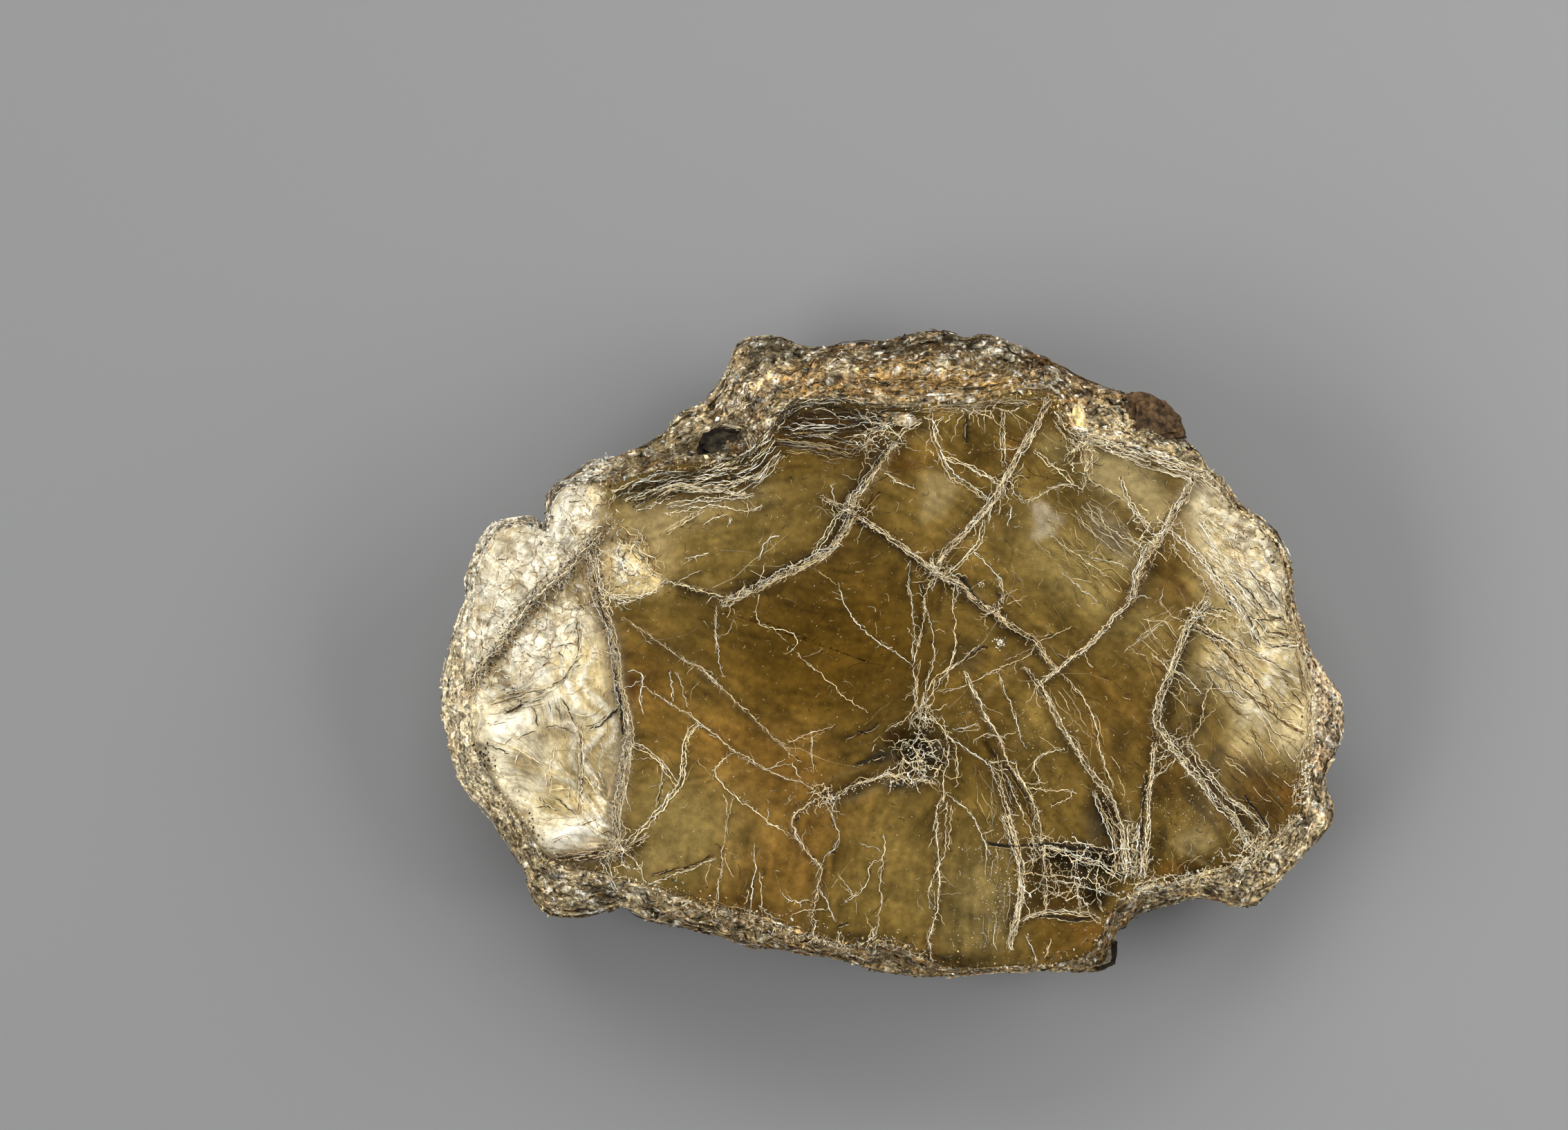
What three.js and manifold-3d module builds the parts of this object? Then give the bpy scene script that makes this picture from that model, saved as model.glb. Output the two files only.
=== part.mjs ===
// A hand specimen of vermiculite: one weathered book of mica-like sheets. It lies on its back with the
// cleavage face up. Millimetres, +Z up, origin at the middle of the flat underside.
import * as THREE from "three";
import { mergeVertices } from "three/addons/utils/BufferGeometryUtils.js";
import Module from "manifold-3d";

// Driving dimensions
const LENGTH = 100; // tip to tip along X
const DRAWN_LENGTH = 100; // the length that every point below is drawn for
const FACE_LEVEL = 23.4; // height of the middle of the cleavage face
const DOME_ALONG = 0.0008; // how fast the face falls away from its middle, per mm squared, along X
const DOME_ACROSS = 0.0013; // and along Y
const FOOT_INSET = 5.2; // how far the underside stays inside the widest outline
const FACE_RINGS = 16; // rings of the face's grid, from its middle to its edge
const OUTLINE_STEPS = 8 * FACE_RINGS; // points round the edge
const FACE_MIDDLE = [0, -2];

// The rim, clockwise seen from above, from the left tip:
// [widest x, widest y, height there, face edge x, face edge y]
const RIM = [
  [-49.8, -6.2, 9, -46.6, -5.6], [-49.5, -2.1, 9, -47.0, -2.4], [-48.6, 1.5, 10, -46.9, 1.0],
  [-47.8, 4.7, 10, -46.4, 4.6], [-46.9, 6.0, 11, -45.9, 6.2], [-47.1, 7.5, 11, -46.0, 7.6],
  [-46.3, 10.5, 11, -45.2, 10.2], [-45.6, 12.3, 11, -44.6, 11.8], [-44.2, 14.3, 12, -43.4, 13.4],
  [-41.6, 14.8, 12, -41.2, 13.9], [-38.6, 15.6, 12, -38.2, 14.8], [-38.2, 17.0, 12, -37.2, 16.4],
  [-37.2, 18.7, 12, -36.4, 17.9], [-35.4, 19.4, 12, -34.9, 18.4], [-33.0, 21.3, 11, -32.6, 18.8],
  [-30.2, 21.8, 11, -30.6, 18.9], [-26.4, 23.4, 10, -27.8, 19.6], [-24.7, 24.9, 10, -24.6, 20.5],
  [-23.5, 26.5, 10, -22.3, 20.9], [-21.0, 27.6, 10, -20.0, 21.2], [-18.6, 30.7, 9, -17.8, 21.6],
  [-16.8, 34.2, 9, -16.0, 22.4], [-12.8, 34.8, 9, -13.8, 24.6], [-9.1, 33.6, 9, -11.2, 27.0],
  [-5.0, 34.1, 9, -8.3, 27.8], [-0.9, 34.4, 9, -4.4, 27.5], [1.8, 35.2, 9, -1.0, 27.0],
  [4.3, 35.6, 9, 2.6, 27.1], [6.6, 35.3, 9, 5.4, 27.6], [8.3, 34.6, 9, 8.4, 27.5],
  [10.0, 35.1, 9, 11.2, 28.3], [13.4, 34.1, 9, 14.4, 28.6], [16.8, 32.5, 10, 17.2, 28.3],
  [20.6, 30.5, 10, 18.7, 27.0], [24.3, 29.1, 10, 19.3, 25.2], [26.7, 28.4, 10, 20.4, 24.1],
  [29.6, 27.2, 10, 22.2, 23.6], [31.5, 25.4, 10, 24.6, 22.8], [32.1, 23.7, 10, 27.4, 21.7],
  [33.9, 22.2, 10, 30.0, 21.1], [34.9, 20.3, 10, 33.0, 20.2], [36.2, 19.5, 10, 35.2, 18.8],
  [37.3, 17.7, 10, 36.4, 17.2], [39.0, 16.0, 10, 38.0, 15.3], [41.2, 14.4, 10, 40.2, 13.7],
  [42.9, 12.1, 10, 41.9, 11.6], [44.0, 9.9, 10, 42.9, 9.5], [44.2, 7.1, 10, 43.2, 6.9],
  [44.4, 4.9, 9, 43.2, 4.7], [45.5, 2.7, 9, 43.8, 2.3], [46.1, 0.7, 9, 44.9, 0.2],
  [47.4, -1.6, 9, 45.9, -1.8], [49.0, -3.9, 9, 46.6, -4.2], [49.8, -6.1, 9, 46.9, -6.4],
  [50.0, -7.8, 9, 46.8, -8.2], [49.4, -10.0, 9, 46.4, -10.0], [48.6, -12.1, 9, 46.0, -12.0],
  [47.6, -14.4, 9, 45.6, -14.2], [48.4, -15.8, 9, 45.7, -15.8], [48.6, -17.8, 9, 45.1, -17.4],
  [47.7, -19.6, 9, 43.7, -18.8], [46.4, -21.2, 9, 42.2, -20.2], [44.7, -23.2, 9, 40.9, -21.8],
  [42.6, -25.4, 9, 39.4, -22.8], [41.3, -26.8, 9, 38.2, -23.4], [39.5, -28.1, 8, 36.8, -23.8],
  [37.3, -27.7, 8, 35.2, -24.0], [34.6, -27.1, 8, 33.2, -24.4], [32.6, -27.3, 8, 31.2, -24.9],
  [28.4, -28.5, 8, 28.4, -25.2], [25.7, -29.7, 8, 25.6, -26.6], [24.3, -31.0, 8, 23.5, -28.9],
  [24.7, -32.4, 8, 22.9, -30.8], [24.2, -34.2, 8, 22.0, -32.4], [22.9, -35.0, 8, 20.6, -33.3],
  [18.9, -35.0, 8, 17.6, -34.0], [14.1, -35.1, 8, 13.8, -34.2], [8.6, -35.4, 8, 8.6, -34.4],
  [5.6, -35.7, 8, 5.6, -34.2], [3.2, -35.8, 8, 3.4, -33.2], [-0.2, -35.4, 8, 0.2, -31.8],
  [-2.9, -34.8, 8, -2.6, -31.7], [-5.7, -33.9, 8, -5.4, -31.8], [-10.4, -33.1, 8, -9.4, -30.6],
  [-15.2, -32.4, 8, -13.4, -29.0], [-20.0, -31.1, 8, -17.6, -28.0], [-24.1, -30.2, 8, -21.8, -27.1],
  [-27.3, -29.5, 8, -25.4, -25.8], [-29.4, -28.2, 8, -28.0, -25.2], [-31.3, -28.3, 8, -30.4, -24.6],
  [-33.3, -29.0, 8, -32.8, -24.0], [-36.0, -29.1, 8, -35.6, -23.5], [-38.5, -28.6, 8, -37.8, -22.6],
  [-39.9, -26.9, 8, -39.2, -21.0], [-40.5, -24.4, 8, -40.4, -19.2], [-41.8, -22.2, 8, -41.6, -17.6],
  [-43.8, -18.9, 8, -43.0, -15.8], [-45.5, -16.9, 8, -44.0, -14.2], [-47.3, -15.1, 8, -45.0, -12.4],
  [-48.4, -12.7, 8, -45.9, -10.8], [-49.1, -9.4, 9, -46.4, -8.4],
];

// The rim's laminae in profile, from the face's edge to the widest outline: [share out, share down]
const LEDGES = [[0.07, 0.24], [0.36, 0.3], [0.44, 0.58], [0.82, 0.64], [1, 1]];
// and from the widest outline to the underside: [share of the foot inset, share of the height left]
const UNDERCUT = [[0.04, 0.8], [0.34, 0.72], [0.38, 0.42], [0.72, 0.34], [1, 0]];
const CHUNK_OUT = 0.75; // how far broken laminae stand in or out of the upper profile
const CHUNK_DOWN = 0.8; // and up or down
const CHUNK_BELOW = 0.6; // how far they stand in or out below the widest outline
const CHUNK_STEPS = { out: 2, down: 3, below: 3 }; // outline points that such a chunk takes in
const BROAD_RIM = 3; // chunks are at their full size where the rim is at least this wide
const LEAST_SHARE_OUT = 0.05; // no ledge comes nearer to the face's edge than this share of the rim

// Frayed seams that cross the face and stand proud of it: width, height and the route on the face.
// A drop lowers the sheet on the right hand of the route, over the given reach.
const SEAMS = [
  { width: 1.7, height: 0.7, drop: 1.5, reach: 9,
    route: [[-21, 4.6], [-19, 5.4], [-14.9, 7.3], [-12.4, 8.6], [-8.9, 10.3], [-7, 11.2], [-5.9, 12.9],
      [-4, 14.8], [-2.1, 19.5], [0.3, 23.2]].reverse() },
  { width: 1.3, height: 0.6, drop: 0.9, reach: 10,
    route: [[-8.1, 17.4], [-5.5, 15.9], [-3.6, 14.8], [-0.6, 12.9], [2.6, 10.5], [5.6, 8.3], [8.6, 6.1],
      [11.7, 4.4], [14.3, 2.2], [16.7, -0.4], [18, -1.9]] },
  { width: 1.6, height: 0.7, drop: 0.5, reach: 8,
    route: [[17.3, 28], [16.2, 25.8], [14.6, 23.1], [11.9, 18.4], [10.6, 16.4], [8.1, 13.5], [4.8, 9.6]] },
  { width: 1.7, height: 0.7, drop: 0.6, reach: 7,
    route: [[33.2, 20], [32.1, 17.3], [29.4, 13], [26.8, 9], [26.2, 6], [22.8, 2.4], [19.5, -0.6],
      [16, -3.4]].reverse() },
  { width: 1.6, height: 0.7, drop: 0.8, reach: 9,
    route: [[34.7, 6.2], [32.5, 3.1], [30.5, -1.8], [28.6, -7.6], [31.1, -10.8], [33.4, -13.7],
      [37.5, -18], [40.6, -23]].reverse() },
  { width: 1.3, height: 0.6, drop: 0, reach: 1,
    route: [[32.1, -9.8], [36.7, -15], [39.3, -17.6], [41.4, -20.4]] },
  { width: 1.4, height: 0.6, drop: 0.5, reach: 8,
    route: [[14.3, -1.3], [17.1, -5.2], [18.4, -8], [20.6, -11.3], [24.1, -16], [25.4, -20], [25.6, -24.6]] },
  { width: 1.3, height: 0.6, drop: 0, reach: 1,
    route: [[28.4, -9.6], [28.3, -13.7], [27.7, -19], [27.8, -24.4]] },
  { width: 1.2, height: 0.5, drop: 0.5, reach: 6,
    route: [[7.8, -1.7], [10.1, -6.9], [12.8, -12.2], [15.4, -17], [16.4, -21], [16.7, -27.6]] },
  { width: 1.2, height: 0.6, drop: 0, reach: 1,
    route: [[10.7, -12], [13.2, -19], [14.2, -24], [13.6, -29.2], [12.8, -33]] },
  { width: 1.1, height: 0.5, drop: 0, reach: 1,
    route: [[4.6, -15.2], [4.9, -20], [5.1, -24.9], [4.5, -29.5], [4.0, -33.2]] },
  { width: 1.9, height: 0.8, drop: 1.2, reach: 12,
    route: [[-33.2, 11.5], [-32.4, 5.5], [-30.5, 0], [-29.2, -6.5], [-29.2, -11], [-30.2, -17],
      [-30.2, -21.3]] },
  { width: 1.4, height: 0.6, drop: 0.8, reach: 6,
    route: [[-31.8, 13.3], [-35.8, 9.1], [-40, 5.3], [-43.5, 0.5], [-46, -2.4]].reverse() },
  { width: 1.0, height: 0.5, drop: 0.5, reach: 6,
    route: [[-30.1, 4], [-23, -0.6], [-17.9, -4.7], [-12.3, -9.8], [-10.2, -11.8]] },
  { width: 1.0, height: 0.5, drop: 0, reach: 1,
    route: [[-27.7, -3.4], [-21.7, -7.3], [-17.4, -10.7], [-12.2, -13.5], [-8.5, -15.1], [-4, -14.1],
      [0, -13.3]] },
  { width: 1.0, height: 0.5, drop: 0, reach: 1,
    route: [[-6.4, -15.7], [-10.9, -17.8], [-9.9, -21.3], [-7.9, -23.1], [-8.6, -27], [-9.2, -31]] },
  { width: 1.5, height: 0.6, drop: 0, reach: 1,
    route: [[20.4, 23.4], [25.4, 22.2], [30.4, 20.7], [35, 19]] },
  { width: 1.2, height: 0.6, drop: 0.7, reach: 5,
    route: [[-25.2, 16.8], [-20, 17.4], [-14.8, 18.6]] },
  { width: 1.4, height: 0.7, drop: 0, reach: 1,
    route: [[-12.6, 24.9], [-7, 26.4], [-1.4, 25.2]] },
  { width: 1.1, height: 0.5, drop: 0, reach: 1,
    route: [[14.3, -29], [18.8, -28.3], [22.8, -29]] },
];
const SEAM_SUNK = 0.7; // how deep a seam's foot lies in the face
const SEAM_STEP = 4.2; // how far apart its cross-sections are
const SEAM_END = 0.45; // its thickness at both ends, as a share of that between them
const SEAM_UNEVENNESS = 0.2; // how much that thickness varies
const DROP_SOFTNESS = 0.35; // how sharply a sheet steps down beside its seam
const DROP_FADE = 4; // a drop fades out over this length at the seam's ends

// Broad forms of the face: [middle x, middle y, half length, half width, turn in degrees, height]
const FORMS = [
  [-35.2, -19.3, 5.2, 1.7, 19, 2.4], // bright rolled fold of foil
  [-33.0, -23.0, 6.0, 1.3, 12, -1.6], // gutter below the fold
  [-43.5, 7.5, 3.0, 4.0, 20, 1.2], // the two crumpled lobes at the upper left
  [-35.8, 15.5, 2.2, 3.0, 0, 1.3],
  [-29.0, 9.3, 2.2, 2.2, 0, 0.8], // pearly cell
  [-37.5, -0.5, 3.5, 3.0, -30, 0.9], // crumples of the left foil
  [-38.5, -9.5, 4.0, 2.0, 45, -1.0],
  [-41.0, -4.8, 4.5, 1.0, 15, -0.9],
  [2.6, -11.0, 3.9, 3.2, 0, -1.9], // hollow under the nest of frayed sheets
  [-5.0, -14.6, 5.5, 1.1, 20, -0.9],
  [0.5, 25.4, 3.2, 1.3, -8, -1.6], // dark hollow at the top edge
  [-7.4, 25.0, 5.0, 2.2, 0, 0.9], // lens of grey laminae
  [-22.0, 14.5, 5.0, 1.6, 18, 0.9], // gold folds
  [8.5, 0.2, 2.5, 2.0, 0, -0.7],
  [23.6, -19.0, 2.2, 3.0, 0, -1.2], // dark gap in the lower right
  [33.5, -20.5, 5.0, 3.6, 10, 0.8],
  [40.5, -4.0, 1.6, 7.0, -35, 0.9], // creases of the right foil
  [43.8, -6.0, 1.3, 6.0, -35, -0.8],
  [37.0, -1.5, 1.3, 7.0, -40, -0.6],
  [40.8, 10.5, 2.0, 4.5, -8, 0.9],
  [37.6, 9.0, 1.2, 5.0, -14, -0.7],
  [31.0, 7.0, 3.6, 3.0, 0, -0.8],
  [36.0, -8.5, 3.0, 3.0, 0, -0.9],
];
// The sheets bend down towards the ends: [direction x, direction y, where it starts, slope]
const BENDS = [[-1, -0.1, 31, 0.4], [1, 0.12, 33, 0.5], [-0.6, 0.8, 31, 0.35], [0.72, -0.7, 36, 0.4],
  [-0.75, -0.66, 37, 0.45], [0, -1, 30, 0.3]];
const BEND_SOFTNESS = 2.2;

// Crumpling of the foil at both ends: [middle x, middle y, half length, half width, turn in degrees]
const FOIL = [[-41, 0, 8, 17, -14], [-36, 14, 5, 6, 0], [-30, 9.5, 3, 4, 0], [40, 2, 7, 16, 14]];
const CRUMPLE = 1.1; // height of its folds
const FOLD_SPACING = 6.5;
const FOLD_SWAY = 1.6; // how far the folds sway to and fro
const FOLD_SWAY_LENGTH = 3.1; // and how slowly, in mm to the radian
const FOLD_WAYS = [[0.8, 0.6, 0], [0.35, -0.94, 2], [1.3, -0.3, 0]]; // [per mm of x, per mm of y, shift]

const SOCKET_FULLNESS = 1.1; // makes up for the flats of a faceted socket
// Sockets broken into the rim: [x, y, z, half length, half width, half depth]
const SOCKETS = [[-18, 23.1, 20.6, 3.0, 2.1, 2.8], [-45.9, -10.4, 15.6, 1.8, 1.2, 1.8],
  [-43.3, -15.9, 14.6, 1.6, 1.3, 1.8], [23.2, -32.0, 16.5, 1.5, 2.1, 2.0], [-26.4, 21.2, 17.5, 3.2, 1.4, 2.0],
  [-6, -33.2, 15.5, 2.2, 1.2, 2.0], [5, 33.0, 15.6, 2.6, 1.2, 1.8], [48.6, -8.6, 13, 1.4, 1.0, 1.6],
  [-29.5, -27.6, 13, 1.3, 1.1, 1.8], [41.4, -22.8, 15, 1.4, 1.0, 1.6]];
const FLAKE_SIDES = 6;
const FLAKE_FULLNESS = 1.05; // makes up for its flats
const FLAKE_CHIPPING = 0.12; // how far its corners lie in or out, as a share
const FLAKE_SKEW = 0.3; // and to the side, in radians
// Flakes and blocks of sheets that stand on the rim:
// [x, y, z, half length, half width, half height, turn, tilt], angles in degrees
const FLAKES = [[28.9, 25.6, 15.6, 3.1, 2.5, 1.0, -12, 14], [20.2, 25.7, 19.4, 0.9, 1.7, 1.5, 8, 8],
  [-33.0, -26.4, 13.6, 2.4, 1.9, 2.0, 10, 22], [-20.6, 27.0, 13.0, 3.0, 1.6, 1.6, 35, 24],
  [-3.0, 31.8, 13.6, 4.6, 1.6, 1.6, 4, 20], [8.4, 31.2, 15.0, 5.0, 1.5, 1.4, -6, 24],
  [38.6, -25.6, 11.4, 2.0, 1.7, 1.8, 20, 16], [47.4, -6.4, 11.6, 1.8, 2.4, 1.2, 0, 12],
  [46.4, -17.8, 11.2, 1.7, 1.8, 1.6, 0, 12], [-12.5, 31.6, 12.6, 3.8, 1.8, 1.6, 10, 26],
  [-17.5, -30.4, 12.2, 4.0, 1.1, 1.5, -14, 20], [18.4, 30.6, 14.2, 3.4, 1.3, 1.3, -26, 26]];
// The notch between the two crumpled lobes: middle of its mouth and of its bottom, how far each opens to
// the left and right, and how low it goes
const NOTCH = { mouth: [-38.5, 17.2], mouthLeft: 1.05, mouthRight: 0.9, bottom: [-38.5, 12.2],
  bottomHalf: 0.3, floor: 8.5 };
const MERGE_DISTANCE = 1e-4; // corners of a geometry that lie this close are one

const wasm = await Module();
wasm.setup();

// A steady pseudo-random number between -1 and 1 for two whole numbers.
function chance(a, b) {
  const wave = Math.sin(a * 12.9898 + b * 78.233) * 43758.5453;
  return 2 * (wave - Math.floor(wave)) - 1;
}

// Points spaced evenly along a closed run of rows, on a smooth curve through them.
function evenRing(rows, count) {
  const at = (i) => rows[(i + rows.length) % rows.length];
  const lengths = rows.map((row, i) => Math.hypot(at(i + 1)[0] - row[0], at(i + 1)[1] - row[1]));
  const whole = lengths.reduce((sum, length) => sum + length, 0);
  const ring = [];
  let row = 0;
  let done = 0;
  for (let n = 0; n < count; n += 1) {
    const wanted = (whole * n) / count;
    while (done + lengths[row] < wanted) {
      done += lengths[row];
      row += 1;
    }
    const t = (wanted - done) / lengths[row];
    const [a, b, c, d] = [at(row - 1), at(row), at(row + 1), at(row + 2)];
    ring.push(b.map((value, k) => {
      const leave = ((c[k] - a[k]) * lengths[row]) / (lengths[row] + lengths.at(row - 1));
      const arrive = ((d[k] - value) * lengths[row]) / (lengths[row] + lengths[(row + 1) % rows.length]);
      return (2 * t ** 3 - 3 * t ** 2 + 1) * value + (t ** 3 - 2 * t ** 2 + t) * leave
        + (3 * t ** 2 - 2 * t ** 3) * c[k] + (t ** 3 - t ** 2) * arrive;
    }));
  }
  return ring;
}

// How far a point lies from a route, on which side (positive on the right hand), and how near its ends.
function besideRoute(x, y, route) {
  let best = { distance: Infinity, side: 0, fromEnd: 0 };
  let before = 0;
  const pieces = route.slice(1).map((p, i) => Math.hypot(p[0] - route[i][0], p[1] - route[i][1]));
  const whole = pieces.reduce((sum, piece) => sum + piece, 0);
  for (let i = 0; i + 1 < route.length; i += 1) {
    const [ax, ay] = route[i];
    const [dx, dy] = [route[i + 1][0] - ax, route[i + 1][1] - ay];
    const length = pieces[i];
    const t = THREE.MathUtils.clamp(((x - ax) * dx + (y - ay) * dy) / length ** 2, 0, 1);
    const distance = Math.hypot(x - ax - t * dx, y - ay - t * dy);
    if (distance < best.distance) {
      const along = before + t * length;
      const side = Math.sign((x - ax) * dy - (y - ay) * dx);
      best = { distance, side, fromEnd: Math.min(along, whole - along) };
    }
    before += length;
  }
  return best;
}

// Sharp-crested folds that cross each other at three angles, between -1 and 1.
function folds(x, y) {
  const bent = x + FOLD_SWAY * Math.sin(y / FOLD_SWAY_LENGTH);
  let sum = 0;
  for (const [perX, perY, shift] of FOLD_WAYS) {
    const along = (perX * bent + perY * y + shift) / FOLD_SPACING;
    sum += 1 - 2 * Math.abs(2 * (along - Math.floor(along)) - 1);
  }
  return sum / FOLD_WAYS.length;
}

// Height of the cleavage face over a point.
function faceHeight(x, y) {
  let z = FACE_LEVEL - DOME_ALONG * x * x - DOME_ACROSS * y * y;
  for (const [dx, dy, start, slope] of BENDS) {
    z -= slope * BEND_SOFTNESS * Math.log1p(Math.exp((x * dx + y * dy - start) / BEND_SOFTNESS));
  }
  for (const [cx, cy, half, across, turn, height] of FORMS) {
    const angle = THREE.MathUtils.degToRad(turn);
    const u = ((x - cx) * Math.cos(angle) + (y - cy) * Math.sin(angle)) / half;
    const v = ((y - cy) * Math.cos(angle) - (x - cx) * Math.sin(angle)) / across;
    z += height * Math.exp(-u * u - v * v);
  }
  for (const [cx, cy, half, across, turn] of FOIL) {
    const angle = THREE.MathUtils.degToRad(turn);
    const u = ((x - cx) * Math.cos(angle) + (y - cy) * Math.sin(angle)) / half;
    const v = ((y - cy) * Math.cos(angle) - (x - cx) * Math.sin(angle)) / across;
    z += CRUMPLE * Math.exp(-((u * u + v * v) ** 2)) * folds(x, y);
  }
  for (const { drop, reach, route } of SEAMS) {
    if (drop === 0) continue;
    const { distance, side, fromEnd } = besideRoute(x, y, route);
    const lowered = 1 / (1 + Math.exp((-side * distance) / DROP_SOFTNESS));
    z -= drop * lowered * Math.exp(-distance / reach) * Math.min(1, fromEnd / DROP_FADE);
  }
  return z;
}

// A closed mesh from points and triangles, as a solid that can be joined and cut.
function solidFrom(points, triangles) {
  const vertProperties = new Float32Array(points.flat());
  const triVerts = new Uint32Array(triangles);
  return new wasm.Manifold(new wasm.Mesh({ numProp: 3, vertProperties, triVerts }));
}

// The same from a three.js geometry.
function solidFromGeometry(geometry) {
  const bare = geometry.clone();
  bare.deleteAttribute("normal");
  bare.deleteAttribute("uv");
  const merged = mergeVertices(bare.index ? bare.toNonIndexed() : bare, MERGE_DISTANCE);
  const vertProperties = new Float32Array(merged.attributes.position.array);
  const triVerts = new Uint32Array(merged.index.array);
  return new wasm.Manifold(new wasm.Mesh({ numProp: 3, vertProperties, triVerts }));
}

// Where a point of the face's square grid falls: its ring, and how far round the ring.
function ringPlace(i, j) {
  const ring = Math.max(Math.abs(i), Math.abs(j));
  if (ring === 0) return { ring, turn: 0 };
  let step;
  if (j === ring) step = 2 * ring + i;
  else if (i === ring) step = 4 * ring - j;
  else if (j === -ring) step = 6 * ring - i;
  else step = (8 * ring + j) % (8 * ring);
  return { ring, turn: step / (8 * ring) };
}

// The book itself: the face's grid, the ledges of its rim and the flat underside.
function bookSolid() {
  const rim = evenRing(RIM, OUTLINE_STEPS);
  const points = [];
  const triangles = [];
  const side = 2 * FACE_RINGS + 1;
  const gridIndex = (i, j) => (i + FACE_RINGS) * side + j + FACE_RINGS;
  for (let i = -FACE_RINGS; i <= FACE_RINGS; i += 1) {
    for (let j = -FACE_RINGS; j <= FACE_RINGS; j += 1) {
      const { ring, turn } = ringPlace(i, j);
      const place = turn * OUTLINE_STEPS;
      const a = rim[Math.floor(place) % OUTLINE_STEPS];
      const b = rim[(Math.floor(place) + 1) % OUTLINE_STEPS];
      const share = place % 1;
      const [x, y] = [3, 4].map((k, axis) => {
        const edge = a[k] * (1 - share) + b[k] * share;
        return FACE_MIDDLE[axis] + ((edge - FACE_MIDDLE[axis]) * ring) / FACE_RINGS;
      });
      points.push([x, y, faceHeight(x, y)]);
    }
  }
  for (let i = -FACE_RINGS; i < FACE_RINGS; i += 1) {
    for (let j = -FACE_RINGS; j < FACE_RINGS; j += 1) {
      const [a, b] = [gridIndex(i, j), gridIndex(i + 1, j)];
      const [c, d] = [gridIndex(i + 1, j + 1), gridIndex(i, j + 1)];
      if (i * j > 0) triangles.push(a, b, c, a, c, d);
      else triangles.push(a, b, d, b, c, d);
    }
  }
  const faceEdge = [];
  for (let n = 0; n < OUTLINE_STEPS; n += 1) faceEdge.push(0);
  for (let i = -FACE_RINGS; i <= FACE_RINGS; i += 1) {
    for (let j = -FACE_RINGS; j <= FACE_RINGS; j += 1) {
      const { ring, turn } = ringPlace(i, j);
      if (ring === FACE_RINGS) faceEdge[Math.round(turn * OUTLINE_STEPS)] = gridIndex(i, j);
    }
  }
  const rings = [faceEdge];
  const addRing = (place) => {
    rings.push(rim.map((row, n) => {
      points.push(place(row, n));
      return points.length - 1;
    }));
  };
  LEDGES.forEach(([out, down], level) => addRing(([x, y, z, ex, ey], n) => {
    const top = points[faceEdge[n]][2];
    const loose = out < 1 ? CHUNK_OUT * chance(Math.floor(n / CHUNK_STEPS.out), level) : 0;
    const span = Math.hypot(x - ex, y - ey);
    const moved = out + (loose * Math.min(1, span / BROAD_RIM)) / span;
    const share = THREE.MathUtils.clamp(moved, LEAST_SHARE_OUT, 1);
    const sunk = CHUNK_DOWN * chance(Math.floor(n / CHUNK_STEPS.down), level + 20);
    const height = top + (z - top) * down + sunk * (1 - down);
    return [ex + (x - ex) * share, ey + (y - ey) * share, height];
  }));
  UNDERCUT.forEach(([inset, left], level) => addRing(([x, y, z], n) => {
    const radius = Math.hypot(x, y);
    const loose = CHUNK_BELOW * chance(Math.floor(n / CHUNK_STEPS.below), level + 40);
    const share = 1 - (FOOT_INSET * inset + loose * (1 - inset)) / radius;
    return [x * share, y * share, z * left];
  }));
  for (let level = 0; level + 1 < rings.length; level += 1) {
    for (let n = 0; n < OUTLINE_STEPS; n += 1) {
      const next = (n + 1) % OUTLINE_STEPS;
      const [a, b, c, d] = [rings[level][n], rings[level][next], rings[level + 1][next], rings[level + 1][n]];
      triangles.push(a, b, d, b, c, d);
    }
  }
  const foot = rings.at(-1);
  const contour = foot.map((index) => new THREE.Vector2(points[index][0], points[index][1]));
  for (const [a, b, c] of THREE.ShapeUtils.triangulateShape(contour, [])) {
    const [p, q, r] = [contour[a], contour[b], contour[c]];
    const anticlockwise = (q.x - p.x) * (r.y - p.y) - (q.y - p.y) * (r.x - p.x) > 0;
    if (anticlockwise) triangles.push(foot[a], foot[c], foot[b]);
    else triangles.push(foot[a], foot[b], foot[c]);
  }
  return solidFrom(points, triangles);
}

// A seam's frayed sheet edges as a ridge of three-sided section along its route, thinning at both ends.
function seamSolid({ width, height, route }, number) {
  const curve = new THREE.CatmullRomCurve3(route.map(([x, y]) => new THREE.Vector3(x, y, 0)));
  const steps = Math.max(3, Math.round(curve.getLength() / SEAM_STEP));
  const points = [];
  for (let n = 0; n <= steps; n += 1) {
    const at = curve.getPointAt(n / steps);
    const ahead = curve.getTangentAt(n / steps);
    const atEnd = n === 0 || n === steps;
    const thin = atEnd ? SEAM_END : 1 + SEAM_UNEVENNESS * chance(n, number);
    const half = (width / 2) * thin;
    const foot = faceHeight(at.x, at.y) - SEAM_SUNK;
    points.push([at.x - ahead.y * half, at.y + ahead.x * half, foot]);
    points.push([at.x + ahead.y * half, at.y - ahead.x * half, foot]);
    points.push([at.x, at.y, foot + SEAM_SUNK + height * thin]);
  }
  const triangles = [0, 1, 2];
  for (let n = 0; n < steps; n += 1) {
    for (let k = 0; k < 3; k += 1) {
      const [a, b] = [3 * n + k, 3 * n + ((k + 1) % 3)];
      triangles.push(a, a + 3, b, b, a + 3, b + 3);
    }
  }
  const last = 3 * steps;
  triangles.push(last, last + 2, last + 1);
  return solidFrom(points, triangles);
}

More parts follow.
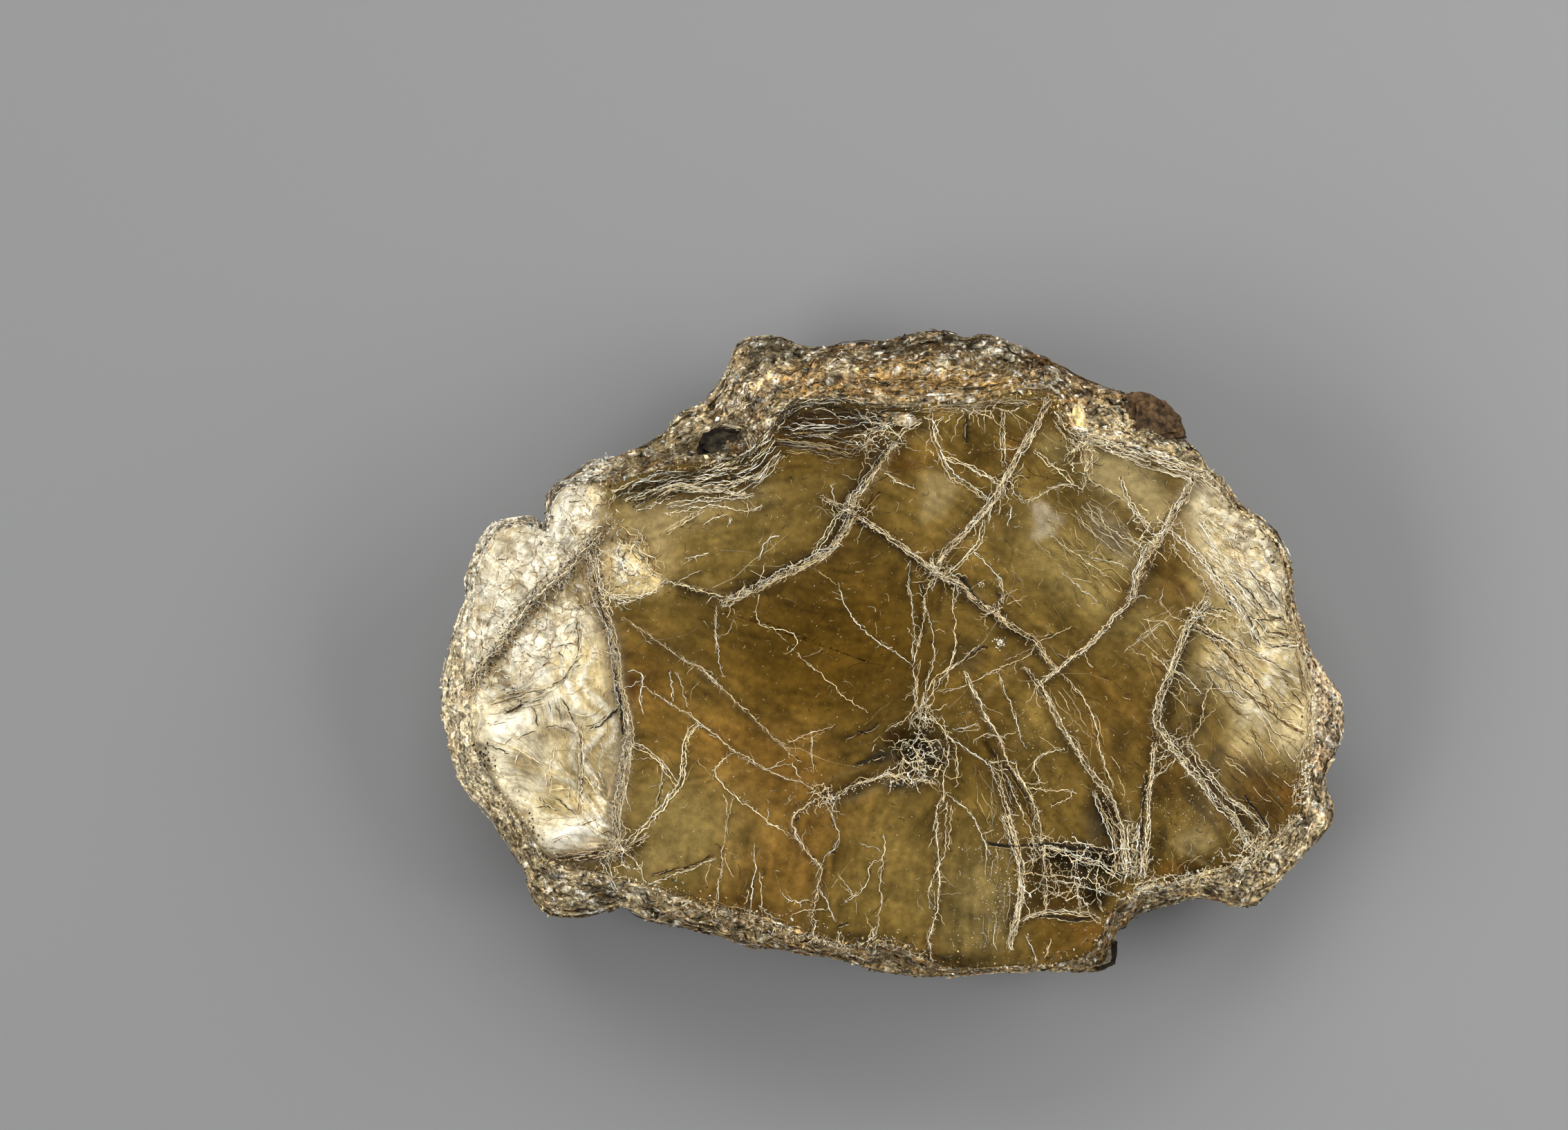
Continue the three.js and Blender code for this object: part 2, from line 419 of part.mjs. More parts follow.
// A broken socket of few facets.
function socketSolid([x, y, z, half, across, deep]) {
  const socket = new THREE.IcosahedronGeometry(1, 0);
  socket.rotateY(x + y);
  socket.scale(half * SOCKET_FULLNESS, across * SOCKET_FULLNESS, deep * SOCKET_FULLNESS);
  socket.translate(x, y, z);
  return solidFromGeometry(socket);
}

// A six-sided flake or block of sheets, chipped at its corners, tilted and then turned about the upright.
function flakeSolid([x, y, z, half, across, high, turn, tilt], number) {
  const corners = [];
  for (let k = 0; k < FLAKE_SIDES; k += 1) {
    const angle = (2 * k * Math.PI) / FLAKE_SIDES + FLAKE_SKEW * chance(k, number);
    const out = FLAKE_FULLNESS + FLAKE_CHIPPING * chance(number, k);
    corners.push(new THREE.Vector2(half * out * Math.cos(angle), across * out * Math.sin(angle)));
  }
  const flake = new THREE.ExtrudeGeometry(new THREE.Shape(corners), { depth: 2 * high, bevelEnabled: false });
  flake.translate(0, 0, -high);
  flake.rotateX(THREE.MathUtils.degToRad(y > 0 ? -tilt : tilt));
  flake.rotateZ(THREE.MathUtils.degToRad(turn));
  flake.translate(x, y, z);
  return solidFromGeometry(flake);
}

// The wedge that opens the notch between the crumpled lobes.
function notchSolid({ mouth, mouthLeft, mouthRight, bottom, bottomHalf, floor }) {
  const wedge = new THREE.Shape([
    new THREE.Vector2(bottom[0] - bottomHalf, bottom[1]),
    new THREE.Vector2(bottom[0] + bottomHalf, bottom[1]),
    new THREE.Vector2(mouth[0] + mouthRight, mouth[1]),
    new THREE.Vector2(mouth[0] - mouthLeft, mouth[1]),
  ]);
  const solid = new THREE.ExtrudeGeometry(wedge, { depth: FACE_LEVEL - floor, bevelEnabled: false });
  solid.translate(0, 0, floor);
  return solidFromGeometry(solid);
}

let book = bookSolid();
for (const [number, seam] of SEAMS.entries()) book = book.add(seamSolid(seam, number));
for (const [number, flake] of FLAKES.entries()) book = book.add(flakeSolid(flake, number));
for (const socket of SOCKETS) book = book.subtract(socketSolid(socket));
book = book.subtract(notchSolid(NOTCH));

const cut = book.getMesh();
const geometry = new THREE.BufferGeometry();
geometry.setAttribute("position", new THREE.BufferAttribute(cut.vertProperties, 3));
geometry.setIndex(new THREE.BufferAttribute(cut.triVerts, 1));
geometry.computeBoundingBox();
const middle = geometry.boundingBox.getCenter(new THREE.Vector3());
geometry.translate(-middle.x, -middle.y, -geometry.boundingBox.min.z);
geometry.scale(LENGTH / DRAWN_LENGTH, LENGTH / DRAWN_LENGTH, LENGTH / DRAWN_LENGTH);
geometry.computeVertexNormals();

const smokyMica = new THREE.MeshStandardMaterial({ color: 0x7a5f2e, roughness: 0.35, metalness: 0.15 });
const vermiculiteBook = new THREE.Mesh(geometry, smokyMica);
vermiculiteBook.name = "vermiculite_book";

const specimen = new THREE.Group();
specimen.add(vermiculiteBook);
export default specimen;
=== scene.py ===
"""A hand specimen of vermiculite: a weathered book of smoky brown mica-like sheets, lying face up.

Each section below makes one piece of the specimen, in metres, around the one solid of the frame. Shapes
are worked out in millimetres, seen from above, and turned into metres when their mesh is made.
"""
import math

import bpy
import numpy as np
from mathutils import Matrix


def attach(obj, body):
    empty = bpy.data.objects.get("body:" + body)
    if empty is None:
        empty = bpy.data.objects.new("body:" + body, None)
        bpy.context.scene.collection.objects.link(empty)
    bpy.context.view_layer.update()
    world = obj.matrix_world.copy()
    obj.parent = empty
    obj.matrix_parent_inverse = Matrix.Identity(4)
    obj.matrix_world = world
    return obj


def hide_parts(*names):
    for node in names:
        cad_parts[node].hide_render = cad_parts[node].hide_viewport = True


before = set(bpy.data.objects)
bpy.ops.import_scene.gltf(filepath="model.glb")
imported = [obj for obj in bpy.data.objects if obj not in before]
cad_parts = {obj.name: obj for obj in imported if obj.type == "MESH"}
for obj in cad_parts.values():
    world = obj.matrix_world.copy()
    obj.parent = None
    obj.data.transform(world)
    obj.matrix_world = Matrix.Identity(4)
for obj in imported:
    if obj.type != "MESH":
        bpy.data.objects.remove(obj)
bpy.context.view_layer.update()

# ------------------------------------------------------------------------------------------------------
# Cleavage face: the book's broad top sheet, smoky brown and olive mica with a soft glassy sheen, bent down
# and crumpled into pale gold foil at both ends. It is one sheet split off flat along the crystal's basal
# plane, stepped and cracked along seams, and it runs out into the crumbly rim.
# ------------------------------------------------------------------------------------------------------
MM = 0.001
FACE_RINGS = 128
OUTLINE_POINTS = 8 * FACE_RINGS
FACE_MIDDLE = np.array([0.0, -2.0])
FACE_LEVEL = 23.4
DOME_ALONG, DOME_ACROSS = 0.0008, 0.0013  # fall of the dome for each square millimetre from its middle
BOOK_SHIFT = np.array([-0.1, 0.1])  # from the points' own middle to the middle of the underside

# The rim, clockwise from the left tip: widest x, widest y, height there, face edge x, face edge y
RIM = np.array([
    [-49.8, -6.2, 9, -46.6, -5.6], [-49.5, -2.1, 9, -47.0, -2.4], [-48.6, 1.5, 10, -46.9, 1.0],
    [-47.8, 4.7, 10, -46.4, 4.6], [-46.9, 6.0, 11, -45.9, 6.2], [-47.1, 7.5, 11, -46.0, 7.6],
    [-46.3, 10.5, 11, -45.2, 10.2], [-45.6, 12.3, 11, -44.6, 11.8], [-44.2, 14.3, 12, -43.4, 13.4],
    [-41.6, 14.8, 12, -41.2, 13.9], [-39.6, 15.2, 12, -39.8, 14.1], [-38.9, 13.9, 12, -39.2, 13.2],
    [-38.5, 12.4, 12, -38.6, 11.6], [-38.1, 14.4, 12, -37.8, 13.6], [-38.2, 17.0, 12, -37.2, 16.4],
    [-37.2, 18.7, 12, -36.4, 17.9], [-35.4, 19.4, 12, -34.9, 18.4], [-33.0, 21.3, 11, -32.6, 18.8],
    [-30.2, 21.8, 11, -30.6, 18.9], [-26.4, 23.4, 10, -27.8, 19.6], [-24.7, 24.9, 10, -24.6, 20.5],
    [-23.5, 26.5, 10, -22.3, 20.9], [-21.0, 27.6, 10, -20.0, 21.2], [-18.6, 30.7, 9, -17.8, 21.6],
    [-16.8, 34.2, 9, -16.0, 22.4], [-12.8, 34.8, 9, -13.8, 24.6], [-9.1, 33.6, 9, -11.2, 27.0],
    [-5.0, 34.1, 9, -8.3, 27.8], [-0.9, 34.4, 9, -4.4, 27.5], [1.8, 35.2, 9, -1.0, 27.0],
    [4.3, 35.6, 9, 2.6, 27.1], [6.6, 35.3, 9, 5.4, 27.6], [8.3, 34.6, 9, 8.4, 27.5],
    [10.0, 35.1, 9, 11.2, 28.3], [13.4, 34.1, 9, 14.4, 28.6], [16.8, 32.5, 10, 17.2, 28.3],
    [20.6, 30.5, 10, 18.7, 27.0], [24.3, 29.1, 10, 19.3, 25.2], [26.7, 28.4, 10, 20.4, 24.1],
    [29.6, 27.2, 10, 22.2, 23.6], [31.5, 25.4, 10, 24.6, 22.8], [32.1, 23.7, 10, 27.4, 21.7],
    [33.9, 22.2, 10, 30.0, 21.1], [34.9, 20.3, 10, 33.0, 20.2], [36.2, 19.5, 10, 35.2, 18.8],
    [37.3, 17.7, 10, 36.4, 17.2], [39.0, 16.0, 10, 38.0, 15.3], [41.2, 14.4, 10, 40.2, 13.7],
    [42.9, 12.1, 10, 41.9, 11.6], [44.0, 9.9, 10, 42.9, 9.5], [44.2, 7.1, 10, 43.2, 6.9],
    [44.4, 4.9, 9, 43.2, 4.7], [45.5, 2.7, 9, 43.8, 2.3], [46.1, 0.7, 9, 44.9, 0.2],
    [47.4, -1.6, 9, 45.9, -1.8], [49.0, -3.9, 9, 46.6, -4.2], [49.8, -6.1, 9, 46.9, -6.4],
    [50.0, -7.8, 9, 46.8, -8.2], [49.4, -10.0, 9, 46.4, -10.0], [48.6, -12.1, 9, 46.0, -12.0],
    [47.6, -14.4, 9, 45.6, -14.2], [48.4, -15.8, 9, 45.7, -15.8], [48.6, -17.8, 9, 45.1, -17.4],
    [47.7, -19.6, 9, 43.7, -18.8], [46.4, -21.2, 9, 42.2, -20.2], [44.7, -23.2, 9, 40.9, -21.8],
    [42.6, -25.4, 9, 39.4, -22.8], [41.3, -26.8, 9, 38.2, -23.4], [39.5, -28.1, 8, 36.8, -23.8],
    [37.3, -27.7, 8, 35.2, -24.0], [34.6, -27.1, 8, 33.2, -24.4], [32.6, -27.3, 8, 31.2, -24.9],
    [28.4, -28.5, 8, 28.4, -25.2], [25.7, -29.7, 8, 25.6, -26.6], [24.3, -31.0, 8, 23.5, -28.9],
    [24.7, -32.4, 8, 22.9, -30.8], [24.2, -34.2, 8, 22.0, -32.4], [22.9, -35.0, 8, 20.6, -33.3],
    [18.9, -35.0, 8, 17.6, -34.0], [14.1, -35.1, 8, 13.8, -34.2], [8.6, -35.4, 8, 8.6, -34.4],
    [5.6, -35.7, 8, 5.6, -34.2], [3.2, -35.8, 8, 3.4, -33.2], [-0.2, -35.4, 8, 0.2, -31.8],
    [-2.9, -34.8, 8, -2.6, -31.7], [-5.7, -33.9, 8, -5.4, -31.8], [-10.4, -33.1, 8, -9.4, -30.6],
    [-15.2, -32.4, 8, -13.4, -29.0], [-20.0, -31.1, 8, -17.6, -28.0], [-24.1, -30.2, 8, -21.8, -27.1],
    [-27.3, -29.5, 8, -25.4, -25.8], [-29.4, -28.2, 8, -28.0, -25.2], [-31.3, -28.3, 8, -30.4, -24.6],
    [-33.3, -29.0, 8, -32.8, -24.0], [-36.0, -29.1, 8, -35.6, -23.5], [-38.5, -28.6, 8, -37.8, -22.6],
    [-39.9, -26.9, 8, -39.2, -21.0], [-40.5, -24.4, 8, -40.4, -19.2], [-41.8, -22.2, 8, -41.6, -17.6],
    [-43.8, -18.9, 8, -43.0, -15.8], [-45.5, -16.9, 8, -44.0, -14.2], [-47.3, -15.1, 8, -45.0, -12.4],
    [-48.4, -12.7, 8, -45.9, -10.8], [-49.1, -9.4, 9, -46.4, -8.4],
])

SEAM_FADE = 4  # length over which a seam rises from its ends
STEP_SOFTNESS = 0.3  # breadth over which a sheet drops beside a seam
# Seams that stand proud of the face: route, width, height, drop of the sheet on the right hand of the
# route, reach of that drop, and how many strands lie side by side along it
SEAMS = [
    ([[0.3, 23.2], [-2.1, 20], [-3, 18.7], [-5.1, 16.3], [-4.6, 14.9], [-5.9, 12.9], [-7, 11.2],
      [-8.9, 10.3], [-12.4, 8.6], [-14.9, 7.3], [-19, 5.4]], 1.5, 0.6, 1.5, 9, 9),
    ([[-8.1, 17.4], [-5.5, 15.9], [-3.6, 14.8], [-0.6, 12.9], [2.6, 10.5], [4.3, 9.2], [5.6, 8.3],
      [7.7, 7.6], [8.6, 6.1], [10.6, 4.6], [11.7, 4.4], [12.5, 3.1], [14.3, 2.2], [15.6, 1.5],
      [16.7, -0.4], [18, -1.9]], 0.7, 0.4, 0.9, 10, 6),
    ([[17.3, 28], [16.2, 25.8], [14.6, 23.1], [12.8, 20.2], [11.9, 18.4], [10.6, 16.4], [8.1, 13.5],
      [5.9, 11.2], [4.8, 9.6]], 1.1, 0.6, 0.5, 8, 8),
    ([[16, -3.4], [18, -1.9], [19.5, -0.6], [21, 0.5], [22.8, 2.4], [24.5, 4.4], [26.2, 6], [26.6, 8]],
     0.6, 0.35, 0.5, 7, 5),
    ([[25.6, 5.4], [26.2, 6], [26.8, 9], [27.9, 11], [29.4, 13], [30.7, 15.1], [32.1, 17.3], [33.2, 20]],
     1.3, 0.6, 0.6, 7, 10),
    ([[40.6, -23], [38.9, -20.3], [37.5, -18], [35.4, -16.2], [33.4, -13.7], [31.1, -10.8], [29.7, -9],
      [28.6, -7.6], [29.3, -4.9], [30.5, -1.8], [31.6, 1.2], [32.5, 3.1], [33.3, 4.6], [34.7, 6.2]],
     1.3, 0.6, 0.8, 9, 8),
    ([[32.1, -9.8], [34.2, -12.7], [36.7, -15.8], [39.3, -17.6], [41.4, -20.4]], 0.9, 0.5, 0, 1, 6),
    ([[14.3, -1.3], [15.6, -3], [17.1, -5.2], [18.4, -8], [20.6, -11.3], [22.5, -14], [24.1, -16],
      [25.2, -18.9], [25.5, -24.4]], 0.7, 0.4, 0.5, 8, 5),
    ([[28.7, -9.4], [28.4, -12.1], [28.3, -13.7], [27.8, -16.2], [27.8, -19.1], [27.6, -24.8]],
     0.7, 0.4, 0, 1, 5),
    ([[7.8, -1.7], [9.1, -4.8], [10.1, -6.9], [11.5, -9], [12.8, -12.2], [14.5, -14.6], [15.8, -18],
      [16.3, -20.8], [16.7, -23.8], [16.7, -28.1]], 0.6, 0.4, 0.5, 6, 4),
    ([[10.7, -12], [12.4, -15.9], [13.2, -19.2], [14.1, -23.4], [14.2, -26], [13.4, -29.2],
      [12.8, -32.6]], 0.8, 0.35, 0, 1, 5),
    ([[5.7, -15], [4.8, -17.5], [4.8, -22.7], [5.1, -24.9], [4.7, -28.1], [4.0, -31.3], [4.2, -33.7]],
     0.7, 0.3, 0, 1, 4),
    ([[-33.2, 11.5], [-32.9, 8], [-32.4, 5.5], [-31.2, 3], [-30.5, 0], [-30.2, -3.5], [-29.2, -6.5],
      [-29.0, -9.8], [-29.9, -14], [-30.4, -17], [-30.3, -21.3]], 1.5, 0.7, 1.2, 12, 6),
    ([[-47, -3.8], [-45.4, -1.6], [-43.5, 0.5], [-41.5, 3.2], [-40, 5.3], [-38, 7.2], [-35.8, 9.1],
      [-34.5, 11], [-31.8, 13.3]], 1.8, 0.6, 0.8, 6, 2),
    ([[-30.1, 4], [-28.5, 3.2], [-26.2, 1.7], [-23, -0.6], [-21.5, -1.3], [-17.9, -4.7], [-15.1, -7.3],
      [-12.3, -9.8], [-10.2, -11.8]], 0.4, 0.3, 0.5, 6, 2),
    ([[-27.7, -3.4], [-24.3, -5.5], [-21.7, -7.3], [-19.5, -8.8], [-17.4, -10.7], [-14.4, -12.5],
      [-12.2, -13.5], [-9.5, -14.1], [-8.5, -15.1]], 0.35, 0.25, 0, 1, 2),
    ([[5, -14.2], [2.7, -13.7], [-0.5, -13.3], [-3.7, -14], [-6.4, -15.7], [-8.5, -15.9],
      [-10.9, -17.6], [-11, -19], [-9.9, -21.3], [-7.9, -23.1], [-8.2, -25.4], [-8.8, -27.9],
      [-9.2, -31]], 0.7, 0.4, 0, 1, 4),
    ([[20.4, 23.5], [22, 23.6], [25.4, 22.4], [27.6, 21.5], [30.9, 20.9], [35, 19.4]],
     1.5, 0.6, 0, 1, 9),
    ([[-25.2, 8], [-23.9, 7.8], [-21, 6.9], [-18.2, 6.4]], 0.6, 0.4, 0.8, 5, 4),
    ([[13.9, -29.2], [16.4, -28.3], [18.8, -28.3], [21.6, -28.3], [23.1, -29.4]], 0.7, 0.4, 0, 1, 5),
    ([[-37.2, -22.4], [-34.5, -22.2], [-32, -21.9], [-28.9, -21.3], [-26.5, -19.8]], 0.8, 0.4, 0, 1, 6),
]

# Broad forms of the face: middle x, middle y, half length, half width, turn in degrees, height
FORMS = [
    (-35.2, -19.3, 5.2, 1.7, 19, 2.4), (-33.0, -23.0, 6.0, 1.3, 12, -1.6), (-43.5, 7.5, 3.0, 4.0, 20, 1.2),
    (-35.8, 15.5, 2.2, 3.0, 0, 1.3), (-29.0, 9.3, 2.2, 2.2, 0, 0.8), (-37.5, -0.5, 3.5, 3.0, -30, 0.9),
    (-38.5, -9.5, 4.0, 2.0, 45, -1.0), (-41.0, -4.8, 4.5, 1.0, 15, -0.9), (2.6, -11.0, 3.9, 3.2, 0, -1.9),
    (-5.0, -14.6, 5.5, 1.1, 20, -0.9), (0.5, 25.4, 3.2, 1.3, -8, -1.6), (-7.4, 25.0, 5.0, 2.2, 0, 0.9),
    (-22.0, 14.5, 5.0, 1.6, 18, 0.9), (8.5, 0.2, 2.5, 2.0, 0, -0.7), (23.6, -19.0, 2.2, 3.0, 0, -1.2),
    (33.5, -20.5, 5.0, 3.6, 10, 0.8), (40.5, -4.0, 1.6, 7.0, -35, 0.9), (43.8, -6.0, 1.3, 6.0, -35, -0.8),
    (37.0, -1.5, 1.3, 7.0, -40, -0.6), (40.8, 10.5, 2.0, 4.5, -8, 0.9), (37.6, 9.0, 1.2, 5.0, -14, -0.7),
    (31.0, 7.0, 3.6, 3.0, 0, -0.8), (36.0, -8.5, 3.0, 3.0, 0, -0.9),
]
# Where the sheets bend down towards the ends: direction x, direction y, start, slope
BENDS = [(-1, -0.1, 31, 0.4), (1, 0.12, 33, 0.5), (-0.6, 0.8, 31, 0.35), (0.72, -0.7, 36, 0.4),
         (-0.75, -0.66, 37, 0.45), (0, -1, 30, 0.3)]
BEND_SOFTNESS = 2.2  # length over which a bend sets in

# Crumpled foil: outlines of its areas on the face
FOIL_LEFT = [(-49, -6), (-48.5, 1), (-48, 5), (-47.5, 9), (-45, 15), (-38.6, 15.5), (-38.6, 11),
             (-38.4, 16), (-36, 20), (-32.2, 17.5), (-33.2, 11.5), (-32.4, 5.5), (-30.8, 1),
             (-29.6, -6.5), (-29.4, -11), (-30.4, -17), (-30.4, -20.8), (-33, -21.6), (-37, -22.2),
             (-39.5, -20), (-41.8, -17), (-44, -13.5), (-46, -10)]
FOIL_RIGHT = [(32.6, 16.5), (35.4, 20), (38.5, 16), (43, 12), (44.5, 7), (45, 2), (48, -3.6), (47, -9),
              (44.5, -10.5), (41.5, -7.5), (38.6, -9.5), (38.4, -4.5), (35.2, -1), (38.4, 4.2),
              (35.2, 8.6), (34.2, 12)]
# Where the foil is broken up into small flakes
FLAKY_FOIL = [(-49, -3), (-49, 10), (-46, 16), (-38, 15.5), (-36, 21), (-31, 19), (-29, 12.6), (-25, 8),
              (-30, 6), (-34, 1.6), (-40, -2.6), (-46, -4.5)]
FLAKY_LOBE = [(34.4, 20), (38.5, 17), (43.6, 12.4), (45, 6), (45.4, 2.8), (42, 3.6), (40, 8), (36.8, 11.2),
              (34.8, 15)]
# Where the folds of the foil fan out from: x, y, how far they reach, their height
FANS = [(-28.5, -21.5, 24, 0.5), (-52, 22, 18, 0.25), (26, 22, 26, 0.4), (28, 4, 22, 0.3)]
PEARLY_CELL = [(-32.3, 11.3), (-31.8, 7.1), (-28.5, 6.5), (-26, 7), (-25.2, 8), (-26.8, 9.8),
               (-27.8, 11.6), (-29.3, 12.4)]

# The finish's own colours, as display red, green and blue
COLOURS = {
    "deep smoke": (74, 51, 9), "smoke": (92, 66, 18), "bark": (104, 74, 26), "amber": (126, 90, 34),
    "honey": (140, 98, 38), "brown olive": (118, 93, 42), "olive": (128, 105, 53),
    "grey olive": (124, 107, 64), "pale olive": (156, 135, 80), "straw": (184, 163, 112),
    "gold": (206, 184, 130), "cream": (232, 219, 184), "pearl": (240, 234, 214),
    "smoke black": (52, 41, 22), "pitch": (24, 17, 8), "chestnut": (84, 54, 22),
    "bone": (206, 192, 162), "tan": (168, 146, 106), "ochre": (158, 124, 66), "rust": (140, 96, 42),
    "slate": (96, 92, 82), "ash": (150, 142, 124), "soot": (40, 34, 24), "sand": (190, 172, 134),
    "yellow": (238, 212, 146), "peat": (74, 56, 36), "umber": (62, 40, 16), "blush": (228, 202, 170),
    "wheat": (236, 212, 166),
}
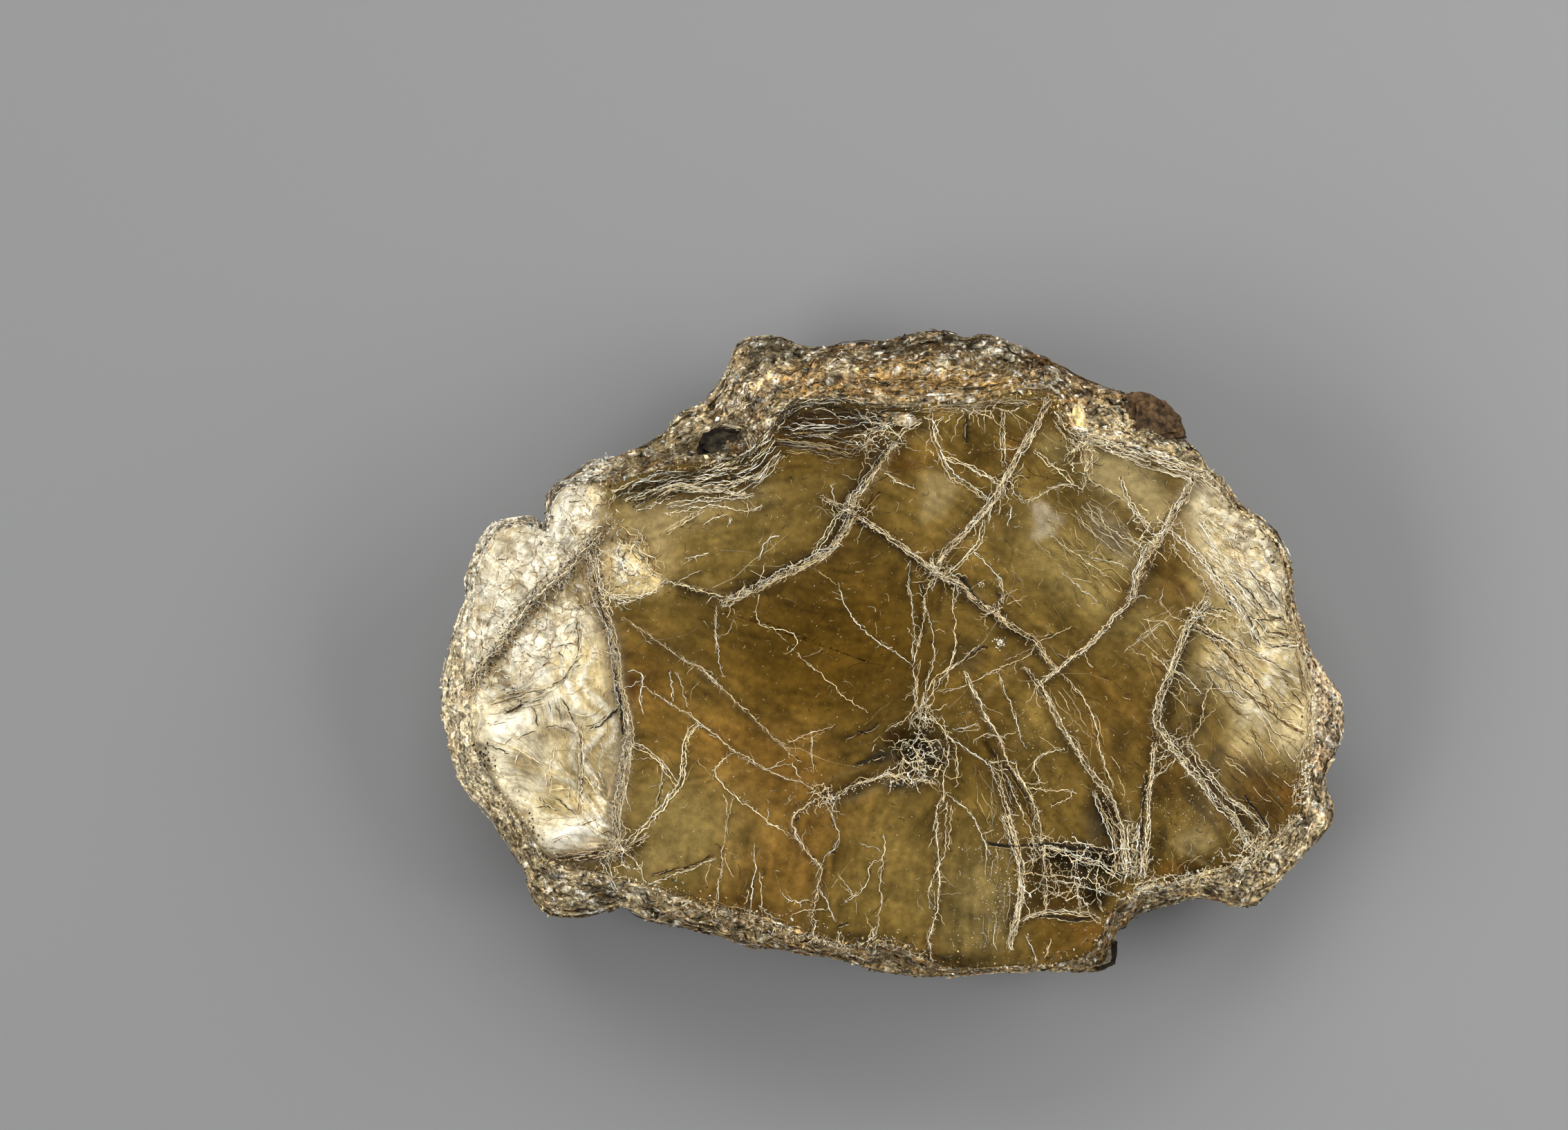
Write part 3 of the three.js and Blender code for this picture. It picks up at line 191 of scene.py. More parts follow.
# Plates between seams, each with its own shade: outline, colour, strength, softness of its edge
PLATES = [
    ([(-3.6, 14.6), (-7, 11), (-12.4, 8.4), (-19.5, 5.2), (-22, 0), (-15, -7), (-3, -6), (6, -4),
      (6.6, 7.4), (2.6, 10.3)], "smoke", 0.55, 1.6),
    ([(20.8, 22.8), (25.4, 22.2), (28, 21), (29, 19), (31, 15), (29, 13.4), (26, 16.2), (21, 18.8)],
     "straw", 0.8, 0.5),
    ([(27.6, 9.6), (30.2, 12.4), (33, 9.2), (34.8, 6.2), (33.4, 4.6), (32.6, 3.2), (28, 5.6)],
     "bark", 0.7, 0.4),
    ([(34.8, 6.2), (38.4, 4.2), (40.4, 0.4), (36, -1.5), (31, -1.6), (32.5, 3)], "olive", 0.7, 0.5),
    ([(31, -2), (36, -1.5), (38.6, -4.6), (36.4, -5.6), (34.4, -4.2)], "straw", 0.6, 0.8),
    ([(-47.6, -4.4), (-45.2, -1.2), (-43, 1.6), (-40.4, 4.8), (-38.2, 7.2), (-35.8, 9), (-34.9, 7.8),
      (-38, 5.4), (-41, 1.8), (-43.4, -1.8), (-46.2, -5.4)], "slate", 0.85, 0.3),
    ([(-46.4, -5.2), (-43.2, -3.4), (-40.2, -3.2), (-40.6, -4.8), (-42.6, -5.4), (-44.6, -7)],
     "umber", 0.6, 0.4),
    ([(-45.6, -9.4), (-43.4, -10.2), (-42, -12.4), (-44, -12.6)], "bark", 0.55, 0.5),
    ([(-31.9, 11), (-32.1, 6), (-30.9, 1.5), (-30.2, -4), (-29.5, -9), (-28.6, -9), (-29.4, -3.6),
      (-30.1, 2), (-31.2, 6.2), (-31, 11)], "slate", 0.6, 0.3),
    ([(14.2, -20.6), (24.8, -20.6), (24.6, -24.6), (23, -27.9), (14.4, -28.2)], "pitch", 0.8, 0.4),
    ([(17, -21.2), (24.6, -21.4), (24.6, -24.4), (20, -23.4), (16.8, -22.4)], "pitch", 0.95, 0.3),
    ([(19.4, -24.6), (24, -25.2), (23, -28), (20.6, -28.2)], "pitch", 0.85, 0.4),
    ([(17.2, -24.6), (20.4, -25), (21, -27.6), (17.4, -28)], "bark", 0.6, 0.3),
    ([(21.6, -14.6), (23.6, -15.4), (25.2, -17.4), (24.9, -20.4), (22, -20.2), (20.8, -17)],
     "pitch", 0.92, 0.4),
    ([(31.2, -11.4), (37.6, -18.4), (40.2, -22.6), (33, -24.2), (28.4, -24.8), (27.8, -19), (28.4, -12)],
     "brown olive", 0.7, 0.4),
    ([(36.8, -14.2), (39.6, -12.2), (45.6, -13.6), (45.2, -17.2), (42.2, -19.9), (40, -19)],
     "bark", 0.8, 0.4),
    ([(29.4, -12.6), (31.4, -11.2), (35.4, -16.6), (33.4, -17.4), (30.8, -15)], "smoke", 0.7, 0.8),
    ([(29, -23.6), (33, -22.4), (38.6, -22.4), (37.6, -24.2), (30, -25)], "bark", 0.7, 0.5),
    ([(31, -9.6), (32.4, -4.6), (34.6, -3.4), (38.4, -6), (38.2, -9.5), (36, -12.6), (33.4, -11)],
     "brown olive", 0.75, 0.7),
    ([(3.2, 20), (3.2, 14.6), (5.5, 15.2), (7.4, 18.6), (5.2, 20)], "straw", 0.5, 0.3),
    ([(15.1, 16.2), (16, 16.8), (17, 16.3), (17.4, 15.6), (18.6, 15), (18.4, 14.2), (17.8, 14.1),
      (17.8, 12.9), (16.6, 12.8), (15.6, 12.3), (15.1, 12.8), (15.6, 14)], "bone", 0.5, 0.12),
    ([(12.3, 24), (14.4, 23.8), (13.4, 21.4), (12.4, 20.8)], "honey", 0.7, 0.25),
    ([(-2.6, 22.6), (-0.6, 22.9), (-1.2, 20.6), (-2.4, 21.4)], "chestnut", 0.85, 0.25),
    ([(0.4, 22.6), (3.2, 20.4), (0.6, 19.2), (-0.6, 20.4)], "chestnut", 0.75, 0.3),
    ([(4.4, 26.9), (8, 26.8), (11.6, 25.2), (11.8, 20.6), (6, 21.8), (4.6, 24)], "brown olive", 0.8, 0.4),
    ([(12.4, 28.4), (15.6, 28.3), (15.4, 26.6), (12.3, 24.6)], "olive", 0.8, 0.3),
    ([(17.6, 26.6), (20, 23.2), (17, 24.4)], "chestnut", 0.7, 0.3),
    ([(16.4, 24.9), (20, 22.8), (18.8, 19.8), (15.3, 22.5)], "grey olive", 0.8, 0.3),
    ([(14.6, -29.2), (19, -28.7), (22.8, -29.6), (21.6, -33), (15.4, -34)], "bark", 0.6, 0.4),
    ([(19.4, -29.4), (23, -29.8), (22.4, -31.4), (20, -31)], "honey", 0.7, 0.4),
    ([(-30, 12.6), (-27.5, 11.8), (-24.4, 9), (-24, 13.5), (-19, 16), (-14.5, 17.6), (-24.5, 17),
      (-29.5, 16.5)], "gold", 0.45, 0.9),
    ([(-13, 24.6), (-11.5, 26.6), (-9, 27.6), (-5, 27.6), (-1, 26.6), (1.5, 26), (0.5, 25), (-2.4, 24.4),
      (-5, 24), (-9, 24)], "pitch", 0.9, 0.4),
    ([(-13.4, 24.4), (-9, 24.2), (-4, 24.4), (-1.6, 23.6), (-3.6, 20.6), (-6.4, 21), (-9.6, 22),
     (-13.4, 22.2)],
     "umber", 0.7, 0.6),
    ([(-31, 17), (-27, 19.4), (-20, 20.8), (-15, 21.4), (-13.4, 20.4), (-16, 18.6), (-21, 18), (-27, 16.6)],
     "pitch", 0.8, 0.5),
    (PEARLY_CELL, "gold", 0.85, 0.2),
    (FOIL_LEFT, "cream", 0.92, 0.3),
    ([(-38.6, 15), (-33, 12.6), (-36, 9), (-40, 5), (-44, -0.5), (-47, -3), (-48, 5), (-45, 15)],
     "pearl", 0.6, 0.6),
    ([(-38.4, 16), (-36, 19.4), (-33, 17.4), (-33.4, 13.6), (-38, 12.6)], "pearl", 0.5, 0.5),
    ([(-48, -4.6), (-44.6, -0.2), (-41.6, 3.6), (-38.6, 6.9), (-35.6, 9.8), (-33, 13), (-31.4, 15.6),
     (-30, 13.6),
      (-33, 9.4), (-36.2, 6.6), (-39.4, 3.6), (-42.4, 0.2), (-45.2, -3.8), (-46.8, -6)], "tan", 0.9, 0.3),
    ([(-43.2, 0.8), (-40.5, 3.6), (-36, 3.6), (-35.6, 1), (-37.4, -3), (-40, -3.2), (-42.6, -1.8)],
     "pearl", 0.6, 0.5),
    ([(-38.2, 0.4), (-35.2, 0.8), (-35, -1.6), (-36.8, -2.8), (-38, -1)], "gold", 0.8, 0.3),
    ([(-38.8, -4.4), (-35.6, -3), (-34.6, -4), (-34.2, -8), (-36.4, -8.2), (-38.2, -7.2)],
     "bone", 0.6, 0.4),
    ([(-34.6, 1.4), (-31.4, 1.6), (-30.6, -3), (-30.8, -6.4), (-33.6, -7.6), (-34.6, -4)],
     "straw", 0.85, 0.4),
    ([(-37.4, -9.4), (-34.6, -8.4), (-31, -6), (-30.6, -17), (-34, -18), (-38.8, -16.6), (-37.6, -12.6)],
     "straw", 0.9, 0.5),
    ([(-43.6, -6.6), (-39.8, -5.2), (-38.8, -7.6), (-40.6, -9.4), (-43.2, -9.8), (-45, -9.8)],
     "pearl", 0.6, 0.3),
    # The next three patches, olive and pale olive, are painted shade where the foil's facets turn away from
    # the light.
    ([(-39, -8), (-36.4, -7.8), (-34.6, -9.2), (-36.4, -9.6), (-38.4, -9.2)], "olive", 0.7, 0.3),
    ([(-42.4, -11.4), (-40.8, -10.8), (-38.6, -12.4), (-37.4, -13.8), (-40, -14), (-42, -12.8)],
     "olive", 0.8, 0.25),
    ([(-39, -15.6), (-35, -16), (-34.6, -17.8), (-38, -17.6)], "pale olive", 0.8, 0.3),
    ([(-34.2, -10), (-31.2, -9), (-31, -13), (-33.4, -13.4)], "pale olive", 0.5, 0.6),
    ([(-39, -19.2), (-34, -17.8), (-30.9, -17), (-30.8, -21.4), (-33, -22.4), (-37, -22.4), (-39, -21)],
     "cream", 0.9, 0.35),
    # Painted shadow under the bright bulge of the fold.
    ([(-36.8, -21.8), (-34, -21.2), (-31, -20), (-30.8, -22), (-34, -22.6), (-37, -22.8)],
     "rust", 0.6, 0.25),
    # Painted highlight along the top of the bulge.
    ([(-37.4, -20.8), (-36.4, -19.6), (-34.2, -19.2), (-33.8, -19.9), (-35.6, -21), (-37, -21.4)],
     "pearl", 1.0, 0.2),
    (FOIL_RIGHT, "cream", 0.85, 0.7),
    ([(36.4, 18), (42.4, 12), (43.6, 6), (42, 5.4), (38.6, 8.6), (35.6, 14.4)], "pearl", 0.6, 0.7),
    ([(33, 16), (36, 17.6), (38.2, 12), (39.8, 7), (38, 5.5), (35.2, 9)], "pale olive", 0.65, 0.6),
    ([(33, 8), (38.6, 4.4), (45, 3.4), (46.4, -4), (46.6, -9), (44.5, -10.5), (41.5, -7.5), (38.6, -9.5),
      (38.4, -4.5), (35, -1)], "pale olive", 0.8, 1.0),
    ([(41, -1), (45.6, -2), (46.2, -8), (43.4, -9.4), (40.4, -5)], "gold", 0.5, 1.2),
]
# Broad clouds of shade inside the sheets, under the plates' colours: middle x, middle y, half length, half
# width, turn, colour, strength
BROAD_CLOUDS = [
    (-5, 1, 10, 8, -10, "deep smoke", 0.85), (-10, -3, 9, 6, -25, "smoke", 0.5),
    (-14, -13, 12, 6, -30, "honey", 0.6), (-12, -23, 8, 5, 0, "honey", 0.5),
    (-23, -19, 8, 6, 0, "pale olive", 0.55), (2, -24, 10, 8, 0, "olive", 0.7),
    (9, -28, 5, 6, 0, "grey olive", 0.7), (-17, 12, 9, 5, 15, "olive", 0.7),
    (-8, 19, 6, 3, 0, "olive", 0.5), (22, 9, 10, 5, -30, "pale olive", 0.7),
    (12, 9, 6, 4, -30, "brown olive", 0.7), (24, -7, 6, 7, 0, "bark", 0.5),
    (10, -8, 5, 6, 0, "smoke", 0.5), (16, -8, 4, 3, 0, "olive", 0.6), (33, -20, 5, 3, 0, "olive", 0.5),
    (-27, -3, 3, 6, 0, "amber", 0.6),
]
# Small marks over the plates' colours, likewise: mostly stains, some painted shade and painted highlight
STAINS = [
    # Painted shade filling the hollow of the biggest fibre nest.
    (2.5, -11, 4.6, 3.8, 0, "pitch", 0.85),
    (-4.5, -14.9, 5.0, 0.9, 20, "pitch", 0.8), (0.5, 25.5, 3.2, 1.1, -8, "pitch", 0.9),
    (6, 27.6, 2.6, 0.5, 0, "pitch", 0.8), (8, 0, 2.2, 1.8, 0, "smoke black", 0.7),
    (-7.5, 24.8, 5.4, 2.0, 0, "umber", 0.75), (-20, 18.2, 5.6, 2.0, 4, "umber", 0.7),
    (6, 21.4, 8, 2.6, 0, "bark", 0.4), (-10, 20.6, 4, 1.6, 0, "smoke", 0.5),
    (26, 7, 2.2, 1.8, 0, "smoke", 0.7), (24, 13, 4, 1.6, -50, "ash", 0.35),
    (7, -33.6, 5, 0.9, 0, "pitch", 0.7), (-4, -31.2, 6, 0.8, 0, "pitch", 0.5),
    (-16, -27.4, 6, 0.9, -14, "chestnut", 0.6), (-28.6, -3.6, 0.7, 1.6, 0, "chestnut", 0.9),
    (32, -24, 5, 0.8, 0, "pitch", 0.5), (36.8, -23.6, 1.2, 0.8, 0, "pitch", 0.8),
    # Painted highlight on the bulge of the fold, and painted shade in the slit beneath it.
    (-34.6, -19.4, 3.2, 1.3, 21, "pearl", 1.0), (-33.8, -22.5, 3.4, 0.3, 8, "pitch", 0.95),
     (-41.4, -6.0, 1.8, 0.5, 25, "soot", 0.85),
    (-44.6, -12.6, 0.8, 0.6, 0, "soot", 0.9), (-45.4, -10.2, 0.9, 0.4, -20, "soot", 0.85),
    (-46, -11.2, 0.5, 0.5, 0, "smoke black", 0.8), (-40.8, -17.7, 0.9, 0.6, 0, "bark", 0.8),
    (-40.4, -20.2, 1.0, 1.4, 20, "soot", 0.6), (-43.0, -2.3, 1.0, 0.5, -15, "umber", 0.9),
    (-42.4, -3.4, 0.7, 0.4, 20, "rust", 0.8), (-41.4, -4.1, 1.4, 0.5, 20, "slate", 0.8),
    (-44.6, -1.0, 1.7, 0.6, 55, "slate", 0.8), (-46.6, -3.6, 1.6, 0.4, 50, "slate", 0.6),
    (3.1, -7.0, 0.7, 1.0, 0, "pitch", 0.85), (0.4, -8.9, 1.4, 0.8, 20, "umber", 0.85),
    # (2.8, -11.2) is more painted shade in the nest's hollow.
    (-1.2, -11.5, 1.2, 0.6, 22, "pitch", 0.9), (2.8, -11.2, 2.6, 2.3, 0, "pitch", 0.9),
    # (10.4, -10.2) is painted shade inside an open crack.
    (1.0, -14.3, 2.0, 0.5, 12, "pitch", 0.95), (10.4, -10.2, 0.4, 1.4, 30, "pitch", 0.8),
    # (-2.4, -11.5) and (8.1, 24.6) are painted shade inside open cracks.
    (-2.4, -11.5, 2.2, 0.35, 22, "pitch", 0.9), (8.1, 24.6, 0.22, 1.6, 0, "pitch", 0.8),
    (29.6, -13.6, 1.4, 3.0, -8, "umber", 0.7), (32.6, -15.6, 3.0, 0.7, -50, "smoke black", 0.7),
    (35.4, -19.2, 2.2, 0.7, -60, "pitch", 0.5), (33, -20.6, 2.2, 1.5, 0, "straw", 0.4),
    (30.4, -23.6, 1.6, 0.8, 0, "honey", 0.7), (29.4, -20.4, 0.7, 1.6, 0, "umber", 0.7),
    (34.8, -22.6, 0.8, 1.2, 0, "pitch", 0.5), (40.6, -14.8, 2.6, 0.8, -60, "umber", 0.6),
    (43.4, -15.4, 1.4, 1.0, 0, "honey", 0.6), (38.6, -12.8, 1.6, 0.9, -40, "umber", 0.6),
    (33.4, -7.0, 0.9, 2.6, -10, "pitch", 0.55), (35.6, -10.8, 1.0, 1.4, 0, "smoke black", 0.5),
    (38.6, -9.0, 1.6, 1.4, 0, "pale olive", 0.7), (30.4, -6.8, 0.6, 1.8, 0, "pitch", 0.6),
    (28.6, 9.4, 1.0, 1.6, 0, "pitch", 0.6), (31.4, 7.2, 2.4, 0.7, -50, "umber", 0.6),
    (26.4, 13.8, 2.4, 0.5, -45, "smoke black", 0.6), (24.4, 16.4, 2.0, 0.4, -45, "smoke black", 0.5),
    (22.4, -3.2, 2.4, 0.6, -60, "bark", 0.6), (24.6, -9.6, 1.0, 3.0, 0, "smoke black", 0.5),
    # (3.2, 6.7) is painted shade inside an open crack.
    (3.2, 6.7, 0.25, 1.0, 0, "pitch", 0.8), (40.2, 11.3, 0.7, 2.2, -4, "straw", 0.7),
]


def linear(name):
    """A named colour in linear light: each display channel c becomes ((c + 0.055) / 1.055) to the 2.4."""
    return ((np.array(COLOURS[name]) / 255 + 0.055) / 1.055) ** 2.4


def smooth_ring(rows, count):
    """count rows spaced evenly along a closed run of rows, on cubic curves whose slope at each row is that
    of the line between its two neighbours."""
    ahead = np.roll(rows, -1, 0)
    length = np.hypot(*(ahead - rows)[:, :2].T)
    start = np.concatenate([[0], np.cumsum(length)])
    wanted = np.arange(count) * start[-1] / count
    at = np.searchsorted(start, wanted, side="right") - 1
    t = ((wanted - start[at]) / length[at])[:, None]
    slope = (ahead - np.roll(rows, 1, 0)) / (length + np.roll(length, 1))[:, None]
    leave = slope[at] * length[at][:, None]
    arrive = np.roll(slope, -1, 0)[at] * length[at][:, None]
    return ((2 * t**3 - 3 * t**2 + 1) * rows[at] + (t**3 - 2 * t**2 + t) * leave
            + (3 * t**2 - 2 * t**3) * ahead[at] + (t**3 - t**2) * arrive)


def blended(old, new, share):
    """old (1 - share) + new share."""
    return old * (1 - share) + new * share


def chance(*whole):
    """A steady pseudo-random number from 0 to 1 for whole-number corners: the fraction of a large sine."""
    wave = sum(n * k for n, k in zip(whole, (12.9898, 78.233, 37.719, 4.581)))
    return np.modf(np.abs(np.sin(wave) * 43758.5453))[0]


def clouds(x, y, size, seed):
    """Smooth noise from -1 to 1: corner values of a square lattice, blended by t * t * (3 - 2 t)."""
    u, v = x / size, y / size
    i, j = np.floor(u), np.floor(v)
    s, t = u - i, v - j
    s, t = s * s * (3 - 2 * s), t * t * (3 - 2 * t)
    low = blended(chance(i, j, seed), chance(i + 1, j, seed), s)
    high = blended(chance(i, j + 1, seed), chance(i + 1, j + 1, seed), s)
    return 2 * blended(low, high, t) - 1


def kinks(along, number, size, seed):
    """Jagged noise from -1 to 1 along lines, each with its own number: random values every size, joined by
    straight stretches."""
    u = along / size + 7 * chance(number, seed)
    i = np.floor(u)
    return 2 * blended(chance(i, number, seed), chance(i + 1, number, seed), u - i) - 1


def facets(x, y, size, seed):
    """Crumpled sheet from -1 to 1: corner values of a lattice of triangles joined by flat planes. The
    lattice is bent first by smooth noise, so that its creases wander."""
    bend_x = x + 0.55 * size * clouds(x, y, 1.7 * size, seed + 11)
    bend_y = y + 0.55 * size * clouds(x, y, 1.7 * size, seed + 12)
    skew = (bend_x + bend_y) * 0.366
    u, v = (bend_x + skew) / size, (bend_y + skew) / size
    i, j = np.floor(u), np.floor(v)
    u, v = u - i, v - j
    near, far = chance(i, j, seed), chance(i + 1, j + 1, seed)
    right, left = chance(i + 1, j, seed), chance(i, j + 1, seed)
    lower = near * (1 - u) + right * (u - v) + far * v
    upper = near * (1 - v) + left * (v - u) + far * u
    return 2 * np.where(u > v, lower, upper) - 1


def bell(x, y, cx, cy, half, across, turn, power=1):
    """exp(-(u u + v v) ** power), with u and v measured along and across the turned form."""
    angle = math.radians(turn)
    u = ((x - cx) * math.cos(angle) + (y - cy) * math.sin(angle)) / half
    v = ((y - cy) * math.cos(angle) - (x - cx) * math.sin(angle)) / across
    return np.exp(-((u * u + v * v) ** power))


def beside(x, y, route):
    """Signed distance of points from a route, positive on its right hand, and how far the nearest spot on
    the route is from the route's nearer end."""
    route = np.array(route, float)
    steps = np.hypot(*np.diff(route, axis=0).T)
    best = np.full(x.shape, 1e9)
    signed = np.zeros(x.shape)
    from_end = np.zeros(x.shape)
    before = 0.0
    for (ax, ay), (bx, by), length in zip(route, route[1:], steps):
        dx, dy = bx - ax, by - ay
        t = np.clip(((x - ax) * dx + (y - ay) * dy) / length**2, 0, 1)
        distance = np.hypot(x - ax - t * dx, y - ay - t * dy)
        nearer = distance < best
        best = np.where(nearer, distance, best)
        signed = np.where(nearer, distance * np.sign((x - ax) * dy - (y - ay) * dx), signed)
        along = before + t * length
        from_end = np.where(nearer, np.minimum(along, steps.sum() - along), from_end)
        before += length
    return signed, from_end


def soft_step(q):
    """From 0 well below zero to 1 well above it, by 1 / (1 + exp(-q))."""
    return 1 / (1 + np.exp(-np.clip(q, -30, 30)))


def inside(x, y, outline, softness):
    """1 inside a closed outline and 0 outside, by a soft step of the distance inwards over softness."""
    distance = np.full(x.shape, 1e9)
    crossings = np.zeros(x.shape, int)
    for (ax, ay), (bx, by) in zip(outline, outline[1:] + outline[:1]):
        dx, dy = bx - ax, by - ay
        t = np.clip(((x - ax) * dx + (y - ay) * dy) / (dx * dx + dy * dy), 0, 1)
        distance = np.minimum(distance, np.hypot(x - ax - t * dx, y - ay - t * dy))
        if dy != 0:
            crossings += ((ay > y) != (by > y)) & (x < ax + (y - ay) * dx / dy)
    return soft_step(np.where(crossings % 2 == 1, distance, -distance) / softness)


def foil_share(x, y):
    """How much a spot of the face is crumpled foil, from 0 to 1."""
    areas = [inside(x, y, FOIL_LEFT, 0.4), inside(x, y, FOIL_RIGHT, 1.0), inside(x, y, PEARLY_CELL, 0.4)]
    return np.maximum.reduce(areas)


def foil_grain(x, y):
    """How flaky the foil is at a spot, from 0 where it is smooth and satiny to 1 in the upper lobes."""
    lobes = np.maximum(inside(x, y, FLAKY_FOIL, 1.2), inside(x, y, FLAKY_LOBE, 0.6))
    return np.clip(0.12 + lobes, 0, 1)


def right_folds(x, y):
    """Place across and along the folds of the right lobe, which run down to the right."""
    return 0.78 * x + 0.62 * y + 0.8 * clouds(x, y, 4, 21), 0.62 * x - 0.78 * y


def face_height(x, y):
    """Height of the face: a low dome, less the bends at its ends and the drops along its seams, plus its
    broad forms, the crumpling of its foil and fine waves in its sheets."""
    z = FACE_LEVEL - DOME_ALONG * x**2 - DOME_ACROSS * y**2
    for dx, dy, start, slope in BENDS:
        z -= slope * BEND_SOFTNESS * np.logaddexp(0, (x * dx + y * dy - start) / BEND_SOFTNESS)
    for cx, cy, half, across, turn, height in FORMS:
        z += height * bell(x, y, cx, cy, half, across, turn)
    for route, width, height, drop, reach, _ in SEAMS:
        signed, from_end = beside(x, y, route)
        fade = np.minimum(1, from_end / SEAM_FADE)
        z -= drop * soft_step(signed / STEP_SOFTNESS) * np.exp(-np.abs(signed) / reach) * fade
        z += height * 0.6 * np.exp(-((signed / (0.45 * width)) ** 2)) * np.minimum(1, 0.3 + fade)
    foil = foil_share(x, y)
    for cx, cy, reach, height in FANS:
        away, angle = np.hypot(x - cx, y - cy), np.arctan2(y - cy, x - cx)
        angle = angle + 0.16 * clouds(x, y, 4, 15) + 0.06 * clouds(x, y, 1.6, 16)
        held = foil * np.exp(-((away / reach) ** 4))
        z += height * held * facets(0.14 * away, 18 * angle, 2.2, 13)
        z += 0.35 * height * held * facets(0.2 * away, 34 * angle, 1.6, 14)
    grainy = foil * foil_grain(x, y)
    z += foil * (0.5 + 0.3 * foil_grain(x, y)) * facets(x, y, 7.4, 1)
    z += (0.1 * foil + 0.25 * grainy) * facets(x, y, 3.1, 2)
    z += grainy * (0.28 * facets(x, y, 1.7, 3) + 0.17 * facets(x, y, 0.9, 4))
    slant, along = right_folds(x, y)
    creased = bell(x, y, 40, -2, 9, 8, -30, 2)
    z += creased * (0.34 * facets(slant, along * 0.16, 1.9, 5) + 0.16 * facets(slant, along * 0.2, 0.9, 6))
    z += (1 - foil) * (0.22 * clouds(x, y, 9, 7) + 0.10 * facets(x, y, 5, 8) + 0.03 * facets(x, y, 1.8, 9))
    return z


def foil_folds(x, y):
    """Place of a spot across and along the fine folds of the foil, and how strong they are there. On the
    left lobe they fan out from one corner, by the angle about that corner."""
    cx, cy = FANS[0][:2]
    away = np.hypot(x - cx, y - cy)
    angle = np.arctan2(y - cy, x - cx) + 0.1 * clouds(x, y, 5, 17)
    fanned = np.clip((away - 6) / 6, 0, 1) * (1 - bell(x, y, -35, -19.6, 4.6, 2.6, 19))
    across, along = right_folds(x, y)
    across, along, strength = np.where(x < 0, [24 * angle, away, fanned], [across, along, 1 + 0 * x])
    return across, along, strength * np.clip(0.6 + 0.9 * clouds(x, y, 3.4, 18), 0, 1)


SHEET_LIGHT, FOIL_LIGHT = 0.63, 1.24  # how much of its colour's light a flat sheet and foil give back
# Which way fine cracks run: x, y, degrees
TRENDS = [(-8, 4, -12), (-20, -6, -38), (-35, -8, 20), (-22, -22, 85), (-6, -25, 85), (8, -24, 88),
          (14, -14, -68), (22, 12, -42), (36, 10, -50), (38, -4, -40), (34, -18, -60), (-18, 14, 12),
          (8, 20, -40), (10, 3, -45), (4, 3, 88), (-42, 8, 60)]


def trend_at(spot):
    """Direction of fine cracks at spots: the average of the trends, weighted by 1 / distance ** 4."""
    anchors = np.array(TRENDS, float)
    gap = spot[:, None] - anchors[None, :, :2]
    weight = 1 / (gap[..., 0] ** 2 + gap[..., 1] ** 2 + 1) ** 2
    return (weight * np.radians(anchors[:, 2])).sum(1) / weight.sum(1)


def painted(ground, covers):
    """A named ground colour with each cover, an amount and a colour's name, blended over it in turn."""
    colour = linear(ground)
    for cover, name in covers:
        colour = blended(colour, linear(name), cover[..., None])
    return colour


def face_colour(x, y):
    """Colour of the face and how much each spot is foil: a brown olive ground, painted with clouds, plates,
    stains and painted shade along the seams, its brightness varied by streaks and mottling along the sheets."""
    wander_x = x + 1.2 * clouds(x, y, 5, 31)
    wander_y = y + 1.2 * clouds(x, y, 5, 32)
    covers = [(bell(wander_x, wander_y, *form, 1.3) * strength, name)
              for *form, name, strength in BROAD_CLOUDS]
    covers += [(inside(x, y, outline, softness) * strength, name)
               for outline, name, strength, softness in PLATES]
    covers += [(bell(x, y, *form, 1.6) * strength, name) for *form, name, strength in STAINS]
    foil = foil_share(x, y)
    flaky = foil * (0.35 + 0.65 * foil_grain(x, y))
    covers.append((0.8 * flaky * np.clip(0.1 + 0.9 * facets(x, y, 2.6, 41), 0, 1), "gold"))
    covers.append((0.5 * flaky * np.clip(1.2 * facets(x, y, 4.4, 42) - 0.3, 0, 1), "pale olive"))
    # Along each seam, painted shade: in its bed, faintly around it off the foil, and, where the sheet drops
    # beside it, a painted shadow on its low side.
    for route, width, _, drop, reach, strands in SEAMS:
        signed, from_end = beside(x, y, route)
        fade = np.minimum(1, from_end / 3)
        seam_bed_shade = np.exp(-((signed / (0.42 * width + 0.15)) ** 2)) * np.minimum(1, 0.4 + fade)
        covers.append((0.75 * seam_bed_shade * min(1, strands / 6), "chestnut"))
        halo_shade = np.exp(-((signed / (0.8 * width + 0.5)) ** 2)) * (1 - foil)
        covers.append((0.25 * halo_shade * (1 + clouds(x, y, 2.3, 49)) * min(1, strands / 5), "umber"))
        if drop > 0.6:
            low_side_shadow = np.exp(-np.abs(signed - 0.4 * width) / 0.7) * (signed > 0)
            covers.append((0.75 * low_side_shadow * fade, "pitch"))
    streaks = 0 * x
    way = trend_at(np.c_[x, y])
    for pull in (-3, -2, -1, 0, 1, 2, 3):
        streaks += clouds(x + 0.4 * pull * np.cos(way), y + 0.4 * pull * np.sin(way), 0.5, 45) / 3
    flecks = clouds(0.5 * x + 0.8 * y, y, 1.1, 46)
    flat = 1 - foil
    shade = 1 + flat * (0.26 * streaks + 0.1 * flecks + 0.1 * clouds(x, y, 0.55, 47))
    shade = shade * (1 + flat * (0.3 * clouds(wander_x, wander_y, 3.2, 48) + 0.16 * clouds(x, y, 1.3, 50)))
    patchy = bell(x, y, 35, -14, 14, 9, -40) + bell(x, y, 6, 23, 12, 4, 0)
    shade = shade * (1 + flat * patchy * (0.35 * clouds(x, y, 2.2, 51) + 0.2 * clouds(x, y, 0.9, 52)))
    shade = shade * (SHEET_LIGHT + (FOIL_LIGHT - SHEET_LIGHT) * foil)
    return painted("brown olive", covers) * shade[..., None], foil


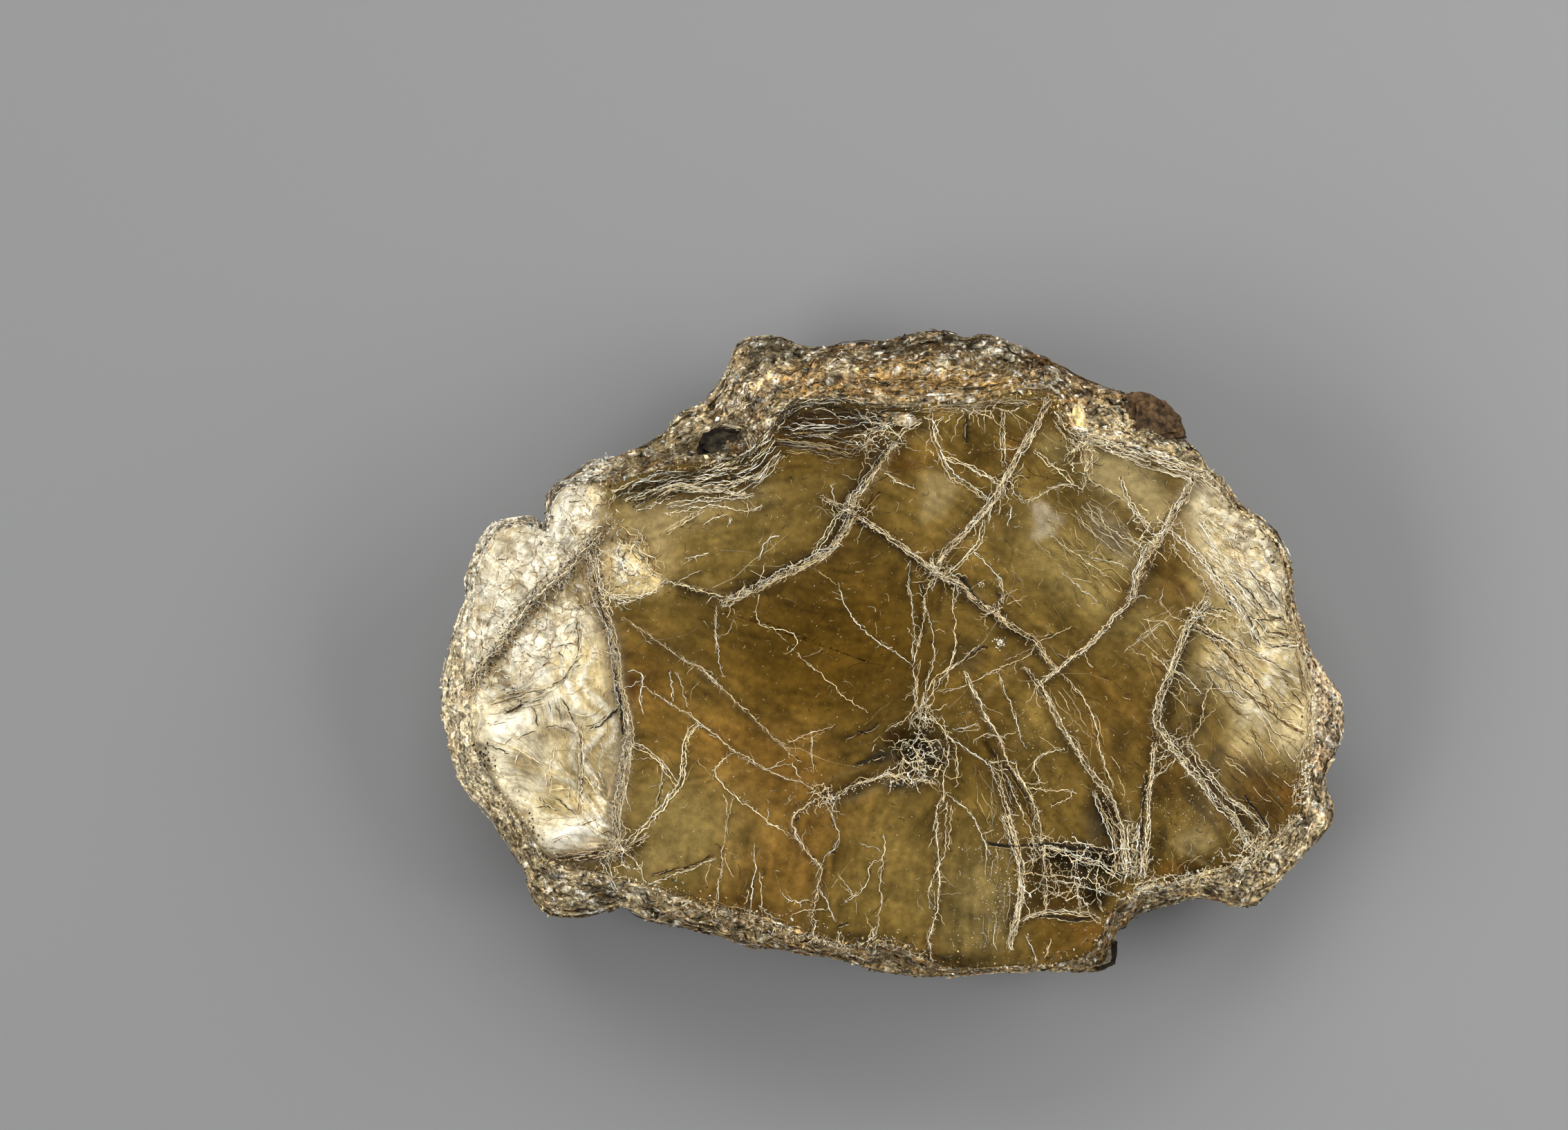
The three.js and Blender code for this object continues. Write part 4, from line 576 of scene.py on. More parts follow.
def add_piece(name, points, faces, tint, smooth=True, scalars=None):
    """A mesh object from points in millimetres (n, 3), a list of face arrays (quads or triangles), a colour
    for each point and, if given, named numbers for each point."""
    mesh = bpy.data.meshes.new(name)
    place = points + np.array([*BOOK_SHIFT, 0])
    mesh.vertices.add(len(place))
    mesh.vertices.foreach_set("co", (place * MM).astype(np.float32).ravel())
    sizes = np.concatenate([np.full(len(block), block.shape[1]) for block in faces])
    corners = np.concatenate([block.ravel() for block in faces])
    mesh.loops.add(len(corners))
    mesh.loops.foreach_set("vertex_index", corners.astype(np.int32))
    mesh.polygons.add(len(sizes))
    mesh.polygons.foreach_set("loop_start", (np.cumsum(sizes) - sizes).astype(np.int32))
    mesh.update(calc_edges=True)
    mesh.polygons.foreach_set("use_smooth", np.broadcast_to(smooth, len(sizes)))
    colour = mesh.color_attributes.new("tint", "FLOAT_COLOR", "POINT")
    colour.data.foreach_set("color", np.c_[tint, np.ones(len(tint))].astype(np.float32).ravel())
    for key, values in (scalars or {}).items():
        mesh.attributes.new(key, "FLOAT", "POINT").data.foreach_set("value", values.astype(np.float32))
    mesh.validate()
    piece = bpy.data.objects.new(name, mesh)
    bpy.context.scene.collection.objects.link(piece)
    return piece


def grid_faces(rows, columns, first=0, closed=False):
    """Quads of a grid of points numbered row by row from first; closed joins the last column to column 0."""
    across = columns if closed else columns - 1
    r, c = np.meshgrid(np.arange(rows - 1), np.arange(across), indexing="ij")
    after = (c + 1) % columns
    quads = np.stack([r * columns + c, r * columns + after, (r + 1) * columns + after,
                      (r + 1) * columns + c], -1)
    return first + quads.reshape(-1, 4)


rim = smooth_ring(RIM, OUTLINE_POINTS)
steps = np.arange(-FACE_RINGS, FACE_RINGS + 1)
i, j = np.meshgrid(steps, steps, indexing="ij")
ring = np.maximum(np.abs(i), np.abs(j))
step = np.select([ring == 0, j == ring, i == ring, j == -ring],
                 [0 * i, 2 * ring + i, 4 * ring - j, 6 * ring - i], np.where(j < 0, 8 * ring + j, j))
turn = step / np.maximum(1, 8 * ring)
place = turn * OUTLINE_POINTS
edge_low = rim[np.floor(place).astype(int) % OUTLINE_POINTS, 3:]
edge_high = rim[(np.floor(place).astype(int) + 1) % OUTLINE_POINTS, 3:]
edge = edge_low + (edge_high - edge_low) * (place % 1)[..., None]
spot = FACE_MIDDLE + (edge - FACE_MIDDLE) * (ring / FACE_RINGS)[..., None]
face_x, face_y = spot[..., 0].ravel(), spot[..., 1].ravel()
face_points = np.c_[face_x, face_y, face_height(face_x, face_y)]
face_tint, foil = face_colour(face_x, face_y)

# Painted shade darkens the valleys and a painted highlight brightens the ridges: both follow the
# height above the average of the WINDOW by WINDOW grid points around.
WINDOW, FULL_RELIEF = 5, 0.1  # grid points, and the relief that counts as full
side = 2 * FACE_RINGS + 1
relief = face_points[:, 2].reshape(side, side)
framed = np.pad(relief, WINDOW // 2, mode="edge")
average = sum(framed[a:a + side, b:b + side] for a in range(WINDOW) for b in range(WINDOW)) / WINDOW**2
relief = (relief - average).ravel() / FULL_RELIEF
valley_shade = np.clip(-relief - 0.15, 0, 1) * (0.25 + 0.35 * foil)
ridge = np.clip(relief - 0.15, 0, 1) * (0.15 + 0.5 * foil)
valley_shade_colour = blended(linear("smoke black"), linear("tan"), foil[:, None])
# worn is the colour of the painted highlight on the ridges: straw on the sheets, pearl on the foil.
worn = blended(linear("straw"), linear("pearl"), foil[:, None])
face_tint = blended(blended(face_tint, valley_shade_colour, valley_shade[:, None]), worn, ridge[:, None])
top_quads = grid_faces(side, side)[:, ::-1]
border = np.zeros(OUTLINE_POINTS, int)
on_border = ring.ravel() == FACE_RINGS
border[step.ravel()[on_border]] = np.arange(side * side)[on_border]

# The sheet is closed below by a short skirt and a sunken floor, both hidden inside the book.
SKIRT, SKIRT_TAPER = 1.2, 0.985
FLOOR_DEPTH = 9.0
skirt = face_points[border] * [SKIRT_TAPER, SKIRT_TAPER, 1] - [0, 0, SKIRT]
floor_middle = np.array([[*FACE_MIDDLE, FACE_LEVEL - FLOOR_DEPTH]])
face_points = np.vstack([face_points, skirt, floor_middle])
below = side * side + np.arange(OUTLINE_POINTS)
skirt_quads = np.c_[border, np.roll(border, -1), np.roll(below, -1), below]
floor_fan = np.c_[below, np.roll(below, -1), np.full(OUTLINE_POINTS, len(face_points) - 1)]
hidden = len(face_points) - side * side
face_tint = np.vstack([face_tint, np.tile(linear("bark"), (hidden, 1))])
across, along, folded = foil_folds(*face_points[:, :2].T)
foil = np.concatenate([foil, np.zeros(hidden)])
flaky = foil * foil_grain(*face_points[:, :2].T)
smooth = np.concatenate([(flaky < 0.5)[top_quads[:, 0]], np.ones(2 * OUTLINE_POINTS, bool)])
scalars = {"foil": foil, "flaky": flaky, "across": across, "along": along, "folded": foil * folded}
cleavage_face = add_piece("cleavage_face", face_points, [top_quads, skirt_quads, floor_fan], face_tint,
                          smooth, scalars)


def add_node(material, kind, sockets, output=0, **settings):
    """Output of a new shader node of the given kind. Each of its sockets, by name or number, is given a
    fixed value or another node's output."""
    node = material.node_tree.nodes.new("ShaderNode" + kind)
    for key, value in settings.items():
        setattr(node, key, value)
    for key, value in sockets.items():
        if isinstance(value, bpy.types.NodeSocket):
            material.node_tree.links.new(value, node.inputs[key])
        else:
            node.inputs[key].default_value = value
    return node.outputs[output]


def number_on(material, key):
    """The piece's own number of that name at each point."""
    return add_node(material, "Attribute", {}, "Fac", attribute_name=key)


def spot_on(material):
    """Place of each point in the piece's own coordinates."""
    return add_node(material, "TexCoord", {}, "Object")


def ranged(material, value, low, high, at_low, at_high):
    """A number that goes from at_low to at_high as value goes from low to high, and is held at both ends."""
    return add_node(material, "MapRange", {"Value": value, "From Min": low, "From Max": high,
                                           "To Min": at_low, "To Max": at_high})


def product(material, first, second, added=0.0):
    """first second + added."""
    return add_node(material, "Math", {0: first, 1: second, 2: added}, operation="MULTIPLY_ADD")


def brighten(material, factor):
    """Multiply the colour that the material has so far by a number."""
    base = material.node_tree.nodes["Principled BSDF"].inputs["Base Color"]
    scaled = add_node(material, "VectorMath", {0: base.links[0].from_socket, "Scale": factor},
                      operation="SCALE")
    material.node_tree.links.new(scaled, base)


def add_relief(material, height, distance, strength=1.0):
    """Lay a relief of its own under the relief that the material has so far."""
    upper = material.node_tree.nodes["Principled BSDF"]
    while upper.inputs["Normal"].links:
        upper = upper.inputs["Normal"].links[0].from_node
    lower = add_node(material, "Bump", {"Height": height, "Distance": distance, "Strength": strength},
                     "Normal")
    material.node_tree.links.new(lower, upper.inputs["Normal"])


def mica_material(name, roughness, specular, grain_size, grain_height, contrast):
    """A material whose colour is the piece's own tint, made darker and lighter by fine mottling of the
    given contrast, with a bump of the same grain."""
    material = bpy.data.materials.new(name)
    material.use_nodes = True
    shader = material.node_tree.nodes["Principled BSDF"]
    shader.inputs["Roughness"].default_value = roughness
    shader.inputs["Specular IOR Level"].default_value = specular
    tint = add_node(material, "Attribute", {}, "Color", attribute_name="tint")
    material.node_tree.links.new(tint, shader.inputs["Base Color"])
    mottle = add_node(material, "TexNoise", {"Vector": spot_on(material), "Scale": 1 / (grain_size * MM),
                                             "Detail": 6, "Roughness": 0.65})
    brighten(material, ranged(material, mottle, 0.3, 0.7, 1 - contrast, 1 + contrast))
    add_relief(material, mottle, grain_height * MM)
    return material


def add_layers(material, thickness, darkest, palest):
    """Streaks level with the sheets, as their broken edges show them: noise stretched ten times along x and
    y, its brightness multiplying the colour and its height lifting the relief."""
    long, short = 0.1 / (thickness * MM), 1 / (thickness * MM)
    flat = add_node(material, "VectorMath", {0: spot_on(material), 1: (long, long, short)},
                    operation="MULTIPLY")
    layers = add_node(material, "TexNoise", {"Vector": flat, "Scale": 1.0, "Detail": 4, "Roughness": 0.65})
    brighten(material, ranged(material, layers, 0.36, 0.62, darkest, palest))
    add_relief(material, layers, 0.35 * MM, 0.8)


def add_grains(material, cell, darkest, palest):
    """Break a material's colour into crisp grains: every cell of a random mosaic, cell millimetres across,
    has its own brightness from darkest to palest."""
    mosaic = add_node(material, "TexVoronoi", {"Vector": spot_on(material), "Scale": 1 / (cell * MM)},
                      "Color")
    single = add_node(material, "SeparateXYZ", {"Vector": mosaic}, "X")
    brighten(material, ranged(material, single, 0, 1, darkest, palest))


face_material = mica_material("smoky_mica", roughness=0.32, specular=0.09,
                              grain_size=0.8, grain_height=0.03, contrast=0.3)
face_shader = face_material.node_tree.nodes["Principled BSDF"]
face_shader.inputs["Specular Tint"].default_value = (1.0, 0.8, 0.45, 1)
pearl = ranged(face_material, number_on(face_material, "foil"), 0, 1, 0, 0.22)
face_material.node_tree.links.new(pearl, face_shader.inputs["Metallic"])

# Flat facets: inside each cell the height is (spot - cell middle) . (the cell's own random tilt). The cells
# are bent by smooth noise, and each has a tone of its own.
place = spot_on(face_material)
bend = add_node(face_material, "TexNoise", {"Vector": place, "Scale": 1 / (2.4 * MM), "Detail": 2}, "Color")
bent = add_node(face_material, "VectorMath", {0: bend, 1: 3 * [1.6 * MM], 2: place},
                operation="MULTIPLY_ADD")
above = 0.0
# cell in mm, slope of a facet at most, how much its tone varies, where it shows
for cell, tilt, tone, where in ((3.2, 0.34, 0.16, "foil"), (1.1, 0.44, 0.3, "flaky")):
    cells = add_node(face_material, "TexVoronoi", {"Vector": bent, "Scale": 1 / (cell * MM)}).node.outputs
    colour, middle = cells["Color"], cells["Position"]
    offset = add_node(face_material, "VectorMath", {0: bent, 1: middle}, operation="SUBTRACT")
    lean = add_node(face_material, "VectorMath", {0: colour, 1: (0.5, 0.5, 0.5)}, operation="SUBTRACT")
    facet = add_node(face_material, "VectorMath", {0: offset, 1: lean}, "Value", operation="DOT_PRODUCT")
    amount = number_on(face_material, where)
    above = product(face_material, facet, product(face_material, amount, 2 * tilt), above)
    own_tone = ranged(face_material, add_node(face_material, "SeparateXYZ", {"Vector": colour}, "Z"),
                      0, 1, -tone, 0.9 * tone)
    brighten(face_material, product(face_material, own_tone, amount, 1.0))

# Fine folds: noise stretched along the foil's own folds, seen in its relief, and in its colour as painted
# light and shade.
fold_place = add_node(face_material, "CombineXYZ", {
    "X": product(face_material, number_on(face_material, "across"), 3.0),
    "Y": product(face_material, number_on(face_material, "along"), 0.26)})
folds = add_node(face_material, "TexNoise", {"Vector": fold_place, "Scale": 1, "Detail": 6,
                                             "Roughness": 0.7})
pleats = add_node(face_material, "TexVoronoi", {"Vector": fold_place, "Scale": 0.55}, "Distance")
fold_height = product(face_material, product(face_material, pleats, 0.9, folds), 0.36 * MM)
fold_strength = number_on(face_material, "folded")
add_relief(face_material, product(face_material, fold_height, fold_strength, above), 1.0)
# Painted light and shade of the folds: the colour made darker and lighter along them.
brighten(face_material, add_node(face_material, "Mix", {
    "Factor": fold_strength, "A": 1.0, "B": ranged(face_material, folds, 0.3, 0.6, 0.6, 1.2)}))

# Cracks between the foil's flakes: thin brown lines where a spot is close to the border of its cell.
base = face_shader.inputs["Base Color"]
for cell, width, colour, cover in ((2.6, 0.04, "bark", 0.9), (0.8, 0.06, "rust", 0.35)):
    border_near = add_node(face_material, "TexVoronoi", {"Vector": bent, "Scale": 1 / (cell * MM)},
                           feature="DISTANCE_TO_EDGE")
    line = ranged(face_material, border_near, 0, width, cover, 0)
    broken = ranged(face_material, folds, 0.43, 0.52, 0, 1)
    drawn = product(face_material, product(face_material, line, broken), number_on(face_material, "flaky"))
    colours = {6: base.links[0].from_socket, 7: (*linear(colour), 1)}
    cracked = add_node(face_material, "Mix", {0: drawn, **colours}, 2, data_type="RGBA")
    face_material.node_tree.links.new(cracked, base)
cleavage_face.data.materials.append(face_material)
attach(cleavage_face, "root")
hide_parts("vermiculite_book")

# ------------------------------------------------------------------------------------------------------
# Weathered rim and underside: the broken edges of the sheets all round the book, stepped in ledges and
# crumbled to tan, ochre and grey-black grains. It is one skin from under the face's edge, over the widest
# outline, down and in to the flat broken sheet that the specimen lies on.
# ------------------------------------------------------------------------------------------------------
RIM_LEVELS_ABOVE = 30  # grid rows from the face's edge to the widest outline
RIM_LEVELS_BELOW = 16  # and from there to the underside
LEDGES_ABOVE, LEDGES_BELOW = 7, 5
FOOT_INSET = 5.2  # how far the underside's outline lies inside the widest one
TREAD = 0.62  # share of a ledge that is level
RIM_TUCK = 0.15  # how far the rim's upper edge lies under that of the face
LID_DEPTH = 12.0  # of the rim's hidden lid, under the face's middle
LOOP = 55  # radius of the circle along which the rim's noise is taken
EVEN = 7  # places along the outline over which the rim's plan is evened


def terraces(share, count, wander):
    """Share of the way down a stepped slope: flat treads and steep risers, count of them, by
    (floor(q) + smooth riser) / count with q = count * share + wander, held to 0 and 1 at the ends."""
    q = count * share + wander * np.sin(math.pi * share)
    tread = np.floor(q)
    riser = np.clip((q - tread - TREAD) / (1 - TREAD), 0, 1)
    return np.clip((tread + riser * riser * (3 - 2 * riser)) / count, 0, 1)


def evened(ring, reach):
    """Each spot of a ring moved to the mean of itself and its neighbours up to reach places away."""
    return np.mean([np.roll(ring, shift, axis=0) for shift in range(-reach, reach + 1)], axis=0)


around = np.arange(OUTLINE_POINTS) / OUTLINE_POINTS
loop_x, loop_y = LOOP * np.cos(2 * math.pi * around), LOOP * np.sin(2 * math.pi * around)
edge_xyz = np.c_[rim[:, 3:], face_points[border][:, 2] - RIM_TUCK]
wide_xyz = rim[:, :3]
out = wide_xyz[:, :2] - edge_xyz[:, :2]
span = np.hypot(*out.T)
radial = wide_xyz[:, :2] / np.hypot(*wide_xyz[:, :2].T)[:, None]

share = np.linspace(0, 1, RIM_LEVELS_ABOVE)[:, None]
wander = 0.9 * clouds(loop_x, loop_y, 9, 51) + 0.5 * clouds(loop_x, loop_y, 3, 52)
fall = terraces(share, LEDGES_ABOVE, wander[None, :])
ledge, half_ledge = np.floor(LEDGES_ABOVE * fall), np.floor(2 * LEDGES_ABOVE * fall)
ragged = (0.55 * clouds(loop_x + 40 * ledge, loop_y, 2.2, 53)
          + 0.4 * clouds(loop_x + 40 * half_ledge, loop_y, 0.9, 54)
          + 0.25 * clouds(5 * fall, 7 * half_ledge, 0.5, 59))
ragged = ragged * np.sin(math.pi * share) * np.minimum(1, span / 3)
plan = edge_xyz[None, :, :2] + out[None] * share[..., None]
plain = evened(edge_xyz[:, :2], EVEN)[None] + evened(out, EVEN)[None] * share[..., None]
plan = plan + (plain - plan) * np.sin(math.pi * share)[..., None] ** 0.5 + radial[None] * ragged[..., None]
height = edge_xyz[None, :, 2] + (wide_xyz[:, 2] - edge_xyz[:, 2])[None] * fall
plan_x, plan_y = np.moveaxis(plan, -1, 0)
grain = 0.4 * facets(plan_x, plan_y, 1.6, 55) + 0.2 * facets(plan_x, plan_y, 0.7, 56)
height = height + grain * np.sin(math.pi * share) ** 0.5 * np.clip(span / 5, 0.3, 1)
above = np.concatenate([plan, height[..., None]], -1)

share = np.linspace(0, 1, RIM_LEVELS_BELOW + 1)[1:, None]
wander = 0.9 * clouds(loop_x, loop_y, 11, 57) + 0.5 * clouds(loop_x, loop_y, 4, 58)
fall = terraces(share, LEDGES_BELOW, wander[None, :])
inset = FOOT_INSET * share ** 1.15
ledge, half_ledge = np.floor(LEDGES_BELOW * fall), np.floor(2 * LEDGES_BELOW * fall)
ragged = (0.6 * clouds(loop_x, loop_y + 40 * ledge, 3.0, 59)
          + 0.5 * clouds(loop_x, loop_y + 40 * half_ledge, 1.1, 70)) * np.sin(math.pi * share)
plain = (evened(wide_xyz[:, :2], EVEN) - wide_xyz[:, :2])[None] * np.minimum(1, 5 * share)[..., None]
plan = wide_xyz[None, :, :2] + plain - radial[None] * (inset + ragged)[..., None]
height = wide_xyz[None, :, 2] * (1 - fall) + 0.25 * clouds(*np.moveaxis(plan, -1, 0), 1.1, 60) * (share < 1)
height[-1] = 0
lower = np.concatenate([plan, np.maximum(height, 0)[..., None]], -1)

wall = np.concatenate([above, lower])
levels = len(wall)
wall_points = np.vstack([wall.reshape(-1, 3), [[*FACE_MIDDLE, FACE_LEVEL - LID_DEPTH]], [[0, 0, 0]]])
first_row = np.arange(OUTLINE_POINTS)
last_row = (levels - 1) * OUTLINE_POINTS + first_row
wall_quads = grid_faces(levels, OUTLINE_POINTS, closed=True)
lid_fan = np.c_[np.roll(first_row, -1), first_row, np.full(OUTLINE_POINTS, len(wall_points) - 2)]
foot_fan = np.c_[last_row, np.roll(last_row, -1), np.full(OUTLINE_POINTS, len(wall_points) - 1)]

# Stretches of the rim with a colour of their own: outline, colour, strength, softness of its edge
RIM_ZONES = [
    ([(-41, 2), (-60, 10), (-60, -18), (-42, -19), (-43, -12)], "cream", 0.75, 1.2),
    ([(-30, 24), (-60, 24), (-60, 2), (-42, 2), (-36, 14)], "pearl", 0.85, 0.8),
    ([(-38, -18), (-60, -18), (-50, -40), (-24, -40), (-26, -25), (-36, -22)], "sand", 0.6, 1.5),
    ([(-24, -27), (-24, -40), (10, -40), (10, -33), (-6, -31)], "bark", 0.5, 1.5),
    ([(-32, 17), (-24, 20), (-17, 21.6), (-13, 24.4), (-14.4, 27), (-19, 26), (-24, 23.6), (-29, 21)],
     "smoke black", 0.8, 0.6),
    ([(-24, 24.5), (-22, 34), (-16, 36), (-11, 33), (-12, 28.4), (-18, 26.4)], "wheat", 0.7, 0.8),
    ([(-13, 28), (-12, 31.4), (0, 31.6), (10, 31.2), (20, 29), (26, 26), (19, 25), (8, 28.4)],
     "ochre", 0.85, 0.6),
    ([(-17, 26.6), (-15, 29.8), (-8, 30.6), (0, 30.4), (8, 30.2), (8, 29), (-4, 29), (-11, 29)],
     "rust", 0.5, 0.6),
    ([(-19, 31.6), (-18, 40), (14, 40), (20, 31), (14, 31), (4, 32.4), (-10, 31.8)], "pitch", 0.85, 0.4),
    ([(14, 31), (16, 35), (24, 33), (34, 30), (34, 23), (29, 22.6), (24, 26.6)], "chestnut", 0.65, 0.6),
    ([(19, 25), (28, 22), (36, 18), (38, 21), (32, 24), (22, 28)], "sand", 0.7, 0.8),
    ([(36, 19), (50, 22), (60, 8), (60, -20), (44, -20), (45, -6), (43, 4), (41, 13)], "blush", 0.15, 1.0),
    ([(44, -18), (52, -18), (44, -34), (27, -34), (28, -25), (38, -23)], "wheat", 0.4, 1.0),
    ([(20, -27), (28, -27), (28, -38), (20, -38)], "bark", 0.6, 0.8),
    ([(-35.8, -27.6), (-35, -25.6), (-33, -25), (-31.2, -26), (-31.4, -27.4), (-33.6, -28.2)],
     "smoke black", 0.9, 0.25),
    ([(-20.8, 22), (-19.4, 25), (-15.6, 24.8), (-14.8, 23), (-17, 21.6)], "pitch", 0.9, 0.4),
    ([(43.6, 0.6), (45.6, 0.8), (47.4, -1.4), (46.8, -2.8), (44.6, -1.4)], "blush", 0.95, 0.2),
    ([(44.4, -3), (49.4, -4), (50.2, -8.4), (48.2, -12), (46, -12)], "blush", 0.35, 0.6),
    ([(38.4, -26), (40, -27.8), (39.4, -28.4), (38, -27.4)], "pitch", 0.9, 0.2),
]


def rim_colour(points):
    """Colour of the rim: tan ground, each zone's colour laid over it, then patches of bark, rust and bone
    where noise passes a threshold."""
    x, y, z = points.T
    layer = clouds(x * 0.25 + 3 * z, y * 0.25 - 3 * z, 2.2, 61)
    u, v = x + 0.9 * z, y - 0.9 * z
    spell = np.clip(0.5 + 1.2 * clouds(x + 2 * z, y - 2 * z, 1.6, 69), 0, 1)
    coarse = clouds(x, y, 3, 63)
    low = np.clip(1.2 - 0.16 * z, 0, 1)
    grime = np.clip((x + 44) / 8, 0.12, 1)
    covers = [(cover * inside(x + coarse, y, outline, softness), name)
              for outline, name, cover, softness in RIM_ZONES]
    covers += [
        (0.4 * grime * np.clip(1.2 * layer, 0, 1), "bark"),
        (0.55 * np.clip(1.6 * facets(u, v, 2.4, 64) - 0.5, 0, 1), "rust"),
        (0.6 * np.clip(1.6 * facets(u, v, 3.1, 65) - 0.7, 0, 1), "wheat"),
        (0.6 * grime * low * np.clip(0.5 + layer, 0, 1), "bark"),
        (0.85 * grime * spell * np.clip(-2.6 * facets(x, y, 1.6, 55) - 0.8, 0, 1), "umber"),
        (0.7 * spell * np.clip(2.6 * facets(x, y, 1.6, 55) - 1.0, 0, 1), "cream"),
        (0.85 * grime * np.clip(3 * facets(0.8 * u, 1.4 * v, 0.7, 67) - 0.9, 0, 1), "soot"),
        (0.8 * np.clip(3 * facets(0.8 * u, 1.4 * v, 0.6, 68) - 1.2, 0, 1), "pearl"),
    ]
    return painted("tan", covers)


weathered_rim = add_piece("weathered_rim", wall_points, [wall_quads, lid_fan, foot_fan],
                          rim_colour(wall_points))
rim_material = mica_material("crumbly_rim", roughness=0.62, specular=0.2,
                             grain_size=0.34, grain_height=0.13, contrast=0.8)
rim_material.node_tree.nodes["Principled BSDF"].inputs["Specular Tint"].default_value = (1.0, 0.85, 0.6, 1)
add_grains(rim_material, cell=0.42, darkest=0.35, palest=1.6)
add_layers(rim_material, thickness=0.55, darkest=0.5, palest=1.35)
weathered_rim.data.materials.append(rim_material)
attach(weathered_rim, "root")
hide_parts("vermiculite_book")
